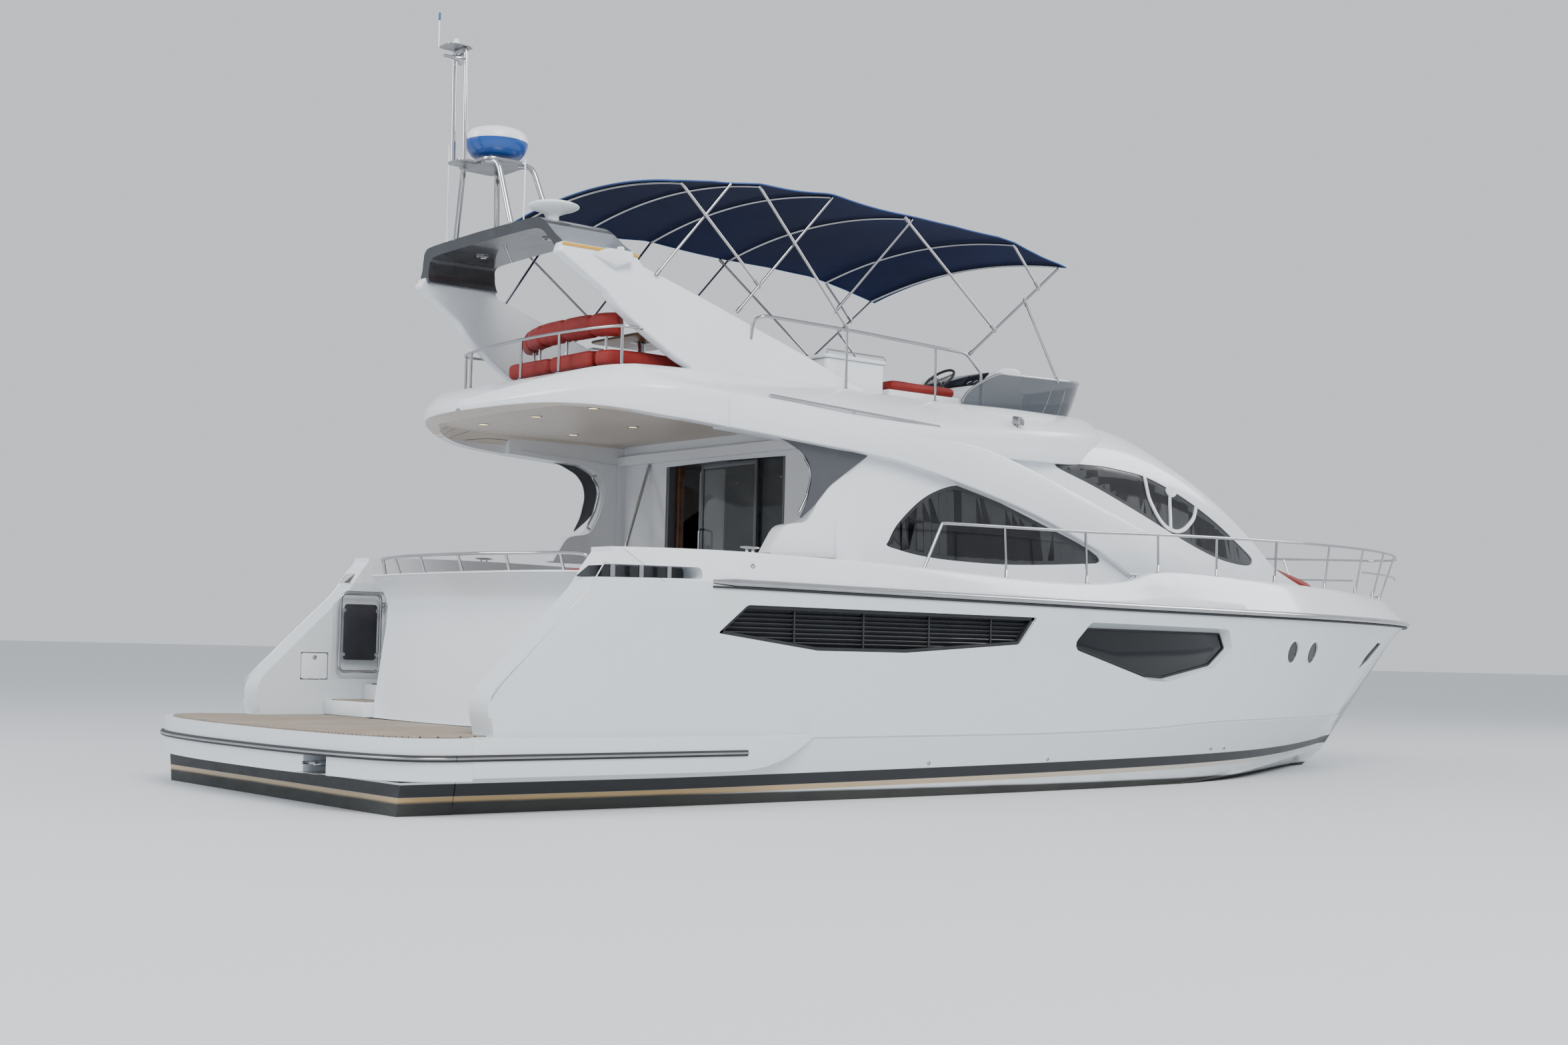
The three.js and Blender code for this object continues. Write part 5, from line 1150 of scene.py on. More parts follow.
def band_foot():
    ring = []
    for k, inward in enumerate((BAND_DEEP, BAND_SOFT, 0, 0, 0, 0, 0, BAND_SOFT, BAND_DEEP)):
        end = BAND_FOOT["ahead"] if k < 4 else BAND_FOOT["aft"]
        x = (BAND_FOOT["ahead"] + BAND_FOOT["aft"]) / 2 if k == 4 else end
        ring.append((x, band_out(end) - inward, BAND_FOOT["z"]))
    return ring


band_rings = [band_ring(*ends) for ends in zip(spline(BAND_TOP, 80), spline(BAND_LOW, 80))] + [band_foot()]
for side, where in SIDES:
    band = loft(f"side_band_{where}", [[(x, y * side, z) for x, y, z in ring] for ring in band_rings])
    dress(band, white, crease=50)

# %% [markdown]
# Two raked wings stand on the coamings and carry a grey beam. The wings are thick mouldings with well
# rounded edges, so a flat outline gets a wide bevel, then a lean inboard.

# %% Arch wings and beam
ARCH_WING = spline([(2870, 4040), (2724, 4104), (2501, 4237), (2270, 4380), (2065, 4530), (1942, 4656)], 20)
ARCH_WING += [(1448, 4967), (1490, 5070), (2279, 5070), (2383, 4958)]
ARCH_WING += spline([(2383, 4958), (2918, 4790), (3349, 4647), (3755, 4508), (4304, 4318), (4800, 4130),
                     (5060, 4040)], 24)[1:]
ARCH_WING += [(5085, 3900), (2870, 3900)]


LEAN = 0.14
for side, where in SIDES:
    wing = prism(f"arch_wing_{where}", "y", ARCH_WING, *sorted((1374 * side, 1514 * side)))
    soft_edges(wing, 34, 4)
    for vert in wing.data.vertices:
        vert.co.y -= side * LEAN * (vert.co.z - 3.9)
    dress(wing, white, crease=40)
    strip = prism(f"amber_strip_{where}", "y", [(1478, 5028), (2330, 5028), (2312, 5056), (1484, 5056)],
                  *sorted((1350 * side, 1366 * side)))
    dress(strip, yellow, round_off=3)

BEAM = [(1345, 5012), (1318, 5075), (1245, 5140), (1170, 5230), (1090, 5300), (900, 5332), (0, 5342)]
BEAM_UNDER = [(1190, 4900), (1165, 5060), (1100, 5150), (1020, 5215), (820, 5240), (0, 5246)]


def arched(half):
    return [(-y, z) for y, z in half] + [(y, z) for y, z in reversed(half[:-1])]


beam = prism("arch_beam_shape", "x", arched(spline(BEAM, 24)), 1300, 2400)
carve(beam, prism("beam hollow", "x", arched(spline(BEAM_UNDER, 20)), 1200, 2500))
shaped(beam, prism("beam side", "y", [(1400, 5360), (1530, 5000), (2330, 5000), (2110, 5360)], -1500, 1500),
       "INTERSECT")
# Faces that look down, and the middle's steeper faces, take the dark grey, which is painted shade; faces that
# look up keep the lighter slate.
paint_by(beam, [beam_slate, painted_shade_grey],
         lambda x, y, z, n: 1 if n.z < -0.2 or abs(y) < 1150 and n.z < 0.8 else 0)
dress(beam, None, replaces=("arch_beam",), crease=35)
lights = [lathe("ring", [(0, 0), (66, 0), (66, -9), (50, -12), (46, -5), (0, -5)], (x, y, 5241))
          for x, y in ((1800, -620), (1800, 620))]
dress(joined("beam_lamp_rings", lights), steel, crease=30)

# %% [markdown]
# ## The radar mast
# Four bowed legs meet a small platform that carries the radome; a hooped mast behind it holds the anchor
# light and the horn. The radome is turned on a lathe of points: a flat drum with soft shoulders.

# %% Tubes that follow a path, made with Geometry Nodes
class Grow(Tree):
    def __init__(self, name, **inputs):
        self.group = bpy.data.node_groups.new(name, "GeometryNodeTree")
        super().__init__(self.group)
        face = self.group.interface
        face.new_socket("Geometry", in_out="INPUT", socket_type="NodeSocketGeometry")
        self.keys = {}
        for key, (kind, value) in inputs.items():
            made = face.new_socket(key, in_out="INPUT", socket_type=f"NodeSocket{kind}")
            if value is not None:
                made.default_value = value
            self.keys[key] = made.identifier
        face.new_socket("Geometry", in_out="OUTPUT", socket_type="NodeSocketGeometry")
        self.entry = self.tree.nodes.new("NodeGroupInput")
        self.exit = self.tree.nodes.new("NodeGroupOutput")

    def given(self, key):
        return Value(self, self.entry.outputs[key])

    def close(self, geometry, paint):
        real = self.node("GeometryNodeRealizeInstances", values={0: geometry})
        smooth = self.node("GeometryNodeSetShadeSmooth", values={0: real})
        painted = self.node("GeometryNodeSetMaterial", values={"Geometry": smooth, "Material": paint})
        self.tree.links.new(painted.socket, self.exit.inputs[0])

    def run(self, name, points, edges, **values):
        mesh = bpy.data.meshes.new(name)
        mesh.from_pydata([metres(p) for p in points], edges, [])
        made = bpy.data.objects.new(name, mesh)
        bpy.context.scene.collection.objects.link(made)
        step = made.modifiers.new("grow", "NODES")
        step.node_group = self.group
        for key, value in values.items():
            step[self.keys[key]] = value
        return freeze(made)


tube_trees = {}


def tube_tree(paint):
    if paint.name not in tube_trees:
        tree = Grow(f"tube in {paint.name}", Radius=("Float", 0.014), Sides=("Int", 16))
        path = tree.node("GeometryNodeMeshToCurve", values={0: tree.given("Geometry")})
        circle = tree.node("GeometryNodeCurvePrimitiveCircle", {"mode": "RADIUS"},
                           {"Resolution": tree.given("Sides"), "Radius": tree.given("Radius")})
        swept = tree.node("GeometryNodeCurveToMesh", values={"Curve": path, "Profile Curve": circle,
                                                             "Fill Caps": True})
        tree.close(swept, paint)
        tube_trees[paint.name] = tree
    return tube_trees[paint.name]


def bent(points, radius=60, steps=6):
    """The path with each corner turned into an arc, as a tube bender leaves it."""
    line = [tuple(points[0])]
    for before, corner, after in zip(points, points[1:], points[2:]):
        line += corner_arc(before, corner, after, radius, steps)
    return line + [tuple(points[-1])]


def tubes(name, paths, radius, paint=steel, body="boat", replaces=(), sides=16):
    points, edges = [], []
    for path in paths:
        start = len(points)
        points += path
        edges += [(start + i, start + i + 1) for i in range(len(path) - 1)]
    made = tube_tree(paint).run(name, points, edges, Radius=radius / 1000, Sides=sides)
    return hand_over(made, body, replaces)


# %% Mast, radome, domes and aerials
MAST_Z = 5990
legs = []
for side in (1, -1):
    legs.append(bent([(1440, 520 * side, 5330), (1390, 330 * side, 5968), (1340, 200 * side, MAST_Z)], 100))
    legs.append(bent([(1900, 520 * side, 5330), (1770, 330 * side, 5968), (1700, 200 * side, MAST_Z)], 100))
tubes("mast_legs_shape", legs, 27, replaces=("radar_mast",))
tubes("mast_hoop", [bent([(1150, -110, 5975), (1130, -110, 7055), (1130, 110, 7055), (1150, 110, 5975)], 60)],
      22)
feet = [lathe("foot", [(46, 0), (46, 6), (28, 14), (26, 30)], (x, y, 5330 if abs(y) > 300 else MAST_Z))
        for x in (1440, 1900) for y in (-520, 520)]
plates = [prism("plate", "z", rounded(mirrored(half), radius), low, high) for half, radius, low, high in
          (([(1290, 250), (1350, 310), (1700, 310), (1765, 240)], 50, 5980, 6012),
           ([(1095, 130), (1330, 130)], 40, 5960, 5985), ([(950, 120), (1215, 120)], 60, 7066, 7078))]
plates.append(lathe("radome foot", [(95, 0), (80, 20), (75, 86)], (1560, 0, 6000)))
dress(joined("mast_plates", feet + plates), brushed, round_off=4)
dress(lathe("anchor_light", [(28, 0), (28, 60), (22, 74), (0, 78)], (1085, 0, 7078), steps=24),
      radome_white, crease=40)
horn = lathe("horn", [(0, -120), (14, -118), (16, -40), (22, 0), (34, 40), (60, 66), (62, 70), (52, 66),
                      (26, 38), (0, 10)], (1040, -60, 6950), axis="x", steps=28)
dress(horn, steel, crease=50)
RADOME = [(0, 0), (205, 0), (240, 14), (276, 60), (296, 112), (304, 150), (303, 186), (290, 226), (256, 258),
          (196, 280), (100, 294), (0, 298)]
SATCOM_DISH = [(0, -12), (56, -12), (50, 30), (60, 46), (130, 76), (205, 102), (234, 118), (240, 128),
               (235, 137), (200, 151), (140, 167), (60, 180), (0, 184)]
radome = lathe("radome_shape", RADOME, (1560, 0, 6075.3), steps=64)
paint_by(radome, [radome_white, radome_blue], lambda x, y, z, n: 1 if z < 6215 else 0)
dress(radome, None, replaces=("radome",), crease=50)
dish = lathe("satcom_dome_shape", SATCOM_DISH, (1600, -1000, 5324), steps=56)
dress(dish, radome_white, replaces=("satcom_dome",), crease=50)
tubes("thin_aerials", [[(1500, -640, 5330), (1500, -640, 5950)], [(950, 100, 7078), (950, 100, 7380)],
                       [(1400, 620, 5330), (1395, 630, 6300)]], 7, radome_white, sides=10)
tubes("aerial_tip", [[(950, 100, 7330), (950, 100, 7405)]], 10, navy_tip, sides=12)

# %% [markdown]
# ## The canopy and its frame
# The canopy is one cloth stretched over bent tubes. Between two bows the cloth hangs a little lower than
# over them, and its edges pull in, which is what makes it read as cloth and not as a shell. The frame is
# one tree of tubes: three bows stand on the rails, and three more branch from their legs.

# %% The canopy's cloth
CANOPY = [(2560, 5760), (3000, 5845), (3580, 5900), (4430, 5950), (5000, 5925), (5590, 5895), (6200, 5905),
          (6850, 5880), (7400, 5800), (7900, 5690)]
CANOPY_HALF, CANOPY_CROWN, CLOTH = 1590, 170, 14
BOW_LINES = [2640, 3574, 4508, 5600, 7090, 7820]
TUBE = 14
# An end's place, and how far its middle is drawn along the boat.
FORE_END, AFT_END = (7900, -22), (2560, 18)


def crown(v):
    return CANOPY_CROWN * (1 - v * v)


def canopy_z(x):
    for (ax, az), (bx, bz) in zip(CANOPY, CANOPY[1:]):
        if x <= bx:
            return az + (x - ax) / (bx - ax) * (bz - az)
    return CANOPY[-1][1]


def slack(x):
    """Nothing over a bow, one halfway between two bows."""
    for a, b in zip(BOW_LINES, BOW_LINES[1:]):
        if a < x < b:
            return math.sin(math.pi * (x - a) / (b - a))
    return 0.0


def sag(x, v):
    return 26 * slack(x) ** 1.3 * (0.75 + 0.25 * math.cos(v * 2.4))


def pull_in(x):
    return 22 * slack(x)


def end_bow(x):
    return FORE_END[1] if x > FORE_END[0] - 10 else AFT_END[1] if x < AFT_END[0] + 10 else 0


profile = spline(CANOPY, 108)
cloth_rows, cloth_faces, ACROSS = [], [], 56
for x, z in profile:
    half = CANOPY_HALF - pull_in(x)
    for j in range(ACROSS + 1):
        v = -1 + 2 * j / ACROSS
        cloth_rows.append((x + end_bow(x) * (1 - v * v), v * half, z + crown(v) - 3 - sag(x, v)))
for i in range(len(profile) - 1):
    for j in range(ACROSS):
        a = i * (ACROSS + 1) + j
        cloth_faces.append((a, a + 1, a + ACROSS + 2, a + ACROSS + 1))
canopy = mesh_object("canopy_cloth", cloth_rows, cloth_faces, outward=False)
middle = [Vector(canopy.data.vertices[i * (ACROSS + 1) + ACROSS // 2].co) for i in range(len(profile))]
thick = canopy.modifiers.new("cloth", "SOLIDIFY")
thick.thickness, thick.offset = 0.003, 0
freeze(canopy)
dress(canopy, navy_cloth, crease=60)

# %% [markdown]
# The cloth's edges are hemmed and piped, and over each bow it has a sleeve with two rows of stitches. One
# stitch is repeated along the rows, so the rows stay even.

# %% Hems, piping and the seams over the bows
def cloth_at(x, v):
    return (x, v * (CANOPY_HALF - pull_in(x)), canopy_z(x) + crown(v) - 3 - sag(x, v))


def spread(count):
    return [-1 + i / count for i in range(2 * count + 1)]


hems = [[cloth_at(AFT_END[0] + (FORE_END[0] - AFT_END[0]) * i / 90, side) for i in range(91)]
        for side in (-1, 1)]
tubes("canopy_side_hems", hems, 7, navy_piping, sides=10)
ends = [[(x + bow * (1 - v * v), v * CANOPY_HALF, canopy_z(x) + crown(v) - 3) for v in spread(20)]
        for x, bow in (FORE_END, AFT_END)]
tubes("canopy_end_piping", ends, 9, navy_piping, sides=10)
sleeves = []
for line_x in BOW_LINES[1:-1]:
    rows = [(line_x + dx, dz) for dx, dz in ((-46, 0), (-30, 1.5), (30, 1.5), (46, 0))]
    sleeves.append(loft("sleeve", [[(x, v * (CANOPY_HALF - 2), canopy_z(x) + crown(v) + dz - 0.5)
                                    for x, dz in rows] for v in spread(24)]))
dress(joined("canopy_sleeves", sleeves), navy_cloth, crease=60)

stitch_tree = Grow("stitches along a seam", Length=("Float", 0.009), Spacing=("Float", 0.018),
                   Radius=("Float", 0.0011))
seam = stitch_tree.node("GeometryNodeMeshToCurve", values={0: stitch_tree.given("Geometry")})
spots = stitch_tree.node("GeometryNodeCurveToPoints", {"mode": "LENGTH"},
                         {"Curve": seam, "Length": stitch_tree.given("Spacing")})
turn = stitch_tree.tree.nodes[-1].outputs["Rotation"]
thread = stitch_tree.node("GeometryNodeMeshCylinder", {"fill_type": "NGON"},
                          {"Vertices": 5, "Radius": stitch_tree.given("Radius"),
                           "Depth": stitch_tree.given("Length")})
laid = stitch_tree.node("GeometryNodeInstanceOnPoints", values={
    "Points": spots, "Instance": thread, "Rotation": Value(stitch_tree, turn)})
stitch_tree.close(laid, navy_piping)
seams, links = [], []
for x in BOW_LINES[1:-1]:
    for dx in (-38, 38):
        line = [(x + dx, v * (CANOPY_HALF - 8), canopy_z(x + dx) + crown(v) + 2.2) for v in spread(30)]
        links += [(len(seams) + i, len(seams) + i + 1) for i in range(len(line) - 1)]
        seams += line
stitches = stitch_tree.run("canopy_stitches", seams, links, Spacing=0.03, Length=0.016)
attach(stitches, "boat")
print("stitches", len(stitches.data.polygons))

# %% [markdown]
# Each bow is a tube from rail to rail that runs up, bends over the corner, follows the cloth's crown and
# comes down again. Branches and slanting struts meet the legs in fork ends.

# %% The tubes that carry the canopy
BOWS = [(4794, 1520, 4625, 3574), (3434, 1440, 4640, 4508), (6490, 1520, 4560, 7820)]
BRANCHES = [(1, 4930, 2640), (0, 4800, 5600), (2, 5410, 7090)]
BOW_HALF = CANOPY_HALF - 18


def bow_top(x, v):
    return (x, v * BOW_HALF, canopy_z(x) + 0.97 * crown(v) - CLOTH - TUBE + 4)


def bow_path(foot_x, foot_y, foot_z, x):
    across = [bow_top(x, -0.98 + 1.96 * i / 28) for i in range(29)]
    corner_a, corner_b = bow_top(x, -1), bow_top(x, 1)
    return bent([(foot_x, -foot_y, foot_z), corner_a, across[0]], 70) + across[1:-1] + bent(
        [across[-1], corner_b, (foot_x, foot_y, foot_z)], 70)


def leg_at(bow, z, side):
    foot_x, foot_y, foot_z, x = BOWS[bow]
    top = bow_top(x, 1)
    t = (z - foot_z) / (top[2] - foot_z)
    return (foot_x + t * (top[0] - foot_x), (foot_y + t * (top[1] - foot_y)) * side, z)


def under_cloth(x, side):
    return (x, BOW_HALF * side, canopy_z(x) - CLOTH - TUBE + 4)


def strut_ends(side):
    """The three slanting struts of a side."""
    return [((2500, 1395 * side, 4880), under_cloth(3222, side)),
            (under_cloth(5480, side), leg_at(2, 4870, side)),
            (leg_at(2, 5240, side), (8000, 1400 * side, 4430))]


def fork(at, toward):
    start, end = Vector(at), Vector(toward)
    along = (end - start).normalized()
    return [tuple(start + along * 4), tuple(start + along * 70)]


paths = [bow_path(*bow) for bow in BOWS]
paths += [bow_path(*leg_at(bow, z, 1), x) for bow, z, x in BRANCHES]
for side in (1, -1):
    paths += [list(ends) for ends in strut_ends(side)]
tubes("canopy_frame_tubes", paths, TUBE, replaces=("bimini_frame", "bimini_canopy"), sides=20)
forks = []
for bow, (foot_x, foot_y, foot_z, _) in enumerate(BOWS):
    forks += [fork((foot_x, foot_y * side, foot_z), leg_at(bow, foot_z + 300, side)) for side in (1, -1)]
for bow, z, x in BRANCHES:
    forks += [fork(leg_at(bow, z, side), under_cloth(x, side)) for side in (1, -1)]
for side in (1, -1):
    aft, middle, fore = strut_ends(side)
    forks += [fork(*aft), fork(*middle[::-1]), fork(*middle), fork(*fore), fork(*fore[::-1])]
    for bow, z in ((1, 4930), (0, 4800), (2, 5410), (2, 4870), (2, 5240)):
        collar = Vector(leg_at(bow, z, side))
        forks.append([tuple(collar - Vector((0, 0, 26))), tuple(collar + Vector((0, 0, 26)))])
tubes("canopy_fork_ends", forks, 19, brushed, sides=16)

# %% [markdown]
# ## Rails
# All rails are bent stainless tube. The photograph shows the bow rail rise from the side deck, run level
# round the bow and come down again on the other side, with its posts on small round flanges.

# %% Bow rail, flybridge rails and stern rail
RAIL = 16
RAIL_Z = [(5400, 2680), (7500, 2710), (8700, 2745), (10900, 2790), (14300, 2840), (16330, 2860)]
STANCHIONS = [6270, 7490, 8670, 9700, 10900, 12200, 13300, 14300, 15200]
POST_SOCKET = [(34, 0), (34, 5), (24, 8), (20, 16), (17, 80), (13, 86)]
END_FLANGE = [(34, 0), (34, 5), (24, 8), (18, 22)]
FLY_FLANGE = [(30, 0), (30, 5), (22, 8), (16, 18)]


def rail_plan(x):
    return max(60, hull(6, min(SHEER_TIP, x)) - 170)


def rim(x):
    s = x
    for _ in range(12):
        s += x - along_line(4, s)
    return hull(8, s), hull(9, s)


def half_rail(side, low=5400, drop=0, draw_in=1.0):
    xs = [x for x in range(5400, 16051, 150) if x >= low]
    return [(x, rail_plan(x) * side * draw_in, column(RAIL_Z, 1, x) - drop) for x in xs]


nose = spline([(16050, -rail_plan(16050), 2858), (16250, -230, 2858), (16345, -80, 2860), (16345, 80, 2860),
               (16250, 230, 2858), (16050, rail_plan(16050), 2858)], 24)
foot_y = rim(5100)[0] - 50
rail = bent([(5100, -foot_y, 2185), (5390, -rail_plan(5400), 2670)] + half_rail(-1)[:2], 160)[:-1]
rail += half_rail(-1)[1:-1] + nose + list(reversed(half_rail(1)[1:-1]))
rail += bent(list(reversed(half_rail(1)[:2])) + [(5390, rail_plan(5400), 2670), (5100, foot_y, 2185)],
             160)[1:]
posts, flanges = [], []
for side in (1, -1):
    for x in STANCHIONS:
        y, z = rim(x)
        posts.append([(x, (y - 45) * side, z - 4), (x, rail_plan(x) * side, column(RAIL_Z, 1, x))])
        flanges.append(lathe("flange", POST_SOCKET, (x, (y - 45) * side, z - 3), steps=24))
    flanges.append(lathe("flange", END_FLANGE, (5100, foot_y * side, 2183), steps=24))
tubes("bow_rail_top", [rail], RAIL, replaces=("bow_rail",), sides=20)
tubes("bow_rail_posts", posts + [half_rail(side, 13300, 290, 0.985) for side in (1, -1)], 13)
dress(joined("bow_rail_flanges", flanges), steel, crease=40)

AFT_RAIL = [(2370, 1410), (2270, 1455), (2130, 1430), (2030, 1240), (1945, 750), (1910, 0)]
AFT_POSTS = (15, 24, 36, 42, 57)
aft_line = spline(across_centre(AFT_RAIL), 72)
fly_feet = [aft_line[i] for i in AFT_POSTS]
tubes("aft_rail_top", [[(x, y, 4350) for x, y in aft_line]], RAIL, replaces=("fly_aft_rail",), sides=20)
tubes("aft_rail_posts", [[(x, y, column(FLY, 4, x) - 25), (x, y, 4350)] for x, y in fly_feet], 15)
for side, where in SIDES:
    y = 1520 * side
    top_run = bent([(3614, 1440 * side, 4400), (3640, 1440 * side, 4590), (3700, y, 4632), (4778, y, 4622),
                    (6008, y, 4588), (6454, y, 4573), (6700, 1500 * side, 4390),
                    (6700, 1490 * side, 4040)], 70)
    uprights = [[(4778, y, 4012), (4778, y, 4620)], [(6008, y, 4008), (6008, y, 4588)]]
    tubes(f"side_rail_{where}", [top_run], RAIL, replaces=(f"fly_side_rail_{where}",), sides=20)
    tubes(f"side_rail_posts_{where}", uprights, 13)
    fly_feet += [(4778, y), (6008, y), (6700, 1490 * side)]
    grab = [(3400, 2022 * side, 3783), (4470, 2024 * side, 3730), (5600, 2026 * side, 3680)]
    stand = [[(x, yy * (1 - 0.018), z - 42), (x, yy, z)] for x, yy, z in
             ((3420, 2022 * side, 3782), (4470, 2024 * side, 3730), (5580, 2026 * side, 3681))]
    tubes(f"grab_rail_{where}", [spline(grab, 20)] + stand, 13)
fly_flanges = [lathe("flange", FLY_FLANGE, (x, y, column(FLY, 4, x) + 3), steps=24) for x, y in fly_feet]
dress(joined("fly_rail_flanges", fly_flanges), steel, crease=40)

bench_rail = spline([(1150, 1150, 1990), (1110, 1150, 2170), (1060, 1060, 2198), (930, 500, 2200),
                     (900, -100, 2200), (950, -900, 2200), (1160, -1450, 2200), (1440, -1850, 2200),
                     (1520, -1895, 2130), (1540, -1900, 1990)], 90)
bench_posts = [[(x + 60, y * 0.985, 2040), (x, y, 2200)] for x, y in
               ((960, 640), (905, 50), (925, -620), (1060, -1230), (1330, -1710))]
tubes("stern_rail_shape", [bench_rail], RAIL, replaces=("stern_rail",), sides=20)
tubes("stern_rail_posts", bench_posts, 14)

# %% [markdown]
# ## Cushions
# Upholstery is foam in a tight skin: it swells between its seams and its edges stay round. Each cushion
# starts a little too small, is remeshed into even squares and then blown up by the cloth solver, with a
# cap on how far a point may move. Cushions that lie side by side are one object, so one run fills them.

# %% Blow up a set of cushions
PRESSURE = 4.0


def cushions(name, parts, replaces=(), voxel=0.014, cap=0.020):
    made = joined(name, parts)
    grid = made.modifiers.new("even squares", "REMESH")
    grid.mode, grid.voxel_size = "VOXEL", voxel
    freeze(made)
    start = [v.co.copy() for v in made.data.vertices]
    bpy.context.scene.frame_set(1)
    skin = made.modifiers.new("skin", "CLOTH")
    skin.settings.quality, skin.settings.mass = 4, 0.3
    skin.settings.use_pressure, skin.settings.uniform_pressure_force = True, PRESSURE
    skin.settings.effector_weights.gravity = 0
    for step in range(1, 21):
        bpy.context.scene.frame_set(step)
    freeze(made)
    far = 0
    for vert, rest in zip(made.data.vertices, start):
        move = vert.co - rest
        far = max(far, move.length)
        if move.length > cap:
            vert.co = rest + move.normalized() * cap
    bpy.context.scene.frame_set(1)
    print(name, "moved", round(far * 1000), "mm, capped at", round(cap * 1000))
    even = made.modifiers.new("soft", "SMOOTH")
    even.iterations, even.factor = 3, 0.5
    fine = made.modifiers.new("fine", "SUBSURF")
    fine.levels = fine.render_levels = 1
    freeze(made)
    dress(made, red_seat, replaces=replaces, crease=70)
    return made


def pad(outline, z0, z1, shrink=9, soft=40):
    shape = prism("pad", "z", rounded(offset(outline, -shrink), soft + 20, 5), z0 + shrink * 0.4, z1 - shrink)
    return soft_edges(shape, soft, 4)


def rolls(centre, width, height, z0, count, shrink=8):
    """Bolster pieces, one after another along a path in plan."""
    line = spline(centre, count * 16)
    made = []
    for first in range(0, count * 16, 16):
        rings = []
        for i in range(17):
            (x, y), (tx, ty) = line[first + i], heading(line, first + i)
            size = (0.80, 0.95, 1.0)[min(i, 16 - i, 2)]
            shift = 7 if i == 0 else -7 if i == 16 else 0
            ring = []
            for c, s in circle(1, 28):
                u = math.copysign(abs(c) ** 0.62, c) * (width / 2 - shrink) * size
                v = math.copysign(abs(s) ** 0.62, s) * (height / 2 - shrink) * size
                ring.append((x - ty * u + tx * shift, y + tx * u + ty * shift, z0 + height / 2 + v))
            rings.append(ring)
        made.append(loft("roll", rings))
    return made


# %% Flybridge sofa, helm seat, cockpit bench and sunpad
SOFA_BACK = [(2372, 545), (2262, 330), (2175, 90), (2118, -180), (2108, -480), (2112, -780), (2150, -1060),
             (2262, -1205)]
cushions("sofa_back_roll", rolls(SOFA_BACK, 214, 232, 4289, 5), voxel=0.013, cap=0.018)
SOFA_SEATS = [[(2012, 474), (2006, -280), (2608, -280), (2598, 474)],
              [(2006, -288), (2006, -900), (2040, -1020), (2608, -780), (2608, -288)],
              [(2046, -1030), (2125, -1262), (2500, -1292), (3040, -1292), (3040, -788), (2614, -788)],
              box_plan(3046, 3494, -1292, -788)]
seat = [pad(outline, 4010, 4168) for outline in SOFA_SEATS]
cushions("sofa_seats", seat, replaces=("sofa_cushion",), voxel=0.016)
brackets = [bent([(x0, y, 4120), (x, y, 4180), (x, y, 4330)], 30) for x0, x, y in
            ((2150, 2180, 90), (2080, 2112, -500), (2150, 2165, -1090), (2230, 2262, 330))]
tubes("sofa_back_brackets", brackets, 16)
helm_pads = [pad(box_plan(5600, 6545, y0, y1), 4120, 4232) for y0, y1 in ((-760, -212), (-1318, -766))]
cushions("helm_seat", helm_pads, replaces=("helm_bench_cushion",), voxel=0.016)
BENCH_BACK = rounded(offset([(1632, 1752), (1770, 1752), (1738, 2104), (1632, 2104)], -8), 50, 5)
bench = []
for k in range(4):
    y0, y1 = -2008 + k * 787, -2008 + (k + 1) * 787 - 6
    bench += [pad(box_plan(1742, 2258, y0, y1), 1640, 1752),
              soft_edges(prism("back", "y", BENCH_BACK, y0 + 6, y1 - 6), 30, 4)]
cushions("cockpit_bench_cushions", bench, replaces=("cockpit_cushion",), voxel=0.018)


def roof_height(x, y):
    """How high the deckhouse's moulding is at a place."""
    ring = sorted(house_ring(x, 0), key=lambda p: p[1])
    for (_, ya, za), (_, yb, zb) in zip(ring, ring[1:]):
        if ya <= y <= yb and yb > ya:
            return za + (zb - za) * (y - ya) / (yb - ya)
    return 2200


pads = []
for k in range(3):
    y0, y1 = -636 + k * 425, -636 + (k + 1) * 425 - 3
    rings = []
    for x in [12460 + (13890 - 12460) * i / 14 for i in range(15)]:
        thick = 78 * (0.6 if x < 12470 or x > 13880 else 1.0)
        ys = [y0 + 8 + (y1 - y0 - 16) * j / 8 for j in range(9)]
        lid = [(x, y, roof_height(x, y) + thick * (1 - 0.35 * abs(2 * (y - y0) / (y1 - y0) - 1) ** 6))
               for y in ys]
        rings.append(lid + [(x, y, roof_height(x, y) - 2) for y in reversed(ys)])
    pads.append(loft("sun", rings))
cushions("foredeck_sunpad", pads, replaces=("sunpad",), voxel=0.018)

# %% [markdown]
# ## Furniture of the flybridge
# The seats stand on white moulded bases with soft edges. The table is veneer on a steel pedestal, and the
# counter has a steel rail, doors and a sink's lid.

# %% Bases, table, counter and helm
refined("sofa_base", white, round_off=14, steps=3)
refined("helm_bench", white, round_off=14, steps=3)
table = rounded_block("table_top", "z", 2762, 3478, -778, 118, 4421, 4449, 110, 6)
dress(table, table_wood, replaces=("fly_table",), round_off=6, steps=3)
table_edge = rounded_block("table_edge", "z", 2755, 3485, -785, 125, 4427, 4443, 115, 6)
dress(table_edge, rubber, round_off=3)
PEDESTAL = [(165, 0), (165, 12), (150, 20), (60, 28), (44, 44), (40, 640), (46, 690), (120, 700), (120, 708),
            (0, 708)]
dress(lathe("table_pedestal", PEDESTAL, (3100, -330, FLY_SOLE)), steel, crease=30)
counter = [rounded_block("body", "z", 4694, 5476, -1321, -764, 3722, 4356, 50, 5),
           rounded_block("top", "z", 4672, 5498, -1343, -742, 4358, 4399, 60, 5)]
dress(joined("bar_counter", counter), white, replaces=("wet_bar",), round_off=8, steps=3)
doors = [rounded_block("door", "x", y, y + 242, 3800, 4310, 4686, 4698, 30) for y in (-1290, -1036)]
doors += [rounded_block("door", "y", x, x + 360, 3800, 4310, -770, -758, 30) for x in (4720, 5090)]
# The bar's doors are in the darker gelcoat that stands for painted shade.
dress(joined("bar_doors", doors), gelcoat_painted_shade, round_off=3)
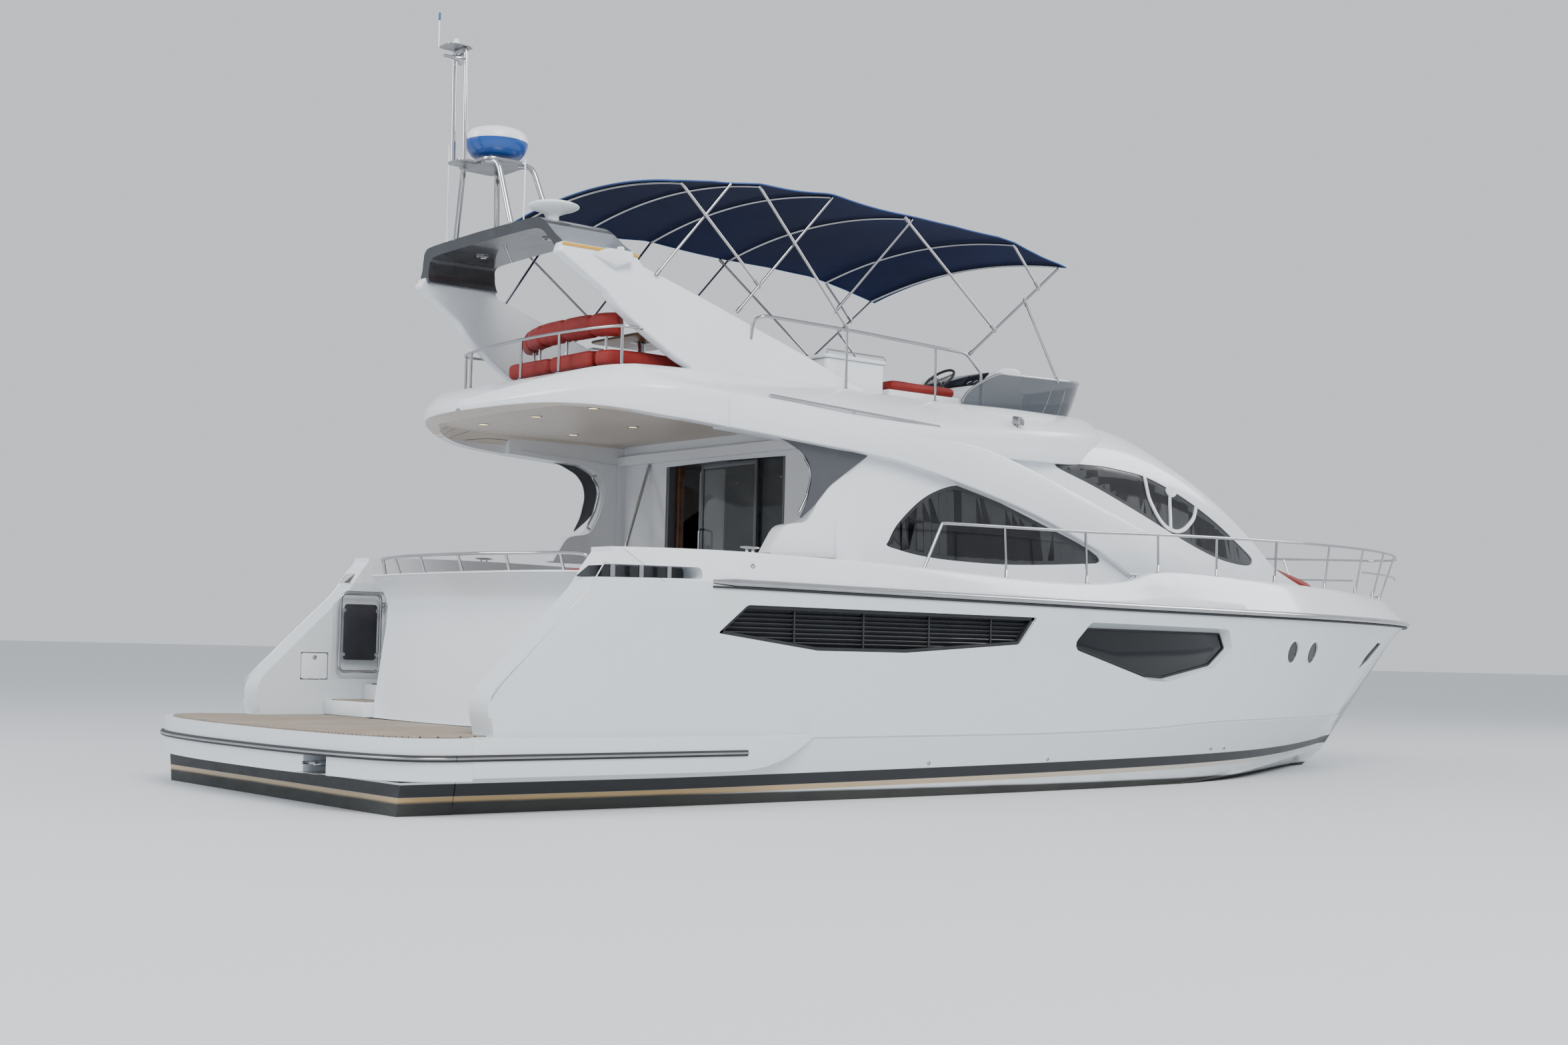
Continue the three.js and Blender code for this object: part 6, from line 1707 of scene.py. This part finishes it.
sink_lid = rounded_block("sink_lid", "z", 5060, 5430, -1240, -860, 4396, 4404, 60, 5)
dress(sink_lid, brushed, round_off=2)
bar_rail = [(4690, -1320, 4398), (4690, -1320, 4436), (5480, -1320, 4436), (5480, -1320, 4398)]
tubes("bar_rail", [bent(bar_rail, 30)], 9)

CONSOLE = [(7080, 3722), (7020, 4270), (7090, 4330), (7300, 4520), (7420, 4560), (7600, 4566), (7665, 4500),
           (7678, 4360), (7678, 3722)]
desk = prism("helm_desk", "y", rounded(CONSOLE, 60, 4), -1178, 58)
dress(desk, white, replaces=("helm_console",), round_off=26, steps=4)
slope = math.atan2(190, 210)


def on_desk(u, v, lift):
    """A point on the desk's slope: u across the boat, v up the slope."""
    c, s = math.cos(slope), math.sin(slope)
    return (7090 + v * c - lift * s, u, 4330 + v * s + lift * c)


def slab(name, outline, low, high):
    return loft(name, [[on_desk(u, v, w) for u, v in outline] for w in (low, high)])


panel = slab("helm_panel", rounded(box_plan(-1060, -60, 30, 255), 40, 4), 2, 7)
dress(panel, gloss_black, round_off=2)
screens = [slab("dial", circle(38, 28, (u, 70)), 6, 13) for u in (-980, -880, -240, -140)]
screens.append(slab("plotter", rounded(box_plan(-760, -420, 60, 240), 14, 3), 6, 14))
dress(joined("helm_dials", screens), hatch_glass, round_off=1)
hub = Vector(on_desk(-560, -20, 150))
axis = (Vector(on_desk(0, 0, 1)) - Vector(on_desk(0, 0, 0))).normalized()
upward = axis.cross(Vector((0, 1, 0)))


def on_wheel(angle, radius):
    return tuple(hub + radius * (math.cos(angle) * Vector((0, 1, 0)) + math.sin(angle) * upward))


rim_line = [on_wheel(2 * math.pi * i / 48, 190) for i in range(49)]
spokes = [[tuple(hub), on_wheel(math.radians(angle), 188)] for angle in (90, 210, 330)]
tubes("helm_wheel_rim", [rim_line], 15, rubber)
tubes("helm_wheel_spokes", spokes + [[tuple(hub + axis * 10), tuple(hub - axis * 150)]], 11)
tubes("throttle_levers", [bent([on_desk(u, 120, 0), on_desk(u, 120, 90), on_desk(u + 14, 90, 130)], 20)
                          for u in (-330, -300)], 9)

# %% [markdown]
# The flybridge's screen is one bent sheet of smoked acrylic with a tube along its top. It leans forward,
# and its height grows from nothing at its aft ends.

# %% Flybridge screen
SCREEN = [(6340, 1545), (6900, 1515), (7600, 1430), (8200, 1280), (8540, 950), (8660, 450), (8685, 0)]
SCREEN_RAKE = 190
screen_line = spline(across_centre(SCREEN), 120)
screen_rings, rail_line = [], []
for i, (x, y) in enumerate(screen_line):
    tx, ty = heading(screen_line, i)
    low = column(FLY, 4, x) - 25
    high = low + 60 + 345 * math.sqrt(clamp((x - 6340) / 420)) + 40 * clamp((x - 7000) / 1200)
    lean = SCREEN_RAKE * (high - low) / 405
    ring = []
    for t, out in [(t, 0) for t in (0, 0.35, 0.7, 1)] + [(t, 10) for t in (1, 0.7, 0.35, 0)]:
        out += 14 * math.sin(math.pi * t)
        ring.append((x + lean * t - out * ty, y + out * tx, low + (high - low) * t))
    screen_rings.append(ring)
    rail_line.append((x + lean - 5 * ty, y + 5 * tx, high + 2))
screen = loft("smoked_screen", screen_rings)
dress(screen, smoked, replaces=("fly_windscreen",), crease=50)
tubes("screen_top_rail", [rail_line], 13)
tubes("screen_bars", [screen_rings[i][:4] for i in (22, 44, 60, 76, 98)], 8)

# %% [markdown]
# ## The stern
# The swim platform is a thick moulding with a black fender strip in its edge and teak on top. Ahead of it
# the transom moulding leans forward and flares at its top, and steps climb to the cockpit on the port side.

# %% Platform, fender and teak
PLATFORM = across_centre(spline([(-0.3, 2596), (-150, 2590), (-280, 2566), (-480, 2450), (-640, 2150),
                                 (-760, 1600), (-835, 800), (-850, 0)], 60))
platform = prism("platform_moulding", "z", PLATFORM, 290, 630)
carve(platform, block("ladder notch", -950, -560, -1560, -1220, 280, 450),
      block("underbody", -520, 0, -2400, 2400, 0, 291))
dress(platform, hull_gelcoat, replaces=("swim_platform",), crease=40)
FENDER_LINE = across_centre(spline([(2800, 2571), (1400, 2585), (0, 2601), (-160, 2594), (-290, 2574),
                                    (-493, 2455), (-651, 2156), (-771, 1604), (-846, 802), (-861, 0)], 110))
FENDER_Z = 472
# A section's points are how far out from the line, and how high.
FENDER = [(-14, -26), (8, -27), (15, -22), (19, -11), (20, 0), (19, 11), (15, 22), (8, 27), (-14, 26)]
INSERT = [(14, -9), (21, -9), (24, -6), (25.5, 0), (24, 6), (21, 9), (14, 9)]


def edge_strip(name, section):
    rings = []
    for i, (x, y) in enumerate(FENDER_LINE):
        tx, ty = heading(FENDER_LINE, i)
        outward = -1 if tx * y - ty * (x - 1000) < 0 else 1
        rings.append([(x - ty * outward * o, y + tx * outward * o, FENDER_Z + h) for o, h in section])
    return loft(name, rings)


fender = edge_strip("fender_strip", FENDER)
dress(fender, rubber, replaces=("platform_fender",), crease=50)
dress(edge_strip("fender_insert", INSERT), brushed, crease=50)
dress(block("ladder_box", -856, -560, -1556, -1224, 300, 306), brushed, round_off=1)
tubes("bathing_ladder", [[(-840, y, 380), (-575, y, 380)] for y in (-1500, -1280)]
      + [[(x, -1500, 380), (x, -1280, 380)] for x in (-780, -690, -600)], 14)
refined("platform_teak", teak_deck, round_off=3)
refined("cockpit_teak", teak_deck, round_off=3)

# %% Transom moulding and steps
MOULDING_BOW = [(-2060, 340), (-1800, 190), (-1400, 90), (-900, 30), (-300, 0), (400, 10), (1200, 70)]
face_line = spline([(1000, 642.3), (1040, 960), (1085, 1300), (1125, 1600), (1120, 1780), (1060, 1900),
                    (975, 2000), (945, 2030)], 28)
moulding_rings = []
for i in range(61):
    y = -2059.7 + (1199.7 + 2059.7) * i / 60
    back = column(MOULDING_BOW, 1, y)
    ring = [(x + back, y, z) for x, z in face_line]
    ring += [(950 + back, y, 2040), (968 + back, y, 2045), (1480, y, 2045), (1500, y, 2043), (1612, y, 2006),
             (1619.7, y, 1996), (1619.7, y, 642.3)]
    moulding_rings.append(ring)
transom = [loft("face", moulding_rings),
           prism("seat", "z", rounded(box_plan(1600, 2249, -2059.7, 1149.7), 30), 1312.3, 1639)]
dress(joined("transom_moulding", transom), white, replaces=("stern_moulding",), crease=35)
refined("boarding_steps", white, round_off=14, steps=3)
STEP = {"x": 967, "rise": 160, "run": 441}
treads = []
for i in range(4):
    x0, z = STEP["x"] + i * STEP["run"], 630 + (i + 1) * STEP["rise"]
    treads.append(rounded_block("tread", "z", x0 + 40, min(2700, x0 + STEP["run"] - 30), 1270, 1990,
                                z + 0.4, z + 9, 50))
dress(joined("step_treads", treads), teak_tread, round_off=3)
refined("engine_hatch", teak_deck, "engine_lid", round_off=3)
rings = [lathe("pull", [(34, 0), (34, 3), (28, 4), (26, 1), (0, 1)], (3130, y, 1312), steps=28)
         for y in (-260, 260)]
dress(joined("engine_hatch_pulls", rings), steel, "engine_lid", crease=30)
for where in ("stbd", "port"):
    refined(f"engine_{where}", engine_paint, round_off=30, steps=3)
    refined(f"propeller_{where}", bronze, f"propeller_{where}_body", round_off=0, crease=45)
    refined(f"rudder_{where}", bronze, f"rudder_{where}_body", round_off=4)

# %% [markdown]
# The locker's lid hangs on two hinges along its lower edge. The gate is a bent tube with a dark panel
# clipped in, and swings on lugs at the port quarter.

# %% Locker lid and boarding gate
lid = rounded_block("locker_cover", "y", 714, 998, 998, 1257, 2062.5, 2081.5, 26, 5)
hinge = [lathe("barrel", [(6.5, -25), (7.5, -23), (7.5, 23), (6.5, 25)], (x, 2062, 996), axis="x", steps=16)
         for x in (780, 930)]
lock = lathe("lock", [(0, 0), (20, 0), (22, -3), (22, -8), (16, -10), (6, -10), (5, -7), (0, -7)],
             (856, 2064, 1215), axis="y", steps=32)
dress(lid, white, "locker", replaces=("locker_lid",), round_off=4, steps=3)
dress(joined("locker_fittings", hinge + [lock]), steel, "locker", crease=35)
GATE = {"x0": 1110, "x1": 1560, "z0": 1075, "z1": 1870, "y": 2030}
corners = [(GATE[x], GATE["y"], GATE[z]) for x, z in (("x0", "z0"), ("x0", "z1"), ("x1", "z1"), ("x1", "z0"))]
middle_low = ((GATE["x0"] + GATE["x1"]) / 2, GATE["y"], GATE["z0"])
tubes("gate_frame", [bent([middle_low] + corners + [middle_low], 70)], 16, body="gate",
      replaces=("boarding_gate",))
panel = rounded_block("gate_panel", "y", 1150, 1520, 1195, 1765, 2025, 2035, 40)
dress(panel, gate_dark, "gate", round_off=2)
clips = [rounded_block("clip", "y", x, x + 52, z - 18, z + 18, 2021, 2039, 10)
         for x in (1118, 1500) for z in (1250, 1700)]
clips += [lathe("knuckle", [(13, -20), (13, 20)], (1620, 2030, z), steps=20) for z in HINGE_HEIGHTS]
clips += [block("leaf", 1560, 1620, 2025, 2035, z - 19, z + 19) for z in HINGE_HEIGHTS]
dress(joined("gate_fittings", clips), steel, "gate", round_off=2)

# %% [markdown]
# ## Openings in the topsides
# The louvre's blades are all alike, so Geometry Nodes repeat one blade down a line. The blades are then
# trimmed to the frame's outline.

# %% Louvres
blade_tree = Grow("louvre blades", Length=("Float", 4.1), Pitch=("Float", 0.042), Count=("Int", 10),
                  Slope=("Float", 0.6))
blade = blade_tree.node("GeometryNodeMeshCube", values={"Size": (1.0, 0.052, 0.006)})
size = blade_tree.node("ShaderNodeCombineXYZ", values={0: blade_tree.given("Length"), 1: 1.0, 2: 1.0})
pitch = blade_tree.node("ShaderNodeCombineXYZ", values={2: blade_tree.given("Pitch")})
ladder = blade_tree.node("GeometryNodeMeshLine", {"mode": "OFFSET", "count_mode": "TOTAL"},
                         {"Count": blade_tree.given("Count"), "Offset": pitch})
lean = blade_tree.node("ShaderNodeCombineXYZ", values={0: blade_tree.given("Slope")})
stack = blade_tree.node("GeometryNodeInstanceOnPoints", values={"Points": ladder, "Instance": blade,
                                                                "Rotation": lean, "Scale": size})
start = blade_tree.node("ShaderNodeCombineXYZ", values={0: (4560 - AMIDSHIPS) / 1000, 2: 1.405})
rows = blade_tree.node("GeometryNodeTransform", values={"Geometry": stack, "Translation": start})
blade_tree.close(rows, blade_grey)
LOUVRE_Y = 2372


def clipped(made, outline):
    """Cut away what lies outside a convex outline in the side view, one straight cut for each edge."""
    mesh = bmesh.new()
    mesh.from_mesh(made.data)
    turn = winding(outline)
    for (ax, az), (bx, bz) in zip(outline, outline[1:] + outline[:1]):
        cut = bmesh.ops.bisect_plane(mesh, geom=mesh.verts[:] + mesh.edges[:] + mesh.faces[:],
                                     plane_co=metres((ax, 0, az)), clear_outer=True,
                                     plane_no=Vector((bz - az, 0, ax - bx)) * turn)
        edges = [g for g in cut["geom_cut"] if isinstance(g, bmesh.types.BMEdge)]
        bmesh.ops.holes_fill(mesh, edges=edges, sides=0)
    mesh.to_mesh(made.data)
    mesh.free()
    return made


for side, where in SIDES:
    blades = blade_tree.run(f"louvre_blades_{where}", [(0, 0, 0)], [], Slope=0.62 * side)
    for vert in blades.data.vertices:
        vert.co.y += LOUVRE_Y * side / 1000
    clipped(blades, offset(LOUVRE_CORNERS, -26))
    back = through("back", offset(LOUVRE, -4), RECESS + 0.5, RECESS + 12, side)
    rim_part = rim_ring("rim", offset(LOUVRE, -4), 28, RECESS + 12.3, RECESS + 104,
                        lambda x, z, y: (x, y * side, z))
    bars = [prism("bar", "x", box_plan((RECESS + 6) * side, (RECESS + 70) * side, 1380, 1800), x - 9, x + 9)
            for x in (3450, 4300, 5150, 6000)]
    for bar in bars:
        clipped(bar, offset(LOUVRE_CORNERS, -26))
    dress(blades, blade_grey, crease=30)
    louvre = joined(f"louvre_shape_{where}", [back, rim_part] + bars)
    dress(louvre, louvre_black, replaces=(f"louvre_{where}",), crease=30)

# %% Windows and portholes of the topsides
for side, where in SIDES:
    glass = through(f"hull_glass_{where}", HULL_WINDOW, RECESS - 59.5, RECESS - 40, side)
    dress(glass, hull_glass, replaces=(f"hull_window_{where}",), round_off=1)
    seal = rim_ring(f"hull_window_seal_{where}", offset(HULL_WINDOW, -0.5), 16, RECESS - 39.5, RECESS - 31,
                    lambda x, z, y: (x, y * side, z))
    dress(seal, rubber)


def topside_y(x, z):
    """How far out the topside is at a place, read from the finished hull."""
    hit, spot, _, _ = hull_shape.ray_cast(metres((x, -6000, z)), Vector((0, 1, 0)))
    return abs(spot.y) * 1000 if hit else 2300


BOW_MID = (14080, 1495)
slope_x = (topside_y(14480, 1495) - topside_y(13700, 1495)) / 780
slope_z = (topside_y(14080, 1760) - topside_y(14080, 1230)) / 530
bow_y = (topside_y(14480, 1495) - slope_x * 400 + topside_y(13700, 1495) + slope_x * 380) / 2
for side, where in SIDES:
    rings = [[(x, (bow_y + slope_x * (x - BOW_MID[0]) + slope_z * (z - BOW_MID[1]) + out) * side, z)
              for x, z in offset(BOW_WINDOW, 2)] for out in (-34, -22)]
    dress(loft(f"bow_glass_{where}", rings), hull_glass)
print("bow window", round(bow_y), round(slope_x, 3), round(slope_z, 3))

PORTHOLE_RING = [(126, -60), (126, -3), (130, 5), (140, 9), (150, 7), (155, 1), (155, -6), (140, -60)]
for side, where in SIDES:
    parts, panes = [], []
    for cx, cz in PORTHOLES:
        left, right_y = topside_y(cx - 175, cz), topside_y(cx + 175, cz)
        low_y, high_y = topside_y(cx, cz - 175), topside_y(cx, cz + 175)

        def on_side(u, v, out):
            y = (left + right_y) / 2 + (right_y - left) * u / 350 + (high_y - low_y) * v / 350
            return (cx + u, (y + out) * side, cz + v)
        rings = [[on_side(u, v, out) for u, v in circle(radius, 48)] for radius, out in PORTHOLE_RING]
        parts.append(loft("ring", rings + rings[:1], capped=False))
        panes.append(loft("pane", [[on_side(u, v, out) for u, v in circle(127, 48)] for out in (-32, -22)]))
    dress(joined(f"porthole_rings_{where}", parts), white, crease=40)
    dress(joined(f"porthole_glass_{where}", panes), hull_glass)

# %% [markdown]
# ## The saloon and its door
# The door has a dark frame, a fixed pane and a sliding one. The furniture inside shows through dark glass
# and past the open door, so it is plain joinery with soft edges, and upholstery on the sofa.

# %% Saloon
refined("door_frame", door_grey, round_off=4)
refined("door_pane_fixed", door_glass, round_off=1)
refined("saloon_furniture", saloon_wood, round_off=12)
sliding = block("door_glass_sliding", 4428, 4442, -520, 360, 1430, 3300)
dress(sliding, door_glass, "saloon_door", replaces=("door_sliding",), round_off=1)
STILES = ((-560, -515, 1386, 3349), (355, 400, 1386, 3349), (-515, 355, 1386, 1436),
          (-515, 355, 3299, 3349))
stiles = [block("stile", 4425, 4445, *sides) for sides in STILES]
dress(joined("door_stiles", stiles), door_grey, "saloon_door", round_off=3)
handle = [(4430, 330, 2150), (4362, 330, 2150), (4362, 330, 2650), (4430, 330, 2650)]
tubes("door_handle", [bent(handle, 40)], 12, body="saloon_door")
sofa = [pad(box_plan(x0, x1, 1060, 1550), 1782, 1880, 6) for x0, x1 in ((5610, 7190), (7200, 8790))]
dress(joined("saloon_sofa_seat", sofa), red_seat, crease=60)

# %% [markdown]
# The hatch on the foredeck is a smoked pane in a metal frame, hinged at its aft edge.

# %% Foredeck hatch
hatch = rounded_block("deck_hatch_pane", "z", 15078, 15342, -142, 142, 2122, 2138, 40, 5)
dress(hatch, hatch_glass, "deck_hatch", replaces=("foredeck_hatch",), round_off=2)
hatch_rim = rim_ring("rim", rounded(box_plan(15062, 15358, -158, 158), 50, 5), 18, 2119, 2143,
                     lambda x, y, z: (x, y, z))
barrels = [lathe("barrel", [(7.4, -25), (7.4, 25)], (15060, y, 2118), axis="y", steps=16)
           for y in (-100, 100)]
dress(joined("deck_hatch_frame", [hatch_rim] + barrels), brushed, "deck_hatch", round_off=2)

# %% [markdown]
# ## Fittings
# Small fittings tell the size of a boat: lamps in the lining, a floodlight on the band, cleats, outlets in
# the boot stripe, hand rails beside the door.

# %% Lamps, handrails and small fittings
lamp_rings, lamp_lenses = [], []
for x, y in ((2100, 1000), (2100, 0), (2100, -1000), (3250, 1100), (3250, 0), (3250, -900)):
    lamp_rings.append(lathe("ring", [(62, 0), (62, -5), (54, -9), (44, -6), (44, 0)], (x, y, 3618), steps=36))
    lamp_lenses.append(lathe("lens", [(0, 0), (45, 0), (43, -5), (0, -7)], (x, y, 3618), steps=36))
dress(joined("ceiling_lamp_rings", lamp_rings), steel, crease=35)
dress(joined("ceiling_lamp_lenses", lamp_lenses), lamp_glow, crease=35)
STAIR_RAIL = bent([(4080, 1300, 2330), (4090, 1300, 2450), (4400, 1300, 3440), (4460, 1300, 3490),
                   (4620, 1300, 3490)], 60)
tubes("stair_handrail", [STAIR_RAIL], 18)
PILLAR_RAIL = [(4050, 3285), (3985, 3262), (4062, 3175), (4086, 3065), (4038, 2880), (3935, 2700),
               (3990, 2668)]
for side, where in SIDES:
    tubes(f"pillar_handrail_{where}", [bent([(x, 1835 * side, z) for x, z in PILLAR_RAIL], 34)], 14)
GREY_PANEL = rounded([(3384, 3415), (4715, 3326), (4467, 3160), (4205, 2982), (4023, 2784), (3835, 2630),
                      (3930, 2806), (3986, 3038), (3956, 3179), (3861, 3286), (3638, 3381)], 60)
for side, where in SIDES:
    grey = through(f"side_panel_{where}", GREY_PANEL, 1958, 1972, side)
    dress(grey, side_grey, round_off=3)
LAMP_BODY = rounded([(-2052, 3790), (-1940, 3815), (-1940, 3900), (-2052, 3880)], 18)
flood = [prism("body", "x", LAMP_BODY, 6730, 6800),
         lathe("stem", [(22, -30), (18, 0), (16, 70)], (6765, -1975, 3760), steps=20)]
dress(joined("floodlight", flood), brushed, round_off=6)
POD = [(1780, 1352, 4985), (1960, 1340, 5072), (2215, 1330, 5066), (2240, 1340, 4965), (2050, 1360, 4868),
       (1985, 1450, 5048), (2190, 1452, 5048), (2205, 1462, 4965), (2040, 1440, 4900)]
pods = []
for side in (-1, 1):
    mesh = bmesh.new()
    for x, y, z in POD:
        mesh.verts.new(metres((x, y * side, z)))
    bmesh.ops.convex_hull(mesh, input=mesh.verts)
    data = bpy.data.meshes.new("pod")
    mesh.to_mesh(data)
    mesh.free()
    pod = bpy.data.objects.new("pod", data)
    bpy.context.scene.collection.objects.link(pod)
    lamp = lathe("lamp", [(0, -10), (36, -10), (36, 16), (30, 24), (0, 25)], (2090, 1400 * side, 5062),
                 steps=28)
    pods += [pod, lamp]
dress(joined("side_light_pods", pods), white, round_off=8)
CLEAT_BAR = ((-110, 3), (-100, 8), (-60, 12), (0, 13), (60, 12), (100, 8), (110, 3))
cleats = []
for side in (1, -1):
    for x in (2950, 8250, 14600):
        y, z = rim(x)
        y -= 55
        cleats += [lathe("stem", [(17, 0), (12, 14), (12, 40)], (x + dx, y * side, z - 3), steps=16)
                   for dx in (-35, 35)]
        cleats.append(loft("bar", [[(x + dx, v, w) for v, w in circle(r, 14, (y * side, z + 44))]
                                   for dx, r in CLEAT_BAR]))
dress(joined("cleats", cleats), steel, crease=50)
OUTLETS = ((2920, 2142, 24), (5200, 330, 20), (6900, 335, 18), (9800, 390, 18), (10100, 390, 18))
outlets = []
for side in (1, -1):
    for x, z, radius in OUTLETS:
        y = topside_y(x, z)
        outlets.append(lathe("outlet", [(radius, -4 * side), (radius, 5 * side), (radius * 0.8, 8 * side),
                                        (radius * 0.55, 8 * side), (radius * 0.5, -2 * side)],
                             (x, y * side, z), axis="y", steps=28))
dress(joined("skin_fittings", outlets), brushed, crease=35)
strips = [[(x + 3, 2391 * side, z + 3) for x, z in WING_EDGE[6:32]] for side in (1, -1)]
tubes("wing_edge_strips", strips, 7)

# %% [markdown]
# A white hoop with a hub and a spoke stands on the glass of each upper side window. Its parts are cut from
# a thin skin that follows the moulding, like the panes.

# %% The white hoop in the upper side windows
HOOP = spline([(9120, 3520), (9134, 3458), (9163, 3331), (9199, 3203), (9279, 3071), (9370, 2962),
               (9493, 2885), (9654, 2854), (9817, 2882), (9941, 2947), (10055, 3029), (10107, 3111),
               (10133, 3202), (10140, 3260)], 60)


def band_along(path, half):
    """A closed outline that follows a path at a given half width."""
    left, right = [], []
    for i, (x, z) in enumerate(path):
        tx, tz = heading(path, i)
        left.append((x - tz * half, z + tx * half))
        right.append((x + tz * half, z - tx * half))
    return left + right[::-1]


HUB = [(9640 + 100 * u, 3318 + 66 * v) for u, v in circle(1, 40)]
SPOKE = [(9618, 3330), (9586, 3060), (9557, 2870)]
for side, where in SIDES:
    frame_bits = []
    for outline in (band_along(HOOP, 21), band_along(SPOKE, 19), HUB):
        field = prism("field", "y", outline, *sorted((1000 * side, 2300 * side)))
        frame_bits.append(house_skin("skin", -3, 13, field, 8900, 10400, 30))
    dress(joined(f"screen_hoop_{where}", frame_bits), white)

# %% [markdown]
# Past the open door one sees wooden jambs and a light panel.

# %% What shows through the saloon door
jambs = [block("jamb", 4510, 4580, y0, y1, 1352, 3390) for y0, y1 in ((905, 985), (-1040, -985))]
dress(joined("saloon_jambs", jambs), saloon_wood, round_off=5)
# The side wall is in the darker gelcoat that stands for painted shade.
side_wall = rounded_block("saloon_side_wall", "x", 420, 880, 1352, 3330, 4760, 4790, 40)
dress(side_wall, gelcoat_painted_shade, round_off=4)

# %% [markdown]
# ## The floor
# The boat floats, so the plain pale floor lies at the waterline and its body shows above it.

# %% Floor
sheet_of_floor = mesh_object("floor", [(x * 1000, y * 1000, 0) for x, y in
                                       ((-400, -400), (400, -400), (400, 400), (-400, 400))], [(0, 1, 2, 3)])
floor_paint = Finish("pale floor")
speckle = floor_paint.noise(0.4, detail=2)
sheet_of_floor.data.materials.append(floor_paint.wear(
    base_color=floor_paint.blend(speckle, rgb(0.66, 0.68, 0.70), rgb(0.64, 0.66, 0.68)),
    roughness=0.6 + speckle * 0.05))
